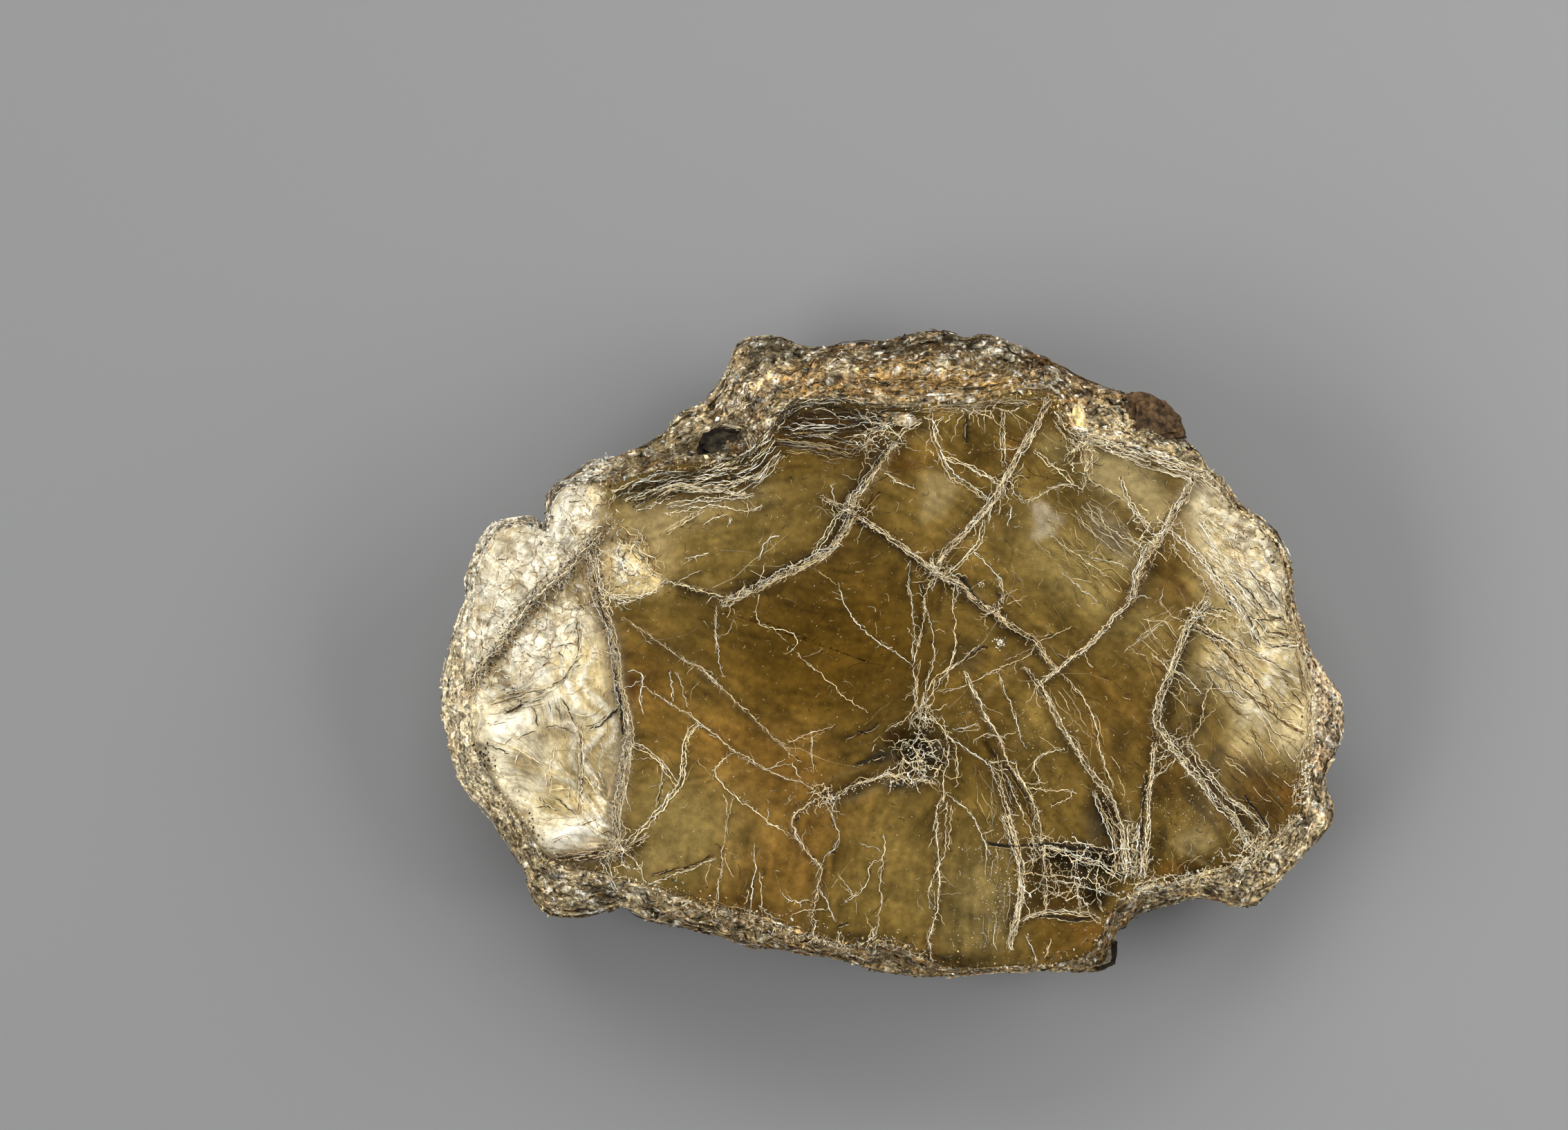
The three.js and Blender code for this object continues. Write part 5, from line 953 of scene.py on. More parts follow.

# ------------------------------------------------------------------------------------------------------
# Seam fringes: the torn edges of sheets standing along every seam of the face, frayed into pale threads
# that lie side by side, split, cross and lift, with dark threads of painted shade in the gaps between
# them. They are mica like the sheets, thin enough to look cream, and grow out of the face.
# ------------------------------------------------------------------------------------------------------
# Seams without a step in the sheet: width, strands across, route
BRANCHES = [
    (1.0, 5, [(0.3, 23.2), (1.0, 24.2), (1.9, 24.9), (3.4, 25.6)]),
    (0.6, 3, [(-1.2, 20), (1.2, 18.5), (2.6, 18.0)]),
    (0.7, 4, [(-5.5, 15.9), (-7.2, 13.3), (-8.9, 10.7)]),
    (0.5, 22, [(-3.8, 15.0), (-5.9, 12.9), (-7, 11.2), (-8.9, 10.3)]),
    (0.8, 4, [(11.9, 18.4), (10.4, 19.3), (7.4, 20.9), (5.2, 21.5)]),
    (0.8, 4, [(4.1, 26.7), (4.3, 23.5), (5.9, 20), (9.2, 17.7), (10.8, 16.8)]),
    (0.7, 3, [(11.9, 26.9), (11.9, 23.5), (12.4, 20.4)]),
    (0.7, 3, [(15.3, 22.4), (18.9, 19.5), (19.8, 18.4)]),
    (0.6, 4, [(12.8, 18), (14.2, 16.6), (16, 17.3), (17.7, 18.4), (19.8, 18.4), (20.9, 17.7),
              (21.3, 21.3), (20.4, 23.5)]),
    (0.7, 4, [(9.9, 14.9), (9.8, 13), (8.8, 11.6), (7, 9.7), (5.5, 8.5)]),
    (0.6, 3, [(8.8, 11.4), (10.5, 9.9), (11.5, 8.6), (11.9, 7.2), (11.7, 6), (11.5, 5.2)]),
    (0.3, 2, [(11.7, 17.5), (11.4, 15)]), (0.3, 2, [(10.8, 17), (10.2, 14)]),
    (0.3, 2, [(13, 16.5), (12.6, 13.7)]),
    (0.5, 3, [(18, -1.9), (19.5, -3.5), (21, -5.2), (22.1, -7.2), (22.5, -9.8), (23.1, -12.3),
              (24.3, -14.8)]),
    (0.7, 4, [(24.7, 19.5), (26, 16.6), (28.5, 13.5)]),
    (0.6, 4, [(21.1, 19.1), (24.5, 17.3), (26, 16.4), (28.3, 13.2)]),
    (0.5, 3, [(22.2, 16.4), (23.5, 13.9), (26.5, 12.1), (28, 11.4)]),
    (0.9, 6, [(29.6, 13.6), (30.7, 13.3), (34.7, 9.4), (36.4, 6.6), (38.2, 4), (40.5, 0.5)]),
    (0.6, 4, [(35.6, 8.6), (38.4, 7.9), (40.8, 4.9), (43.1, 4.2)]),
    (0.7, 4, [(37.6, 4.6), (38.4, 4), (43.1, 3.8)]),
    (0.6, 4, [(40.5, 0.5), (42.9, 0.9), (45.1, 1.2)]),
    (0.6, 4, [(30.3, 12), (31.8, 10.2), (33.8, 8.3), (34.7, 6.5)]),
    (0.3, 2, [(16.9, 13.2), (18, 12.2), (20.2, 10.9), (22, 9.4), (23.3, 8.4)]),
    (0.3, 2, [(18.3, 9.2), (20, 7.5), (22.5, 5.5)]), (0.4, 2, [(21.6, 10.6), (24.5, 10.1), (26, 9.2)]),
    (0.4, 2, [(29, 6), (30.5, 4.2), (32.5, 3.3)]),
    (0.9, 6, [(32.7, 2.9), (35.7, 1.6), (37.9, 0.5), (39.9, -0.1), (42, -1.2)]),
    (0.5, 3, [(30.5, -1.7), (32, -2.6), (34, -4.6)]), (0.4, 2, [(28, 0), (29.2, -0.8), (30.2, -2)]),
    (0.6, 4, [(35.4, -3), (34.2, -4.7), (33.8, -7.4), (32.6, -9.4), (31.1, -10.7)]),
    (0.5, 3, [(28.2, -13.6), (30, -12.4), (31, -11.2)]),
    (0.8, 5, [(22, -14.8), (23.5, -18.7), (24.6, -21.2), (24.7, -24)]),
    (2.6, 9, [(26.4, -18.4), (26.5, -21.5), (26.6, -24.8)]),
    (0.5, 3, [(11.2, -1.5), (12.7, -4.8), (13.4, -7), (14.6, -10.6)]),
    (0.3, 2, [(5.1, -4.3), (8.2, -3.2), (11.2, -1.7), (14.7, -0.2), (15.8, 1.6), (19.7, 3.1)]),
    (0.6, 4, [(11.7, -11.8), (13.7, -15.9), (15.6, -20.8), (16.3, -22.7)]),
    (0.5, 3, [(13.3, -11.5), (16, -17.5)]), (0.5, 4, [(10.2, -11.9), (13.8, -11.9)]),
    (1.1, 6, [(11.9, -17.4), (13.2, -21.2), (14.1, -23.4), (14.2, -26), (13.4, -29.2), (12.8, -32.6)]),
    (0.6, 3, [(18.9, -10.2), (17.2, -10.7), (15.6, -11.5), (15.4, -12.5), (16, -13.7), (16.3, -14.4)]),
    (0.6, 3, [(14.5, -14.6), (20, -15), (19, -16.2), (17, -16.8)]),
    (0.7, 4, [(16.4, -21), (19.9, -22.1), (23.1, -23.2), (25.2, -25.1)]),
    (0.6, 3, [(15.6, -21), (19, -20.6), (24.4, -21.4)]), (0.6, 3, [(16.6, -24.6), (20.4, -25.2),
     (25, -26.6)]),
    (0.5, 3, [(20.4, -21), (19.8, -24), (20.6, -28.3)]), (0.5, 3, [(22.6, -22), (22.2, -25),
     (23.1, -28.4)]),
    (0.5, 3, [(14.6, -30.5), (15.7, -33.8)]), (0.5, 3, [(17.3, -31), (16.8, -33.5)]),
    (0.5, 4, [(4.3, 8.4), (3.3, 6.7), (3.3, 3.7), (2.6, 0.2), (2.2, -1.3), (2.8, -3.4), (2.4, -4.7),
              (3.4, -7.6)]),
    (0.4, 3, [(1.5, 10.3), (2, 5.8), (2.4, 3.2), (2.2, -1)]), (0.4, 3, [(3.5, 5.4), (4.3, 2.4), (4.5, -0.6),
                                                                  (3.2, -5.2), (2.6, -8.2)]),
    (0.4, 3, [(6.6, 7.6), (6.7, 3.9), (7, 1.1), (6.4, -1.3), (4.7, -2.8), (3.3, -4.5), (3.5, -6),
              (3.0, -8.8)]),
    (0.5, 4, [(9.6, 1.2), (7.4, -0.8), (5.4, -2.6), (3.8, -5.0), (2.2, -7.2), (1.6, -8.6)]),
    (0.3, 2, [(3.1, -0.4), (2.5, -2.4), (2.6, -4.6), (2.2, -6), (1.6, -7), (0.2, -7.9), (-0.8, -8.4)]),
    (0.3, 2, [(4.5, -2.6), (4.4, -5.7), (3.6, -6.2), (3.4, -8.4)]), (0.3, 2, [(6.3, -8.4), (8, -8),
     (9.6, -7.6)]),
    (0.4, 3, [(3.7, -6.2), (5, -7.6), (5.8, -9), (6, -10.6), (5.8, -12), (5.4, -14.8), (5.4, -16.4)]),
    (0.3, 2, [(5.2, -8.2), (6.6, -9.4), (7, -11), (7, -14.8)]), (0.3, 3, [(5.8, -8.6), (8, -10.2),
     (9.6, -11.4), (11, -12.6)]),
    (0.3, 2, [(8.6, -10), (9.4, -8.9), (11, -8.7), (12.6, -9.4)]), (0.4, 3, [(-4, -14.2), (-2, -13.6),
     (0.5, -12.4), (1.6, -11.2)]),
    (0.3, 2, [(2.9, -8.6), (4.3, -10.4), (4.7, -12.4)]), (0.3, 2, [(1, -9.2), (2.6, -10.6), (3.4, -13.2)]),
    (0.5, 3, [(-7.9, -23.1), (-7.3, -22.1), (-6, -20.7), (-6.6, -18.2), (-7.3, -15.9)]),
    (0.4, 3, [(-8.2, -25.4), (-7, -27.3), (-6.2, -29.5)]),
    (0.4, 2, [(-1.1, -19.5), (-1, -22.5), (-2.7, -23), (-2.9, -25), (-4.2, -26.4), (-5.4, -27.3)]),
    (0.4, 3, [(-1, -22.5), (-1.3, -25), (-1.2, -27), (-2.2, -31)]),
    (0.3, 2, [(-6.3, -24), (-5, -25.7), (-4.4, -26.6)]),
    (0.4, 2, [(-12.3, -26.2), (-11.7, -27), (-9, -27.4)]), (0.4, 2, [(-11.5, -28.8), (-10.3, -28.1),
     (-7, -28)]),
    (0.4, 2, [(-14.9, -27.4), (-12.5, -29.2)]),
    (0.5, 3, [(5.9, -16), (5.4, -22.5), (4.2, -24.7), (4.1, -28.1)]), (0.3, 2, [(6.2, -16.3),
     (6.2, -21.7)]),
    (0.4, 3, [(5.7, -15), (8.9, -18), (10, -20.6), (10.7, -22.3)]),
    (0.5, 3, [(-17.5, -10.7), (-18.8, -11.6), (-20, -12.9), (-17.5, -15.3), (-15.3, -17), (-13.4, -18.6),
              (-11.2, -19.9)]),
    (0.3, 2, [(-17.5, -15.5), (-18.1, -18.6), (-18.5, -21.5), (-19, -24.8), (-19.4, -27.5)]),
    (0.3, 2, [(-15.1, -20.9), (-15.1, -23.8), (-15.5, -26.8), (-15.5, -28.7)]),
    (0.3, 2, [(-14.4, -23.8), (-14.3, -28.7)]),
    (0.3, 2, [(-11.7, -9.6), (-8.9, -8.5), (-6.1, -7.7)]), (0.3, 2, [(-8.9, -8.5), (-9.1, -11.3),
     (-8.9, -13.2)]),
    (0.25, 1, [(-6.2, 8), (-5.1, 5), (-3, 2.6), (0.5, 0), (2.2, -1.3)]),
    (0.25, 1, [(-10.7, 0.2), (-8.9, -1.5), (-5.9, -4.3), (-2.5, -6.6)]),
    (0.25, 1, [(-14.9, 6.7), (-15.1, 3.7), (-14.1, 2.8), (-11.5, 2.7), (-10.5, 1.7), (-10.9, 0.6),
     (-12.4, 0.2)]),
    (0.3, 2, [(-19.2, 5.4), (-19.4, 4.1), (-19.2, 1.5), (-18.8, -1.3), (-18.4, -2.8)]),
    (0.3, 2, [(-24.7, -1.7), (-24.1, -3.8), (-24, -5.5)]), (0.3, 2, [(-23.7, -1.7), (-22.2, -6.2)]),
    (0.4, 2, [(-14.8, 10), (-14.3, 11.5), (-13.5, 12.6), (-12.2, 13)]),
    (0.4, 2, [(-23, 10.3), (-21, 10.7), (-20, 11.2)]), (0.5, 2, [(-18.3, 13.8), (-17.8, 15)]),
    (0.7, 4, [(-28.8, -9.6), (-27, -10.6), (-25.3, -12), (-24.9, -13.1), (-23.6, -14.7)]),
    (0.4, 3, [(-25.3, -12), (-25.3, -14.7), (-26, -17)]),
    (1.0, 6, [(-21.2, -7.3), (-22.5, -8.9), (-22.9, -11.8), (-23.3, -14.3), (-24.7, -16.2), (-26, -17.8),
              (-28, -19.7), (-29.3, -21.3)]),
    (1.2, 6, [(-28.7, -10), (-29.2, -13), (-29.9, -16), (-30.2, -19), (-30.6, -21.8), (-31.8, -22.8)]),
    (0.8, 5, [(-31.8, -22.8), (-31.2, -23.5), (-30.6, -25), (-30.3, -26.5)]),
    (0.8, 5, [(-32.5, 11.5), (-32.4, 9), (-32, 6.9), (-30.5, 6.3), (-28.5, 6.4), (-26.5, 6.6), (-25.5, 7.5),
              (-24.4, 8.2)]),
    (0.5, 3, [(-30.3, 5.1), (-28.5, 5.6), (-27, 6.2)]),
    (0.7, 4, [(-29, 12), (-27.5, 11), (-26.8, 9.5), (-25.5, 8.2)]),
    (0.4, 3, [(-43.9, -5.6), (-42, -5.4), (-40, -4.7), (-38, -4.3), (-36.8, -3.6), (-35.5, -2.2),
              (-34.6, -1), (-34.2, 0)]),
    (0.5, 3, [(-43.7, -4.9), (-41, -4.2), (-39.8, -4)]), (0.4, 3, [(-39.6, -5.3), (-39.2, -6.5),
     (-38.6, -7.8)]),
    (0.5, 3, [(-34, -8.2), (-32.5, -7.6), (-31.5, -6.7), (-30.3, -5.8)]),
    (0.4, 2, [(-34.2, -7.5), (-34.5, -11), (-34.8, -13.5), (-34.5, -17.5)]),
    (0.4, 2, [(-37, -10), (-37.8, -12), (-37.6, -14), (-38, -16)]),
    (0.4, 3, [(-35.2, -19), (-33.2, -17.9), (-31.9, -17.2)]),
    (0.5, 3, [(-28.9, -21.8), (-28.2, -22.8), (-27.6, -24), (-26.8, -25.2)]),
    (0.5, 3, [(-30.4, -24.8), (-29, -24.4)]), (0.5, 3, [(-27.3, -25.5), (-25.5, -24.8), (-23.1, -24),
     (-19.2, -22.4)]),
    (0.3, 2, [(-29.3, -1.9), (-27.3, -2.1), (-27.5, -3.5), (-27.6, -6.8)]),
    (0.3, 2, [(-19.4, -27.3), (-19.2, -24.8)]), (0.3, 2, [(-16.3, -27.7), (-16.0, -25.6)]),
    (0.5, 4, [(-9, -31.5), (-8.6, -29)]), (0.5, 4, [(-6, -32.5), (-5.8, -30.2)]), (0.8, 5, [(-2.2, -31.6),
     (-2.2, -29.6)]),
    (0.8, 5, [(-25, 18.2), (-22, 18), (-18, 18.4), (-15, 19.6)]),
    (0.8, 5, [(-25, 16.2), (-22, 16.9), (-19, 16.9), (-15, 17.6)]),
    (0.6, 4, [(-25, 15.2), (-22.5, 16), (-19.3, 16.2), (-15.2, 15.7), (-14.2, 16.5)]),
    (0.8, 4, [(-25, 13), (-23.5, 14), (-22, 15.4), (-20.5, 15.9)]), (0.6, 3, [(-21, 14), (-19.5, 15),
     (-18, 15.3)]),
]
# Open cracks, dark inside with painted shade: width, route
SLITS = [
    (0.35, [(-6, 13.0), (-3.6, 15.4), (-1.3, 17.8)]), (0.3, [(10.9, -10.1), (11.8, -12.4), (13.4, -17)]),
    (0.25, [(12.4, -12.2), (14.6, -16), (16, -20)]), (0.35, [(-4.1, -12), (-2.4, -11.6), (-0.7, -11)]),
    (0.3, [(-5.4, -9.4), (-2.8, -8.6), (-1.4, -7.6)]), (0.25, [(-6.3, -30), (-4.6, -29.4)]),
    (0.4, [(-37.2, -22.6), (-34.5, -22.4), (-31.5, -21.9)]), (0.5, [(-43, -6.5), (-41.6, -6.1),
     (-40, -5.3)]),
    (0.3, [(8.1, 26), (8.1, 23)]), (0.6, [(10, -20.8), (14, -21.2), (18, -20.9), (24, -21.8)]),
    (0.25, [(2.9, 8), (3.2, 6.4)]), (0.25, [(-26.5, -24.4), (-23, -23.4), (-19.4, -22)]),
    (0.5, [(7.6, -0.6), (9, 0.4), (10.4, 0.8)]), (0.4, [(23.4, -15.6), (24.2, -18.4), (25, -20.6)]),
    (0.4, [(38.6, -15.4), (40.4, -17.6), (42, -20)]), (0.3, [(28.2, -8), (29.2, -10.6)]),
    (0.5, [(-30.6, -1), (-30, -5), (-29.6, -9)]), (0.5, [(-32.7, 9), (-32.2, 5.6), (-31.4, 3)]),
    (0.4, [(15.4, -28.9), (19, -28.9), (22.4, -29.1)]), (0.35, [(5.2, 9.6), (7.6, 8.4), (9.6, 5.6)]),
    (0.3, [(27.6, -13), (27.2, -18), (27, -23)]), (0.3, [(33, -13.6), (36.4, -17.4), (39, -21)]),
]
# Creases of the foil, their dark lines painted shade and their pale lines partly pale sheet edges and partly
# painted highlight: thickness, 1 where dark and 0 where pale, route
CREASES = [
    (0.07, 1, [(-39.6, -5.6), (-39, -7.4), (-38.6, -8.1)]), (0.06, 1, [(-36.6, -4.6), (-35.2, -6.8),
     (-34.4, -8.4)]),
    (0.04, 1, [(-37.2, -5.4), (-36.2, -7.4)]), (0.04, 1, [(-37.9, -5.0), (-37.4, -6.6)]),
    (0.07, 0, [(-34.5, -8), (-34.3, -12), (-34.5, -17.8)]), (0.06, 0, [(-34.1, -8.2), (-34, -12),
     (-34.3, -17.8)]),
    (0.05, 1, [(-34.3, -8), (-34.15, -12), (-34.4, -17.8)]), (0.09, 1, [(-30, -5.8), (-31.4, -7),
     (-33.6, -8.6)]),
    (0.05, 0, [(-37, -9.2), (-37.2, -11), (-37.9, -13), (-38, -16)]), (0.05, 0, [(-37.8, -14.9),
     (-35, -14.7)]),
    (0.05, 1, [(-39.2, -15.6), (-36.8, -17.6)]), (0.05, 1, [(-37.8, -15.4), (-35.2, -17.2),
     (-34.6, -17.8)]),
    (0.09, 0, [(-34, -13.2), (-32.6, -15.6)]), (0.1, 0, [(-33.2, -13), (-31.6, -16)]),
    (0.07, 0, [(-32.6, -12.8), (-31.4, -14.6)]), (0.06, 0, [(-33.8, -15.2), (-32.6, -17.2)]),
    (0.06, 0, [(-45.2, -9.8), (-41.6, -10.3), (-38, -12.4)]), (0.05, 1, [(-45, -10), (-43.4, -10.5),
     (-42, -11.2)]),
    (0.05, 0, [(-41.8, -12.2), (-40.9, -10.2)]), (0.045, 1, [(-44, -5.6), (-40, -4.5), (-37.2, -3.6),
     (-34.2, -0.9)]),
    (0.06, 1, [(-38.2, 0.6), (-36.4, 1.0), (-34.4, 0.8)]), (0.05, 1, [(-34.9, 4), (-34.6, 1.8),
     (-35, -0.6)]),
    (0.05, 0, [(-34.2, 4), (-34, 1.8), (-34.4, -0.6)]), (0.04, 1, [(-38.6, -8.1), (-36.4, -8.0),
     (-34.6, -9)]),
    (0.05, 1, [(-41.6, -9.4), (-40.6, -9.0), (-39.2, -8.4)]), (0.12, 1, [(-37.3, -22.9), (-34.4, -22.5),
     (-30.9, -22)]),
    (0.05, 0, [(-36.6, -18.8), (-34.4, -19), (-32.2, -17.6)]), (0.05, 1, [(-34.4, -18.9), (-32.4, -17.8)]),
    (0.05, 0, [(-39.4, -18.2), (-36.8, -17.9), (-34.4, -17.8)]), (0.04, 1, [(-39.4, -17.2),
     (-37.6, -16.8)]),
    (0.06, 1, [(38.8, 4.1), (40.6, 3.9), (43, 3.7)]), (0.07, 1, [(41.4, 0.7), (43, 1.0), (44.5, 0.8)]),
    (0.08, 0, [(34.6, 2.6), (38.4, -1), (40.2, -3), (41.8, -5.8), (42, -6.8), (45.6, -8.6)]),
    (0.06, 1, [(34.4, 2.3), (38.2, -1.4), (40, -3.4), (41.5, -6)]), (0.09, 0, [(33, 3.3), (35.4, 2.2),
     (37.3, 1)]),
    (0.08, 1, [(33, 2.9), (35.4, 1.8), (37.3, 0.6)]), (0.07, 0, [(33.4, 4.6), (35.6, 4.2), (37.2, 3.6)]),
    (0.06, 1, [(33.8, 5.4), (35.8, 4.9), (37.4, 4.4)]), (0.05, 0, [(36.8, 8), (39.4, 5.4), (40.6, 4.2)]),
    (0.05, 1, [(37.4, 8.4), (39.6, 6), (41.4, 4.6)]), (0.05, 1, [(40.2, 9), (42, 6.4), (43.4, 4.8)]),
    (0.05, 1, [(39, 9.6), (41, 6.6), (42.4, 4.8)]), (0.06, 0, [(31, 13.2), (34.4, 9.6), (36.6, 7),
     (38.6, 4.4), (40, 1.2)]),
    (0.06, 1, [(31.3, 13.2), (34.7, 9.6), (36.9, 7), (38.9, 4.4), (40.3, 1.2)]),
    (0.12, 0, [(42.4, -6.9), (44, -7.8), (45.8, -8.5)]), (0.06, 1, [(42.3, -7.4), (43.8, -8.3),
     (45.6, -9.1)]),
    (0.05, 0, [(41.4, -3.4), (43.2, -5.6), (44.8, -7)]), (0.05, 1, [(42.6, -2.6), (44, -4.4), (45.4, -6)]),
    (0.05, 0, [(40.6, -7.6), (41.6, -9.4), (42.6, -11.4)]), (0.04, 1, [(39, -8), (40.2, -10.2), (41, -12)]),
]
# Where the broken edge of the face stands up in short spikes
EDGE_FRINGES = [
    [(-25.6, -26.5), (-21, -27.9), (-17, -28.8), (-13, -30), (-9, -31.3), (-5, -31.8), (-1, -31.6),
     (1.6, -32.2),
     (3.4, -33.4)],
    [(24.6, -26.8), (28.4, -25.6), (32, -25), (36, -24.2), (39, -22.8), (41.8, -20.4), (44.6, -17.6)],
]
THREAD_POINTS, BARB_POINTS = 6, 4
LONG_STEP = 0.27  # length between the points of a long thread
ROUNDING = 0.6  # reach over which a route's corners are rounded
BROAD_BRANCH = 0.65  # a branch this wide has two long threads, not one
THREAD_MIX = ["cream", "wheat", "bone", "pearl", "sand", "tan", "wheat", "gold"]
PALE_MIX = ["cream", "pearl", "wheat", "cream", "wheat"]
DARK_MIX = ["chestnut", "pitch", "smoke black", "soot"]
rng = np.random.default_rng(7)


def route_length(route):
    """Length of a route: the sum of the distances between its spots."""
    return np.hypot(*np.diff(np.array(route, float), axis=0).T).sum()


def walk(route, along):
    """Spots at distances along a route and the route's unit direction there. Corners are rounded: a spot is
    the mean of itself and those ROUNDING behind and ahead, and the direction is that between the two."""
    route = np.array(route, float)
    marks = np.concatenate([[0], np.cumsum(np.hypot(*np.diff(route, axis=0).T))])
    spot, ahead, behind = (np.stack([np.interp(along + shift, marks, route[:, k]) for k in (0, 1)], -1)
                           for shift in (0, ROUNDING, -ROUNDING))
    heading = ahead - behind
    length = np.maximum(1e-6, np.hypot(*np.moveaxis(heading, -1, 0)))
    return (spot + ahead + behind) / 3, heading / length[..., None]


def set_aside(spot, heading, offset):
    """Spots moved by offset to the right hand of their heading."""
    return spot + np.stack([heading[..., 1], -heading[..., 0]], -1) * offset[..., None]


def on_sheet(x, y, lift):
    """Points that stand lift above the face."""
    return np.stack([x, y, face_height(x, y) + lift], -1)


def spindle(t):
    """How full a thread is from end to end, by sqrt(1 - t t), with t from -1 to 1 and blunt ends."""
    return np.sqrt(np.clip(1.02 - t * t, 0, 1))


def mixed(names, count):
    """count colours picked at random from the named ones, each made somewhat darker or lighter."""
    table = np.array([linear(name) for name in names])
    picked = table[rng.integers(len(names), size=count)]
    return np.minimum(0.95, picked * rng.uniform(0.7, 1.25, (count, 1)))


def seam_wander(along, total):
    """How far a whole seam strays from its route: slow and quick jagged noise, its own for each length."""
    return 0.16 * kinks(along, total, 3.1, 71) + 0.09 * kinks(along, total, 1.1, 72)


def long_thread(route, aside, thickness, names):
    """One unbroken thread along a whole route, set aside of it, straying from it by jagged noise."""
    total = route_length(route)
    along = np.linspace(0, total, max(4, int(total / LONG_STEP)))[None]
    spot, heading = walk(route, along)
    number = rng.uniform(0, 99) + 0 * along
    offset = aside + 0.13 * kinks(along, number, 1.3, 78) + 0.07 * kinks(along, number, 0.5, 79)
    offset += seam_wander(along, total) + rng.normal(0, 0.02, along.shape)
    spot = set_aside(spot, heading, offset)
    path = on_sheet(spot[..., 0], spot[..., 1], rng.uniform(0.08, 0.22))
    share = along / total
    taper = np.sqrt(np.clip(0.1 + 4 * share * (1 - share), 0, 1))
    return path, thickness * taper, mixed(names, 1)


def from_middle(x, y):
    """Bearing and distance of spots from the face's middle."""
    dx, dy = x - FACE_MIDDLE[0], y - FACE_MIDDLE[1]
    return np.arctan2(dy, dx), np.hypot(dx, dy)


def kept_inside(x, y, most=0.97):
    """Which runs of points all lie on the face: none is further than most of the way from its middle to
    its edge in the same direction."""
    edge_turn, edge_reach = from_middle(*rim[:, 3:].T)
    order = np.argsort(edge_turn)
    turn, reach = from_middle(x, y)
    return (reach < most * np.interp(turn, edge_turn[order], edge_reach[order], period=2 * math.pi)).all(1)


def twigs(route, density, thickness):
    """Thin crooked threads, density of them to a millimetre, that leave a route at 15 to 60 degrees and run
    out over the sheet."""
    total = route_length(route)
    grown = []
    for along in rng.uniform(0, total, int(density * total + rng.uniform(0, 1))):
        spot, heading = walk(route, np.array([along]))
        angle = math.atan2(heading[0, 1], heading[0, 0]) + rng.choice([0, math.pi])
        angle += rng.choice([-1, 1]) * math.radians(rng.uniform(15, 60))
        bends = angle + np.cumsum(rng.normal(0, 0.35, 4))
        stride = rng.uniform(0.3, 0.9)
        turns = np.vstack([spot, spot + stride * np.cumsum(np.c_[np.cos(bends), np.sin(bends)], 0)])
        if kept_inside(turns[None, :, 0], turns[None, :, 1])[0]:
            grown.append(long_thread(turns, 0, thickness, THREAD_MIX))
    return grown


def seam_threads(route, width, strands, thickness, dark_share):
    """Threads lying along a seam: each takes a stretch of the route and keeps a place across it, from which
    it strays by jagged noise; the whole seam strays a little with them."""
    total = route_length(route)
    count = max(3, int(strands * (total + 1) / 1.9))
    middle = rng.uniform(-0.3, total + 0.3, count)
    half = rng.uniform(0.25, 1.2, count) * min(1, 0.5 + total / 8)
    t = np.linspace(-1, 1, THREAD_POINTS)
    along = np.clip(middle[:, None] + half[:, None] * t, 0, total)
    spot, heading = walk(route, along)
    own = rng.normal(0, 0.22 * width, count)[:, None]
    number = 40 * rng.uniform(0, 1, count)[:, None]
    offset = own + 0.2 * width * kinks(along, number, 1.1, 73) + 0.08 * kinks(along, number, 0.4, 74)
    offset += rng.normal(0, 0.2, (count, 1)) * half[:, None] * t
    spot = set_aside(spot, heading, offset + seam_wander(along, total))
    # Some threads are dark, lie low and are broader: painted shade in the gaps between the pale threads.
    dark = rng.uniform(0, 1, count) < dark_share
    lift = rng.uniform(0.0, 0.3, count)[:, None] * min(1.2, width + 0.2) * np.cos(0.5 * math.pi * t) + 0.03
    lift = np.where(dark[:, None], 0.05, lift)
    radius = thickness * rng.uniform(0.5, 1.25, count)[:, None] * spindle(t)
    radius = radius * np.where(dark[:, None], 1.3, 1)
    tint = np.where(dark[:, None], mixed(DARK_MIX, count), mixed(THREAD_MIX, count))
    return on_sheet(spot[..., 0], spot[..., 1], lift), radius, tint


def seam_barbs(route, width, density, thickness):
    """Short hairs torn off a seam, density of them to a millimetre: each starts beside it and leaves it at
    15 to 75 degrees, curling."""
    total = route_length(route)
    count = max(1, int(density * total))
    along = rng.uniform(0, total, count)
    spot, heading = walk(route, along)
    side = rng.choice([-1, 1], count)
    angle = np.arctan2(heading[:, 1], heading[:, 0]) + side * np.radians(rng.uniform(15, 75, count))
    angle += math.pi * (rng.uniform(0, 1, count) < 0.5)
    curl = rng.uniform(-0.5, 0.5, count)[:, None]
    reach = rng.uniform(0.25, 1.1, count)[:, None] * min(1, 0.5 + 0.5 * width)
    t = np.linspace(0, 1, BARB_POINTS)
    angle = angle[:, None] + curl * t
    path_x = spot[:, :1] + rng.normal(0, 0.3 * width, (count, 1)) + reach * t * np.cos(angle)
    path_y = spot[:, 1:] + rng.normal(0, 0.3 * width, (count, 1)) + reach * t * np.sin(angle)
    path = on_sheet(path_x, path_y, 0.04 + rng.uniform(0, 0.3, (count, 1)) * t * t)
    radius = thickness * rng.uniform(0.5, 1.1, count)[:, None] * (1 - 0.8 * t)
    dark = (rng.uniform(0, 1, count) < 0.2)[:, None]
    tint = np.where(dark, mixed(DARK_MIX, count), mixed(THREAD_MIX, count))
    return path, radius, tint


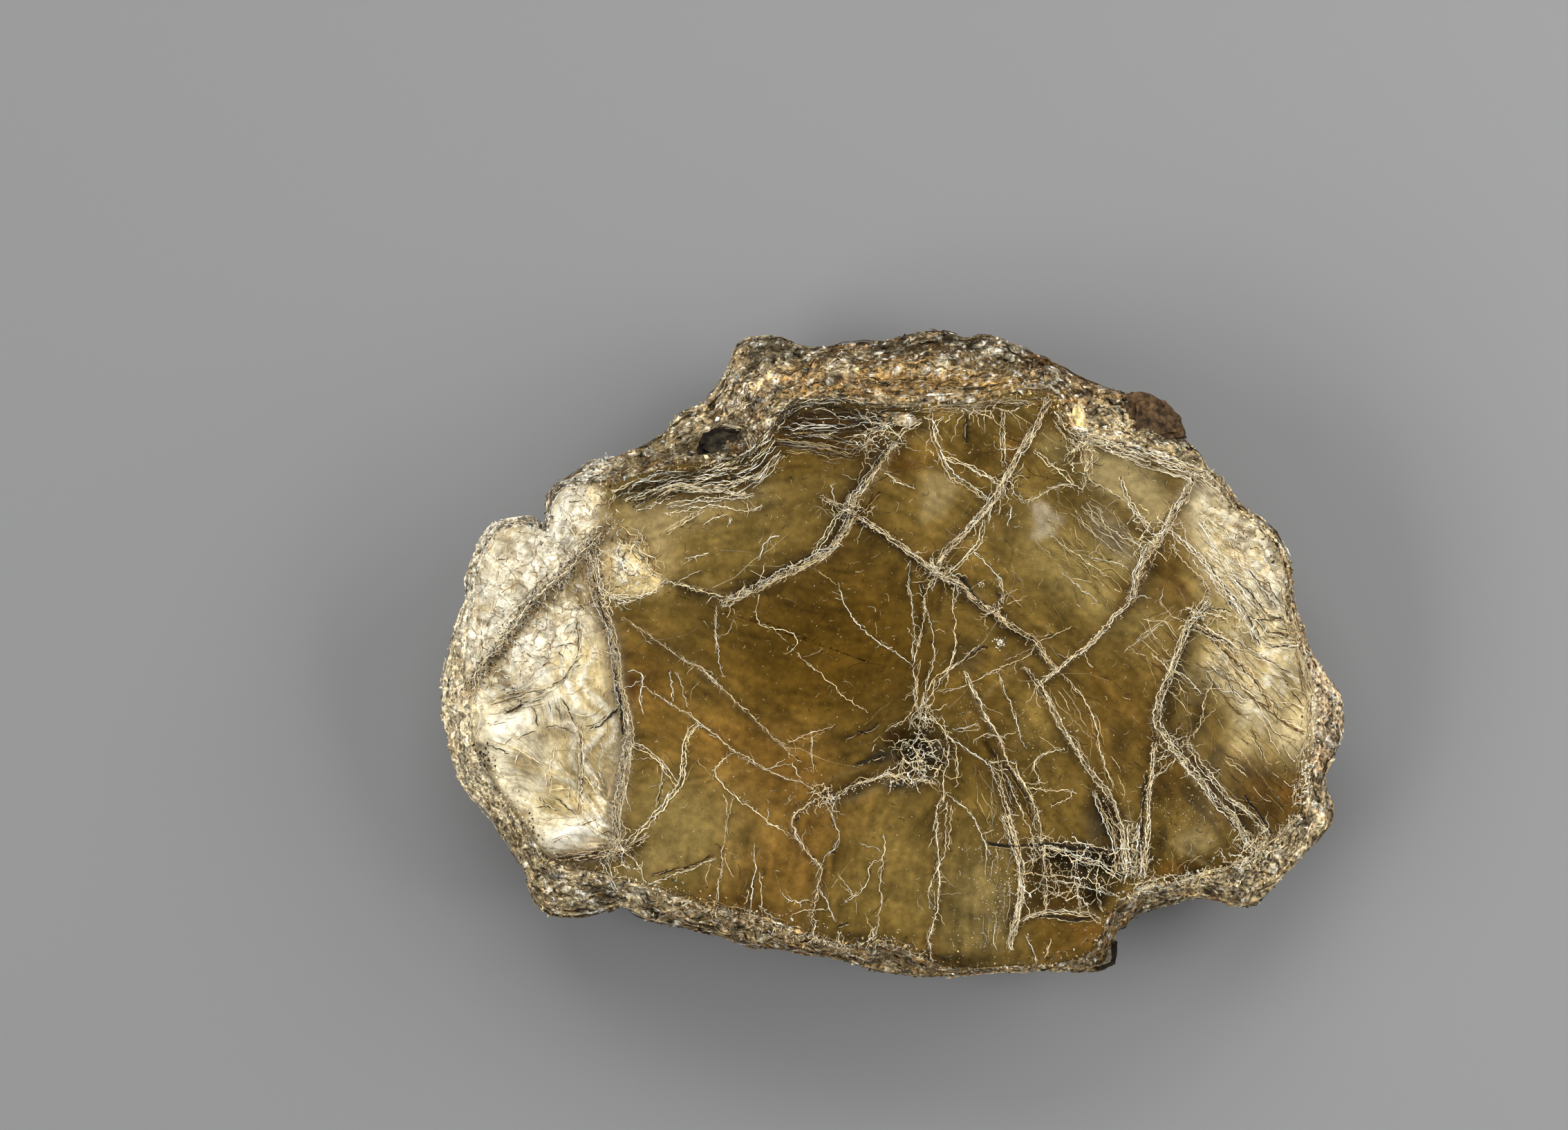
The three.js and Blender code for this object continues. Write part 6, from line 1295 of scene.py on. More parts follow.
def add_threads(name, bundles, rough=0.06):
    """One mesh of three-sided threads from bundles of (paths, radii, tints), each thread closed at its
    ends, with a flat underside and a ridge along its top. Every point is moved by a random step of about
    rough, every radius made up to half thicker or thinner, and every colour a little darker or lighter, so
    that the threads look torn."""
    points, faces, tints, first = [], [], [], 0
    for paths, radii, tint in bundles:
        count, length = radii.shape
        paths = paths + rng.normal(0, rough, paths.shape) * [1, 1, 0.5]
        radii = radii * rng.uniform(0.5, 1.5, radii.shape)
        tint = np.repeat(tint, length, 0) * rng.uniform(0.7, 1.25, (count * length, 1))
        tangent = np.gradient(paths, axis=1)
        side = np.cross(tangent, [0, 0, 1.0]) + 1e-9
        side /= np.linalg.norm(side, axis=-1, keepdims=True)
        reach = radii[..., None]
        ring = np.stack([paths - side * reach, paths + reach * [0, 0, 0.9], paths + side * reach], 2)
        points.append(ring.reshape(-1, 3))
        start = first + np.arange(count) * length * 3
        quads = grid_faces(length, 3, closed=True)[None] + start[:, None, None]
        near = start[:, None] + [2, 1, 0]
        far = start[:, None] + (length - 1) * 3 + np.array([0, 1, 2])
        faces += [quads.reshape(-1, 4), near, far]
        tints.append(np.repeat(tint, 3, 0))
        first += count * length * 3
    return add_piece(name, np.vstack(points), faces, np.vstack(tints), smooth=False)


thread_material = mica_material("frayed_mica", roughness=0.5, specular=0.2,
                                grain_size=0.5, grain_height=0.02, contrast=0.4)
bundles, barbs = [], []
for route, width, _, _, _, strands in SEAMS:
    bundles.append(seam_threads(route, 0.6 * width, strands=1.4 * strands * min(1, 0.9 * width),
                                thickness=0.034, dark_share=0.34))
    for side in ((-1, 1) if strands > 4 else (0,)):
        bundles.append(long_thread(route, side * 0.26 * width, 0.03 + 0.012 * width, PALE_MIX))
    bundles += twigs(route, density=0.3, thickness=0.03)
    barbs.append(seam_barbs(route, 0.5 * width, density=6 * width, thickness=0.032))
for width, strands, route in BRANCHES:
    bundles.append(seam_threads(route, 0.5 * width, strands=0.7 * strands,
                                thickness=0.02 + 0.012 * min(1, width), dark_share=0.3))
    for side in ((-0.22, 0.22) if width >= BROAD_BRANCH else (0,)):
        bundles.append(long_thread(route, side * width, 0.027 + 0.02 * width, PALE_MIX))
    bundles += twigs(route, density=0.16, thickness=0.024)
    barbs.append(seam_barbs(route, 0.5 * width, density=4.5 * width, thickness=0.03))
# Each crack is filled with dark threads of painted shade, with a pale thread along one edge.
for width, route in SLITS:
    bundles.append(seam_threads(route, 0.5 * width, strands=8 * width, thickness=0.05, dark_share=1.0))
    bundles.append(long_thread(route, 0, 0.22 * width, ["pitch", "umber", "soot"]))
    bundles.append(long_thread(route, 0.5 * width, 0.035, ["tan", "sand", "ochre"]))
# Each dark line of painted shade gets a pale line of painted highlight beside it, and each pale line a tan
# one of painted shade.
for thickness, dark, route in CREASES:  # each with a thinner line of the other shade beside it
    bundles.append(long_thread(route, 0, thickness, DARK_MIX if dark else PALE_MIX))
    bundles.append(long_thread(route, 0.09, 0.6 * thickness, PALE_MIX if dark else ["tan", "ochre"]))
for route in EDGE_FRINGES:
    barbs.append(seam_barbs(route, 0.9, density=9, thickness=0.055))
seam_fringes = add_threads("seam_fringes", bundles)
torn_hairs = add_threads("torn_hairs", barbs)
for piece in (seam_fringes, torn_hairs):
    piece.data.materials.append(thread_material)
    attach(piece, "root")

# ------------------------------------------------------------------------------------------------------
# Fibre nests: tangles of curled mica threads where seams meet, the biggest in a hollow at the middle of
# the face. They are the frayed ends of torn sheets, pale over dark.
# ------------------------------------------------------------------------------------------------------
NEST_POINTS, WEB_POINTS = 10, 7
# middle x, middle y, half length, half width, turn, threads, height
NESTS = [
    (2.6, -10.9, 2.6, 2.3, 0, 26, 0.9), (2.0, -13.0, 3.0, 0.8, 10, 16, 0.6),
     (3.4, -7.6, 1.0, 1.8, 0, 20, 0.6),
    (11.4, 5.0, 0.9, 0.7, 0, 26, 0.5), (5.0, 8.8, 1.3, 0.8, -35, 34, 0.5),
     (-4.6, 15.9, 1.0, 0.8, 40, 24, 0.5),
    (-7.6, -15.6, 1.4, 0.7, 15, 30, 0.5), (12.2, 18.6, 1.2, 0.8, 60, 28, 0.5),
     (25.0, -22.0, 1.6, 3.2, 0, 26, 0.5),
    (27.2, -22.6, 1.0, 3.0, 0, 16, 0.5), (16.0, -21.0, 1.2, 2.2, 0, 30, 0.5),
     (28.6, 12.6, 1.6, 1.2, 40, 40, 0.6),
    (33.6, 3.8, 1.2, 1.0, 0, 30, 0.6), (30.4, -9.8, 1.2, 1.0, 0, 30, 0.6),
     (-30.6, -21.6, 1.6, 1.2, 0, 40, 0.7),
    (-31.6, 6.6, 1.2, 1.6, 0, 34, 0.6), (-1.6, 23.6, 2.2, 1.4, 40, 40, 0.6),
     (9.6, 26.9, 3.6, 0.6, 8, 22, 0.3),
    (20.6, 22.4, 1.0, 1.4, 0, 36, 0.6), (31.4, -25.4, 3.0, 1.0, 6, 50, 0.8),
     (38.6, -22.2, 2.4, 1.2, 30, 60, 0.9),
    (20.0, -24.5, 3.4, 3.0, 0, 16, 0.4), (-28.4, 11.8, 2.0, 0.8, -30, 26, 0.5),
]


def turned(u, v, cx, cy, turn):
    """Spots of a form about its middle (cx, cy), from u along it, v across it and its turn in degrees."""
    angle = math.radians(turn)
    return cx + u * math.cos(angle) - v * math.sin(angle), cy + u * math.sin(angle) + v * math.cos(angle)


def crooked(x, y, stride, heading):
    """Paths from starting spots, each step stride long in its own heading."""
    return x + np.cumsum(stride * np.cos(heading), 1), y + np.cumsum(stride * np.sin(heading), 1)


bundles = []
for cx, cy, half, across, turn, count, rise in NESTS:
    u, v = rng.normal(0, 0.5 * half, (count, 1)), rng.normal(0, 0.5 * across, (count, 1))
    t = np.linspace(0, 1, NEST_POINTS)
    bend = np.cumsum(rng.normal(0, 0.5, (count, NEST_POINTS)), 1) + rng.uniform(-1, 1, (count, 1)) * t
    heading = rng.uniform(0, 2 * math.pi, (count, 1)) + bend
    stride = rng.uniform(0.5, 1.3, (count, 1)) * min(3.4, 1.2 + half) / NEST_POINTS
    path_x, path_y = crooked(*turned(u, v, cx, cy, turn), stride, heading)
    arch = rng.uniform(0.05, 1, (count, 1)) ** 1.6 * rise * np.sin(math.pi * (0.06 + 0.88 * t))
    path = on_sheet(path_x, path_y, 0.05 + arch)
    radius = rng.uniform(0.02, 0.045, (count, 1)) * (1 - 0.7 * t**2)
    dark = (rng.uniform(0, 1, count) < 0.3)[:, None]
    tint = np.where(dark, mixed(DARK_MIX, count), mixed(THREAD_MIX + PALE_MIX, count))
    kept = kept_inside(path_x, path_y, 1.01)
    bundles.append((path[kept], radius[kept], tint[kept]))

# Webs of torn mica around small hollows: middle x, middle y, half length, half width, turn, cell
WEBS = [
    (2.8, -11.2, 3.2, 2.7, 20, 1.05), (2.4, -12.8, 3.2, 1.2, 8, 0.8), (19.4, -24.2, 5.2, 3.6, -8, 1.25),
    (25.6, -22.6, 2.4, 3.0, 0, 0.9), (32.0, -25.0, 4.6, 1.1, 4, 0.6), (39.4, -21.8, 3.6, 1.5, 40, 0.7),
    (45.0, -14.6, 1.0, 4.0, 0, 0.6), (-1.8, 24.0, 2.8, 1.4, 30, 0.7), (11.2, 26.8, 5.4, 0.9, 8, 1.3),
    (-29.6, 8.8, 3.2, 3.2, 0, 1.1), (-31.0, -23.2, 2.2, 1.4, 0, 0.7), (4.6, 24.0, 2.0, 2.6, 0, 1.1),
    (20.8, 21.2, 1.4, 2.6, 0, 0.9), (28.2, 14.2, 2.2, 1.8, 50, 0.8), (36.6, 3.4, 4.6, 1.4, -20, 0.8),
]


def comb_corner(i, j, kind, cell):
    """Corner of a honeycomb, kind 0 or 1 in cell (i, j), pushed about by a third of a cell."""
    push = 0.7 * np.stack([chance(i, j, kind + cell), chance(j, i, kind + 5 + cell)], -1) - 0.35
    return (np.stack([1.732 * i + 0.866 * j, 1.5 * j + kind], -1) + push) * cell


for cx, cy, half, across, turn, cell in WEBS:
    reach = int(max(half, across) / cell) + 2
    cells = np.arange(-reach, reach + 1)
    i, j = [grid.ravel() for grid in np.meshgrid(cells, cells)]
    hub = comb_corner(i, j, 1, cell)
    start = np.vstack([comb_corner(i, j, 0, cell), hub, hub])
    stop = np.vstack([hub, comb_corner(i, j + 1, 0, cell), comb_corner(i - 1, j + 1, 0, cell)])
    middle = (start + stop) / 2
    kept = ((middle[:, 0] / half) ** 2 + (middle[:, 1] / across) ** 2
            < rng.uniform(0.5, 1.3, len(middle))) & (rng.uniform(0, 1, len(middle)) < 0.85)
    start, stop = start[kept], stop[kept]
    count = len(start)
    t = np.linspace(-0.1, 1.1, WEB_POINTS)
    spot = start[:, None] + (stop - start)[:, None] * t[:, None]
    path_x, path_y = turned(spot[..., 0], spot[..., 1], cx, cy, turn)
    path = on_sheet(path_x, path_y, rng.uniform(0.05, 0.5, (count, 1)))
    radius = rng.uniform(0.02, 0.05, (count, 1)) * np.ones(WEB_POINTS)
    kept = kept_inside(path_x, path_y, 1.01)
    bundles.append((path[kept], radius[kept], mixed(THREAD_MIX + PALE_MIX, count)[kept]))
fibre_nests = add_threads("fibre_nests", bundles, rough=0.09)
fibre_nests.data.materials.append(thread_material)
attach(fibre_nests, "root")

# ------------------------------------------------------------------------------------------------------
# Sheet-edge bundles: stacks of fine sheet edges where the face breaks down to the rim, mostly along its
# upper left, seen as close wavy lines of black, grey and cream. They are mica laminae, part of the book.
# ------------------------------------------------------------------------------------------------------
BUNDLE_POINTS = 10
# upper route, lower route, lines, radius of the thickest, names of colours
BUNDLES = [
    ([(-31, -20.6), (-31, -12), (-31.4, -5)], [(-31.5, -20.6), (-38, -15), (-44.6, -9.6)], 60, 0.03,
     ["pearl", "straw", "pale olive", "pearl", "gold", "tan", "cream"]),
    ([(-34, 0), (-38, -1), (-44, -3)], [(-31.4, -6), (-36, -8), (-44.6, -9)], 34, 0.036,
     ["pearl", "olive", "pale olive", "cream", "bark"]),
    ([(18.4, 17.6), (22, 14), (26.6, 9)], [(15.6, 12), (19.6, 8.6), (23.4, 4.4)], 90, 0.03,
     ["straw", "pale olive", "olive", "bark"]),
    ([(28, 6), (33, 2.4), (38, -1.6)], [(25, -1), (29, -5), (33, -9)], 80, 0.03,
     ["straw", "pale olive", "wheat", "bark", "umber"]),
    ([(38, -8), (41, -10), (44.6, -13)], [(36, -12), (39, -15), (43, -19.4)], 40, 0.034,
     ["wheat", "bark", "umber", "straw", "ochre"]),
    ([(15.6, -3), (20, -12), (24.4, -21)], [(20, -2.4), (24, -10), (27, -20)], 40, 0.034,
     ["straw", "gold", "wheat", "bark"]),
    ([(8, -12), (9.6, -20), (9.6, -32)], [(13, -14), (13.8, -22), (13, -33)], 40, 0.034,
     ["straw", "ash", "bone", "bark"]),
    ([(-13.5, 24.6), (-12.4, 26.6), (-10.5, 28), (-8, 28.3), (-4.4, 28), (-1.4, 27.4), (2.3, 27.4)],
     [(-13, 24), (-11.9, 25.6), (-10, 26.9), (-7.4, 27.1), (-4.4, 26.7), (-1.4, 26), (1.8, 26)],
     90, 0.05, ["smoke black", "soot", "pitch", "slate", "ash", "bark", "bone"]),
    ([(-12, 25.6), (-10, 26.9), (-7.4, 27.1), (-4.4, 26.7), (-1.4, 26), (1.8, 26)],
     [(-12.4, 24.2), (-9.6, 23.8), (-7, 23.6), (-4.6, 23.8), (-2.4, 24.2), (0.6, 25.2)],
     110, 0.045, ["ash", "slate", "bone", "soot", "pitch", "pearl", "umber", "pitch"]),
    ([(-13.2, 24), (-10.4, 24.2), (-7, 24), (-4.6, 23.8), (-2.4, 23.8)],
     [(-13.6, 22), (-10, 22), (-7.6, 21.6), (-5, 20.8), (-3.2, 20.4)], 90, 0.04,
     ["tan", "bark", "umber", "straw", "ash", "pitch", "bone"]),
    ([(-22.4, 22), (-21.4, 24.4), (-18.6, 25.6), (-15.8, 24.8), (-14.6, 22.4)],
     [(-21.6, 22), (-20.4, 23.8), (-18.6, 24.7), (-16.6, 24.2), (-15.8, 22.2)], 60, 0.05,
     ["bone", "tan", "ash", "sand", "umber"]),
    ([(-21, 24.4), (-19, 25.2), (-17, 24.6), (-15.2, 23.6)], [(-20.4, 21.4), (-18.4, 20.8), (-16.6, 21.4),
     (-15, 22.4)],
     50, 0.034, ["pitch", "soot", "smoke black", "slate", "ash"]),
    ([(-31, 17.8), (-28, 19.2), (-24.6, 20.3), (-20, 21.0), (-17.6, 21.6), (-15.6, 22.6), (-13.6, 24.6)],
     [(-27.6, 15.6), (-26, 16.4), (-24, 17.4), (-20, 17.2), (-17, 17.6), (-14.6, 18.6), (-12, 21.5)],
     330, 0.042, ["bone", "pitch", "pitch", "bark", "cream", "soot", "straw", "pearl", "smoke black",
     "cream"]),
    ([(2.3, 27), (5.4, 27.4), (8.4, 27.4), (11.2, 28.1), (14.4, 28.4), (17.0, 28.0)],
     [(1.4, 25.8), (5.4, 26.2), (8.4, 26.3), (11.2, 27.0), (14.4, 27.3), (16.6, 26.8)],
     70, 0.036, ["bone", "smoke black", "tan", "bark", "ochre", "ash"]),
    ([(18.4, 27), (19.2, 25.4), (20.4, 24.2), (24.6, 22.9), (27.4, 21.9), (33, 20.3), (36.2, 17.4)],
     [(17.2, 26), (18.8, 23.8), (20.4, 22.8), (24.4, 21.8), (27.0, 20.7), (31.6, 19.2), (34.8, 16.8)],
     90, 0.05, ["cream", "bone", "sand", "tan", "bark"]),
    ([(-38.8, -21.2), (-35, -23), (-30, -24.2), (-25.4, -25.2), (-21.8, -26.5), (-17.6, -27.4),
     (-13, -28.6)],
     [(-40.6, -20.2), (-35.6, -24), (-30.4, -25.2), (-25.6, -26.6), (-21.8, -27.7), (-17.6, -28.6),
     (-13, -29.9)],
     50, 0.034, ["tan", "ochre", "bark", "sand", "soot", "umber"]),
    ([(-13, -28.4), (-9, -30.0), (-5.4, -31.2), (-2.6, -31.2), (0.2, -31.2), (3.4, -32.6), (6, -33.7)],
     [(-13, -29.8), (-9, -31.4), (-5.4, -32.6), (-2.6, -32.6), (0.2, -32.6), (3.2, -34.0), (5.6, -34.9)],
     40, 0.034, ["tan", "ochre", "bark", "chestnut", "pitch", "soot"]),
    ([(-45.8, -10.8), (-44.6, -5), (-45, 0), (-44.6, 4), (-43.5, 9), (-42.5, 12.6)],
     [(-46.8, -10.6), (-46.9, -5), (-47, 0), (-46.2, 5), (-45.4, 10), (-43.8, 13.6)],
     30, 0.045, ["cream", "sand", "wheat", "tan", "pearl"]),
    ([(-33.0, 13.6), (-35.4, 11.8), (-37.2, 9.6), (-39.6, 7.4), (-41.6, 5.2), (-43.4, 2.8), (-46, -0.6)],
     [(-32.2, 12.6), (-33.8, 10.6), (-36.2, 8.6), (-38.6, 6.4), (-40.4, 4.2), (-42.4, 1.8), (-45.6, -2.6)],
     40, 0.034, ["tan", "bone", "ash", "soot", "sand", "slate", "bark", "pitch"]),
    ([(43.6, 8), (44.6, 3), (45.6, -1), (46.6, -5), (46.4, -9), (45.6, -13), (45.2, -17)],
     [(42.2, 8), (43.2, 3), (44.4, -1.4), (45.4, -5), (45, -9), (44.2, -13), (43.6, -17)],
     50, 0.05, ["cream", "blush", "sand", "tan", "bark", "rust"]),
    ([(44.4, -18), (41.6, -20.6), (39.6, -22), (37, -23.2), (33.4, -23.8), (28.4, -24.6), (25.4, -26)],
     [(43.4, -19.4), (40.8, -21.9), (38.4, -23.3), (36, -24.2), (33.2, -24.8), (28.4, -25.7), (25.8, -27)],
     60, 0.045, ["wheat", "tan", "bark", "sand", "pitch", "cream"]),
    ([(24.4, 0.2), (27.6, 3.6), (30.4, 6)], [(26, -0.4), (29, 2), (32, 3.4)],
     16, 0.04, ["bone", "sand", "bark"]),
    ([(32.6, 10), (35.4, 7), (38, 4.6)], [(36.4, 12.6), (39, 8.6), (41.4, 4.6)],
     60, 0.045, ["pearl", "cream", "pearl", "straw"]),
    ([(27.6, 12), (25, 14.6), (22.4, 17.4)], [(26.4, 9.6), (22.6, 12.6), (19.6, 15.4)], 40, 0.034,
     ["bone", "straw", "sand", "pale olive"]),
    ([(38.4, 7.4), (41.4, 4.4), (44, 3.4)], [(38.6, 4.2), (41.4, 0.8), (45, 0)], 44, 0.045,
     ["cream", "bone", "bark", "sand", "pitch"]),
    ([(34.5, 3.5), (39, 0.8), (45.6, -3.5)], [(34.2, -2.4), (38.6, -7), (44.4, -12)], 130, 0.04,
     ["pearl", "cream", "cream", "straw", "bark", "olive", "umber"]),
    ([(34.6, 16), (39, 12.4), (43.6, 9)], [(32.6, 12.6), (36.4, 8.4), (43, 4.4)], 60, 0.045,
     ["pearl", "cream", "straw", "pearl", "tan", "bark"]),
    ([(-43.9, -5.2), (-40, -4.4), (-36, -2.4), (-34, 0.6)], [(-43, -6.6), (-40.4, -5.9), (-37, -4.4),
     (-34.4, -1.6)], 14, 0.05,
     ["bark", "cream", "tan", "pitch", "bone"]),
]


def on_rim(row, column):
    """Spots on the rim's grid at fractional rows and columns, by blending the four nearest points."""
    r = np.clip(np.floor(row).astype(int), 0, levels - 2)
    c = np.floor(column).astype(int)
    s, t = (row - r)[..., None], (column - c)[..., None]
    c0, c1 = c % OUTLINE_POINTS, (c + 1) % OUTLINE_POINTS
    return blended(blended(wall[r, c0], wall[r, c1], t), blended(wall[r + 1, c0], wall[r + 1, c1], t), s)


def top_height(x, y):
    """Height of the specimen's top: that of the face or, past its edge, that of the rim's grid in the same
    direction, as many rows out as the spot's share of the way to the widest outline."""
    edge_turn = np.unwrap(from_middle(*rim[:, 3:].T)[0])
    turn, reach = from_middle(x, y)
    turn = edge_turn[0] - (edge_turn[0] - turn) % (2 * math.pi)
    column = np.interp(-turn, -edge_turn, np.arange(OUTLINE_POINTS))
    last = RIM_LEVELS_ABOVE - 1
    near, far = (from_middle(*np.moveaxis(on_rim(0 * column + row, column)[..., :2], -1, 0))[1]
                 for row in (0, last))
    way_out = (reach - near) / (far - near)
    past = on_rim(np.clip(way_out, 0, 1) * last, column)[..., 2]
    return np.where(way_out > 0, past, face_height(x, y))


bundles = []
for upper, lower, count, thickest, names in BUNDLES:
    distance = route_length(upper)
    half = np.minimum(0.5, rng.uniform(0.8, 2.8, (count, 1)) / distance)
    t = np.linspace(-1, 1, BUNDLE_POINTS)
    middle, place = rng.uniform(0, 1, (count, 1)), rng.uniform(0, 1, (count, 1))
    along = np.clip(middle + half * t, 0, 1)
    marks = np.linspace(0, 1, len(upper))
    mix = np.clip(place + 0.16 * clouds(along * distance, 30 * place, 2.6, 75), 0, 1)
    path = np.stack([blended(*(np.interp(along, marks, axis) for axis in pair), mix)
                     for pair in zip(zip(*upper), zip(*lower))], -1)
    path[..., 0] += 0.2 * clouds(along * distance, 50 * place, 0.8, 76)
    path[..., 1] += 0.2 * clouds(along * distance, 50 * place, 0.8, 77)
    lift = rng.uniform(0.0, 0.3, (count, 1)) * np.cos(0.5 * math.pi * t)
    height = top_height(path[..., 0], path[..., 1]) + 0.02 + lift
    radius = rng.uniform(0.35, 1, (count, 1)) * thickest * spindle(t)
    bundles.append((np.concatenate([path, height[..., None]], -1), radius, mixed(names, count)))
sheet_edges = add_threads("sheet_edges", bundles)
sheet_edges.data.materials.append(thread_material)
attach(sheet_edges, "root")

# ------------------------------------------------------------------------------------------------------
# Face grit: short faint hairs, scratches and specks all over the sheets, where the surface has begun to
# split. They are slivers of the same mica, paler than the sheet they lie on.
# ------------------------------------------------------------------------------------------------------
HAIRS, LONG_HAIRS, HAIR_POINTS = 1800, 110, 6
CRACKLES, CRACKLE_POINTS = 900, 5
SPECKS = 3400


def on_face(count):
    """count random spots on the face: a random share of the way from its middle to a random edge spot,
    spread evenly by taking the square root of the share."""
    edge_spot = rim[rng.integers(OUTLINE_POINTS, size=count), 3:]
    return FACE_MIDDLE + (edge_spot - FACE_MIDDLE) * np.sqrt(rng.uniform(0, 0.97, count))[:, None]


spot = on_face(3 * HAIRS)
crowded = 0.3 + 0.7 * np.maximum(bell(*spot.T, 33, -10, 16, 12, -50), bell(*spot.T, 2, 22, 16, 5, 0))
spot = spot[rng.uniform(0, 1, len(spot)) < crowded][:HAIRS]
t = np.linspace(0, 1, HAIR_POINTS)
long_one = (np.arange(HAIRS) < LONG_HAIRS)[:, None]
heading = trend_at(spot)[:, None] + rng.normal(0, 1, (HAIRS, 1)) * np.where(long_one, 0.2, 0.7)
heading = heading + rng.uniform(-1, 1, (HAIRS, 1)) * np.where(long_one, 0.6, 2.4) * t
heading += np.cumsum(rng.normal(0, 0.25, (HAIRS, HAIR_POINTS)), 1)
stride = (0.25 + rng.gamma(1.4, 0.4, (HAIRS, 1))) * np.where(long_one, 7, 1) / HAIR_POINTS
path_x, path_y = crooked(spot[:, :1], spot[:, 1:], stride, heading)
ground, _ = face_colour(spot[:, 0], spot[:, 1])
blend = rng.uniform(0.15, 0.75, (HAIRS, 1))
tint = blended(ground, mixed(["straw", "gold", "cream", "pale olive"], HAIRS), blend)
dark = (rng.uniform(0, 1, HAIRS) < 0.25)[:, None]
tint = np.where(dark, 0.45 * ground, tint)
on_foil = foil_share(spot[:, 0], spot[:, 1])[:, None] > 0.5
tint = np.where(on_foil, mixed(["ochre", "bark", "tan", "honey", "pearl"], HAIRS), tint)
path = on_sheet(path_x, path_y, 0.02)
radius = rng.uniform(0.02, 0.05, (HAIRS, 1)) * (1 - 0.6 * t)
kept = kept_inside(path_x, path_y)
bundles = [(path[kept], radius[kept], tint[kept])]

# Crackle where the foil is flaky: short crooked edges, brown in the cracks and white where they catch light
spot = []
for outline, most in ((FLAKY_FOIL, CRACKLES), (FLAKY_LOBE, CRACKLES // 4)):
    tried = rng.uniform(np.min(outline, 0), np.max(outline, 0), (5 * most, 2))
    spot.append(tried[inside(tried[:, 0], tried[:, 1], outline, 0.3) > 0.5][:most])
spot = np.vstack(spot)
count = len(spot)
t = np.linspace(0, 1, CRACKLE_POINTS)
heading = rng.uniform(0, 2 * math.pi, (count, 1))
heading = heading + np.cumsum(rng.normal(0, 0.5, (count, CRACKLE_POINTS)), 1)
stride = rng.uniform(0.5, 1.9, (count, 1)) / CRACKLE_POINTS
path_x, path_y = crooked(spot[:, :1], spot[:, 1:], stride, heading)
path = on_sheet(path_x, path_y, 0.02)
radius = rng.uniform(0.025, 0.06, (count, 1)) * (1 - 0.6 * t)
names = ["bark", "ochre", "tan", "umber", "pearl", "pearl", "cream", "sand"]
kept = kept_inside(path_x, path_y)
bundles.append((path[kept], radius[kept], mixed(names, count)[kept]))
face_hairs = add_threads("face_hairs", bundles, rough=0.03)


def add_crumbs(name, spot, size, tint, flatness):
    """Small angular crumbs as one mesh: octahedra with random axes, six tips each, pushed about by an
    eighth of their size, their third axis shorter by flatness."""
    count = len(spot)
    axes = rng.normal(0, 1, (count, 2, 3))
    first = axes[:, 0] / np.linalg.norm(axes[:, 0], axis=1, keepdims=True)
    third = np.cross(first, axes[:, 1])
    third /= np.linalg.norm(third, axis=1, keepdims=True)
    arms = np.stack([first, np.cross(third, first), third], 1)
    arms = arms * (rng.uniform(0.6, 1.2, (count, 3)) * [1, 0.85, flatness] * size[:, None])[..., None]
    tips = np.stack([spot + arms[:, 0], spot + arms[:, 1], spot - arms[:, 0], spot - arms[:, 1],
                     spot + arms[:, 2], spot - arms[:, 2]], 1)
    tips += rng.normal(0, 0.12, tips.shape) * size[:, None, None]
    tips[..., 2] = np.maximum(tips[..., 2], 0.02)
    octahedron = np.array([[0, 1, 4], [1, 2, 4], [2, 3, 4], [3, 0, 4],
                           [1, 0, 5], [2, 1, 5], [3, 2, 5], [0, 3, 5]])
    triangles = (octahedron[None] + 6 * np.arange(count)[:, None, None]).reshape(-1, 3)
    return add_piece(name, tips.reshape(-1, 3), [triangles], np.repeat(tint, 6, 0), smooth=False)


# Patches of dust: middle x, middle y, half length, half width, turn, specks, widest speck, names of colours
DUST = [
    (11.8, 1.2, 0.5, 0.5, 0, 60, 0.16, ["pearl", "ash", "pearl"]),
     (9.6, 7.7, 0.3, 0.3, 0, 14, 0.14, ["pearl"]),
    (12, -25, 2.8, 5.0, 0, 480, 0.09, ["ash", "bone", "pearl"]),
    (19.6, -25, 3.4, 3.0, 0, 260, 0.12, ["bone", "ash", "pitch", "pearl"]),
    (31, -17, 6.0, 5.0, 0, 220, 0.1, ["straw", "bone", "umber"]),
     (10, -31, 3.4, 1.6, 0, 120, 0.1, ["ash", "bone"]),
    (1.4, -14.0, 1.9, 0.5, 10, 60, 0.24, ["ash", "pearl", "slate"]),
     (3, -11, 1.6, 1.6, 0, 60, 0.2, ["pearl", "ash"]),
    (46.4, -7, 0.4, 3.4, 0, 130, 0.26, ["pearl", "bone", "cream"]),
     (45.6, -14, 0.6, 3.0, 0, 120, 0.28, ["pearl", "cream"]),
    (34.8, 12.5, 0.5, 2.6, 16, 90, 0.18, ["pearl", "bone"]),
     (-41.5, -4.6, 1.8, 0.9, 22, 60, 0.22, ["ash", "soot", "bone"]),
    (-45, -11.6, 0.9, 1.4, 30, 60, 0.3, ["soot", "bone", "ash", "pitch"]),
     (8.4, -6, 1.2, 2.2, 0, 50, 0.13, ["ash"]),
    (-40.2, -19.4, 1.0, 1.6, 20, 60, 0.28, ["soot", "bone", "bark"]),
     (20, -22.4, 3.6, 1.0, -6, 70, 0.16, ["bone", "pitch"]),
    (-11.4, -16, 0.6, 0.6, 0, 12, 0.12, ["bone"]), (14.6, -8.6, 1.8, 1.8, 0, 50, 0.1, ["bone", "gold"]),
]
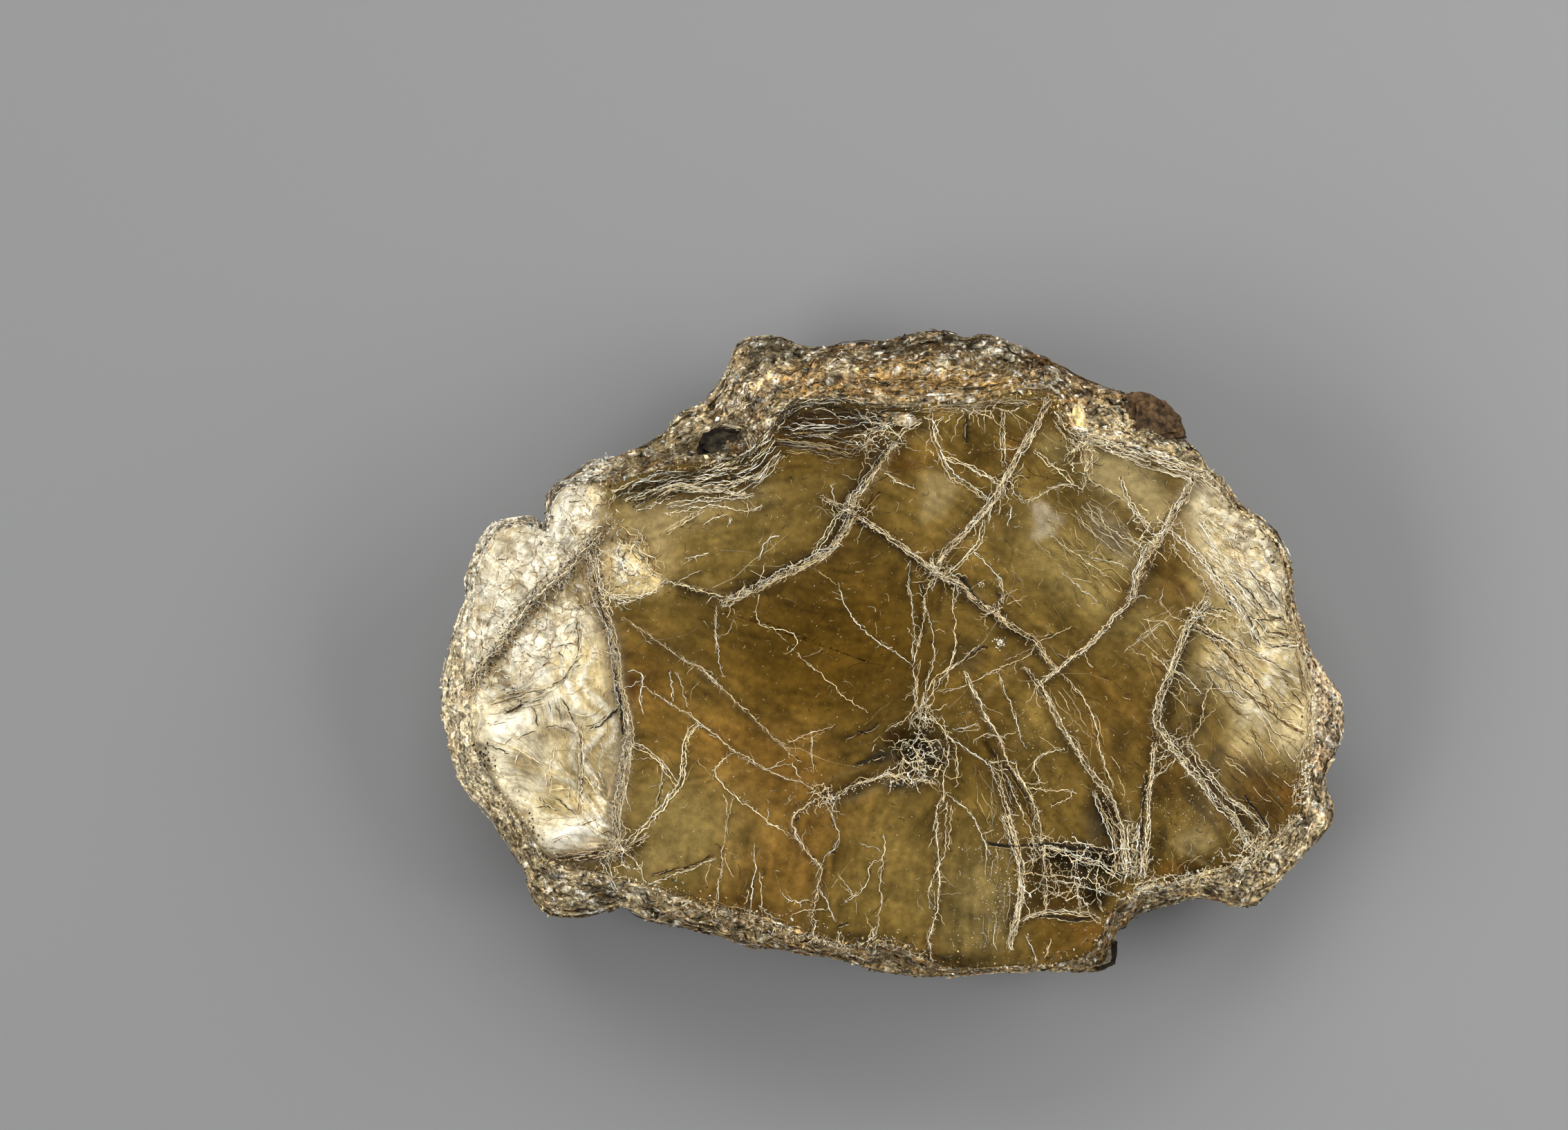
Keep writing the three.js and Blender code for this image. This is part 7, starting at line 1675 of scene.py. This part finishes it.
# Bands of grit: route, width, specks to a millimetre, widest speck, names of colours
GRIT = [
    ([(-47, -4.4), (-43.5, 0.2), (-40, 5), (-35.8, 8.8), (-31.6, 13.4)], 1.4, 64, 0.19,
     ["slate", "soot", "ash", "bark", "sand", "slate", "tan", "soot", "smoke black"]),
    ([(-32.8, 11), (-31.2, 3), (-30.2, -3.5), (-29.0, -9.8), (-30.4, -17), (-30.3, -21.3)], 0.9, 34, 0.17,
     ["ash", "bone", "soot", "tan", "slate", "bark", "sand"]),
    ([(-5.1, 16.3), (-5.9, 12.9), (-8.9, 10.3), (-14.9, 7.3), (-19, 5.4)],
     0.6, 9, 0.16, ["bone", "pearl", "sand", "umber"]),
    ([(-8.1, 17.4), (-3.6, 14.8), (2.6, 10.5), (5.6, 8.3), (8.6, 6.1), (14.3, 2.2), (18, -1.9)],
     0.6, 9, 0.16,
     ["bone", "pearl", "sand", "umber"]),
    ([(16, -3.4), (21, 0.5), (26.2, 6), (29.4, 13), (33.2, 20)],
     0.6, 9, 0.17, ["bone", "cream", "sand", "bark"]),
    ([(41.4, -23.2), (37.5, -18), (33.4, -13.7), (29.7, -9), (29.3, -4.9), (31.6, 1.2), (34.7, 6.2)],
     0.6, 10, 0.18,
     ["bone", "pearl", "sand", "bark", "umber"]),
    ([(25.6, -24.8), (25.2, -18.9), (22.5, -14), (17.1, -5.2)], 0.5, 8, 0.16, ["bone", "cream", "bark"]),
    ([(27.4, -25), (27.9, -16), (28.8, -9)], 0.5, 8, 0.16, ["bone", "cream", "bark"]),
    ([(13, -32), (14.2, -26), (13.2, -19.2), (11, -12)], 0.5, 8, 0.14, ["bone", "cream", "bark"]),
    ([(5, -14.2), (-0.5, -13.3), (-6.4, -15.7), (-10.9, -17.6)], 0.5, 9, 0.15, ["bone", "cream", "bark"]),
]
spots, sizes, tints = [on_face(SPECKS)], [rng.uniform(0.03, 0.11, SPECKS)], []
ground, _ = face_colour(*spots[0].T)
blend = rng.uniform(0.2, 0.8, (SPECKS, 1))
tints.append(blended(ground, mixed(["straw", "gold", "cream", "ochre"], SPECKS), blend))
for cx, cy, half, across, turn, count, widest, names in DUST:
    u, v = rng.normal(0, 0.6, (2, count)) * [[half], [across]]
    spots.append(np.c_[turned(u, v, cx, cy, turn)])
    sizes.append(rng.uniform(0.04, widest, count))
    tints.append(mixed(names, count))
for route, width, density, widest, names in GRIT:
    total = route_length(route)
    count = int(density * total)
    place, _ = walk(route, rng.uniform(0, total, count))
    spots.append(place + rng.normal(0, 0.4 * width, (count, 2)))
    sizes.append(rng.uniform(0.04, widest, count))
    tints.append(mixed(names, count))
spot = np.vstack(spots)
spot = np.c_[spot, face_height(*spot.T)]
face_specks = add_crumbs("face_specks", spot, np.concatenate(sizes), np.vstack(tints), flatness=0.6)
for piece in (face_hairs, face_specks):
    piece.data.materials.append(thread_material)
    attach(piece, "root")

# ------------------------------------------------------------------------------------------------------
# Rim laminae: the thin torn edges of hundreds of sheets, seen end on all round the rim as fine wavy lines,
# dark and pale in turn. They are the same mica as the book, and lie close on the rim's ledges.
# ------------------------------------------------------------------------------------------------------
LAMINA_POINTS = 7
# how many laminae, rows of the rim's grid they keep to, half length in mm, names of colours
LAMINA_SETS = [
    (420, (0, 12), (0.4, 1.3), ["wheat", "ochre", "bark", "sand", "rust", "pitch", "cream"]),
    (800, (8, 30), (0.5, 1.8), ["ochre", "bark", "rust", "slate", "wheat", "pitch", "sand"]),
    (400, (28, 44), (1.2, 4.4), ["bark", "tan", "soot", "slate", "rust", "sand", "smoke black"]),
]
lap = route_length(np.vstack([wide_xyz, wide_xyz[:1]])[:, :2])
crowd = np.cumsum(span + 2.5)  # more of them where the rim is broad
bundles = []
for count, (top_row, low_row), (short, long), names in LAMINA_SETS:
    t = np.linspace(-1, 1, LAMINA_POINTS)
    half = rng.uniform(short, long, (count, 1)) * OUTLINE_POINTS / lap
    column = np.interp(rng.uniform(0, crowd[-1], (count, 1)), crowd, first_row) + half * t
    number = rng.uniform(0, 99, (count, 1))
    row = rng.uniform(top_row, low_row, (count, 1)) + 1.6 * clouds(column * 0.12, number, 1, 73)
    path = on_rim(np.clip(row, 0, levels - 1.01), column)
    outward = path[..., :2] / np.hypot(*np.moveaxis(path[..., :2], -1, 0))[..., None]
    proud = rng.uniform(0.0, 0.28, (count, 1)) + 0.12 * clouds(column * 0.3, number, 1, 74)
    path[..., :2] += outward * proud[..., None]
    path[..., 2] = np.maximum(path[..., 2] + rng.uniform(0.0, 0.15, (count, 1)), 0.15)
    radius = rng.uniform(0.035, 0.11, (count, 1)) * spindle(t)
    middle = path[:, LAMINA_POINTS // 2]
    pale = np.clip((-38 - middle[:, :1]) / 6, 0, 1)
    ground = rim_colour(middle) * (rng.choice([0.08, 0.5, 1.8], (count, 1)) * (1 - 0.6 * pale) + 0.6 * pale)
    bundles.append((path, radius, blended(ground, mixed(names, count), 0.3)))
rim_laminae = add_threads("rim_laminae", bundles)
rim_laminae.data.materials.append(rim_material)
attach(rim_laminae, "root")

# ------------------------------------------------------------------------------------------------------
# Rim crumbs: the loose-looking grains and chips that the weathered edges have broken into, cream, tan,
# ochre, rust and grey-black. They are small angular bits of mica, still stuck to the rim.
# ------------------------------------------------------------------------------------------------------
CRUMBS = 16400
CHIPS, GRAINS = 0.03, 0.38  # shares of the crumbs that are big chips and middling grains
row = np.where(rng.uniform(0, 1, CRUMBS) < 0.7, rng.uniform(0, 30, CRUMBS), rng.uniform(28, 45, CRUMBS))
column = np.interp(rng.uniform(0, crowd[-1], CRUMBS), crowd, first_row)
spot = on_rim(row, column)
spill = rng.uniform(0, 1, CRUMBS) < 0.14  # crumbs that have spilt on to the edge of the face
inward = 1 - rng.gamma(1.2, 0.014, CRUMBS)[:, None]
spot[spill, :2] = (FACE_MIDDLE + (on_rim(0 * row, column)[:, :2] - FACE_MIDDLE) * inward)[spill]
spot[spill, 2] = face_height(spot[spill, 0], spot[spill, 1])
kind = rng.uniform(0, 1, CRUMBS)
chip, grain, bit = (rng.uniform(*limits, CRUMBS) for limits in ((0.36, 0.62), (0.17, 0.36), (0.1, 0.2)))
size = np.where(spill, 0.65, 1) * np.where(kind < CHIPS, chip, np.where(kind < CHIPS + GRAINS, grain, bit))
ground = rim_colour(spot)
names = ["cream", "pearl", "rust", "ochre", "bark", "pitch", "wheat", "sand", "chestnut", "pitch"]
picked = mixed(names, CRUMBS)
blend = rng.uniform(0.05, 0.5, (CRUMBS, 1))
ground = np.minimum(0.8, ground * rng.choice([0.12, 0.45, 1.0, 1.6, 2.6], (CRUMBS, 1)))
pale = 0.5 * np.clip((-40 - spot[:, :1]) / 6, 0, 1)
tint = blended(blended(ground, picked, blend), linear("wheat"), pale)
rim_crumbs = add_crumbs("rim_crumbs", spot, size, tint, flatness=0.55)
rim_crumbs.data.materials.append(rim_material)
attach(rim_crumbs, "root")

# ------------------------------------------------------------------------------------------------------
# Edge flakes: a few thick broken plates that stand out from the rim, among them a dark glossy one at the
# upper right, a yellow grain beside the face, a grey one at the lower right and two dark ones at the upper
# left. Each is a short stack of mica sheets, held in the rim.
# ------------------------------------------------------------------------------------------------------
# outline, top height at its middle, rise along x, rise along y, sheets, thickness of one, colours
FLAKE_LIST = [
    ([(26, 28.2), (27.6, 28.5), (30, 27.5), (31.6, 25.8), (32.1, 23.9), (27.8, 23.5), (26, 24.4)],
     16.4, -0.3, -0.35, 6, 0.5, ["peat", "peat", "umber", "soot", "chestnut"]),
    ([(19.5, 25.2), (19.8, 27.2), (20.6, 27.3), (21.1, 26.2), (21.0, 24.5), (20.0, 24.1)],
     21.9, 0.05, 0.1, 3, 0.5, ["yellow", "wheat", "cream"]),
    ([(22.2, -31.2), (24.6, -31.8), (24.5, -34.2), (22.6, -34.9), (21.4, -33.6)],
     12.6, -0.1, 0.2, 5, 0.5, ["slate", "soot", "bark"]),
    ([(-29.4, 19.2), (-27, 20.8), (-24.4, 20.4), (-23.8, 18.8), (-26.4, 18.2)], 19.8, 0.1, -0.2, 3, 0.4,
     ["smoke", "smoke black", "pale olive"]),
    ([(-21.4, 22.4), (-20.6, 24.1), (-18.6, 24.9), (-16.6, 24.5), (-15.6, 22.8), (-16.8, 21.2),
     (-19.6, 21)],
     21.3, 0.05, -0.36, 6, 0.4, ["soot", "pitch", "soot"]),
]
EDGE_POINTS = 5  # points along each side of an outline
points, faces, tints, first = [], [], [], 0
for outline, level, rise_x, rise_y, sheets, thickness, names in FLAKE_LIST:
    corners = np.array(outline, float)
    middle = corners.mean(0)
    t = np.arange(EDGE_POINTS) / EDGE_POINTS
    ring = (corners[:, None] + (np.roll(corners, -1, 0) - corners)[:, None] * t[:, None]).reshape(-1, 2)
    count = len(ring)
    flat = np.c_[corners - middle, 0 * corners[:, 0]]
    clockwise = np.cross(flat, np.roll(flat, -1, 0))[:, 2].sum() <= 0
    k = np.arange(count)
    a, b = ((k + 1) % count, k) if clockwise else (k, (k + 1) % count)
    for sheet in range(sheets):
        worn = 1 - 0.05 * (sheets - 1 - sheet) * (1 if sheet == 0 else -0.4)
        edge_spot = middle + (ring - middle) * worn * rng.uniform(0.93, 1.05, (count, 1))
        edge_spot += rng.normal(0, 0.1, 2)
        height = level - sheet * thickness
        top = height + (edge_spot - middle) @ [rise_x, rise_y] + rng.normal(0, 0.03, count)
        centre = np.array([[*middle, height + 0.05]])
        points.append(np.vstack([np.c_[edge_spot, top], np.c_[edge_spot, top - 0.8 * thickness], centre,
                                 centre - [0, 0, 0.85 * thickness]]))
        faces += [first + np.c_[a, b, np.full(count, 2 * count)],
                  first + np.c_[b + count, a + count, np.full(count, 2 * count + 1)],
                  first + np.c_[b, a, a + count, b + count]]
        tints.append(linear(names[sheet % len(names)]) * rng.uniform(0.9, 1.1, (2 * count + 2, 1)))
        first += 2 * count + 2
edge_flakes = add_piece("edge_flakes", np.vstack(points), faces, np.vstack(tints), smooth=False)
flake_material = mica_material("glossy_flake", roughness=0.36, specular=0.05,
                               grain_size=0.9, grain_height=0.14, contrast=0.8)
add_grains(flake_material, cell=0.5, darkest=0.4, palest=1.6)
edge_flakes.data.materials.append(flake_material)
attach(edge_flakes, "root")

# ------------------------------------------------------------------------------------------------------
# Stage: a plain pale grey floor, a broad soft box on the left and small ones on the right and at the back,
# low enough for bent sheets to glow while the level face stays dark, a weak sky, and the camera straight
# above.
# ------------------------------------------------------------------------------------------------------
FLOOR_SIZE = 4.0
FLOOR_GREY = 0.215
FRAME_PLANE = 11 * MM  # a level about half way up the specimen
FRAME_WIDTH = 173.1 * MM  # what the camera sees from side to side on that level
FRAME_MIDDLE = (-12.05 * MM, 9.83 * MM)
LENS, SENSOR = 300.0, 36.0
SKY_COLOUR, SKY_STRENGTH = (0.95, 0.97, 1.0, 1), 0.32

floor_mesh = bpy.data.meshes.new("floor")
h = FLOOR_SIZE / 2
floor_mesh.from_pydata([(-h, -h, 0), (h, -h, 0), (h, h, 0), (-h, h, 0)], [], [(0, 1, 2, 3)])
floor = bpy.data.objects.new("floor", floor_mesh)
bpy.context.scene.collection.objects.link(floor)
floor_material = bpy.data.materials.new("pale_floor")
floor_material.use_nodes = True
floor_shader = floor_material.node_tree.nodes["Principled BSDF"]
floor_shader.inputs["Base Color"].default_value = (FLOOR_GREY, FLOOR_GREY, FLOOR_GREY, 1)
floor_shader.inputs["Roughness"].default_value = 0.9
floor_shader.inputs["Specular IOR Level"].default_value = 0.1
floor_mesh.materials.append(floor_material)

# name, direction towards it (azimuth and height in degrees), distance, size along and across, watts
SOFT_BOXES = [
    ("left_box", 195, 36, 2.4, (2.0, 1.1), 47.7),
    ("right_box", 12, 34, 0.6, (0.6, 0.3), 3.5),
    ("back_box", 95, 44, 1.0, (0.9, 0.4), 6.0),
]
for name, azimuth, rise, distance, (wide, tall), watts in SOFT_BOXES:
    light = bpy.data.lights.new(name, "AREA")
    light.shape = "RECTANGLE"
    light.size, light.size_y = wide, tall
    light.energy = watts
    lamp = bpy.data.objects.new(name, light)
    a, e = math.radians(azimuth), math.radians(rise)
    lamp.location = (distance * math.cos(a) * math.cos(e), distance * math.sin(a) * math.cos(e),
                     distance * math.sin(e))
    lamp.rotation_euler = (math.pi / 2 - e, 0, a + math.pi / 2)
    bpy.context.scene.collection.objects.link(lamp)

world = bpy.data.worlds.new("studio")
world.use_nodes = True
sky = world.node_tree.nodes["Background"]
sky.inputs["Color"].default_value = SKY_COLOUR
sky.inputs["Strength"].default_value = SKY_STRENGTH
bpy.context.scene.world = world
bpy.context.scene.view_settings.view_transform = "Standard"

lens = bpy.data.cameras.new("overhead")
lens.lens = LENS
lens.sensor_width = SENSOR
lens.clip_end = 20
camera = bpy.data.objects.new("overhead", lens)
camera.location = (*FRAME_MIDDLE, FRAME_PLANE + FRAME_WIDTH * LENS / SENSOR)
bpy.context.scene.collection.objects.link(camera)
bpy.context.scene.camera = camera
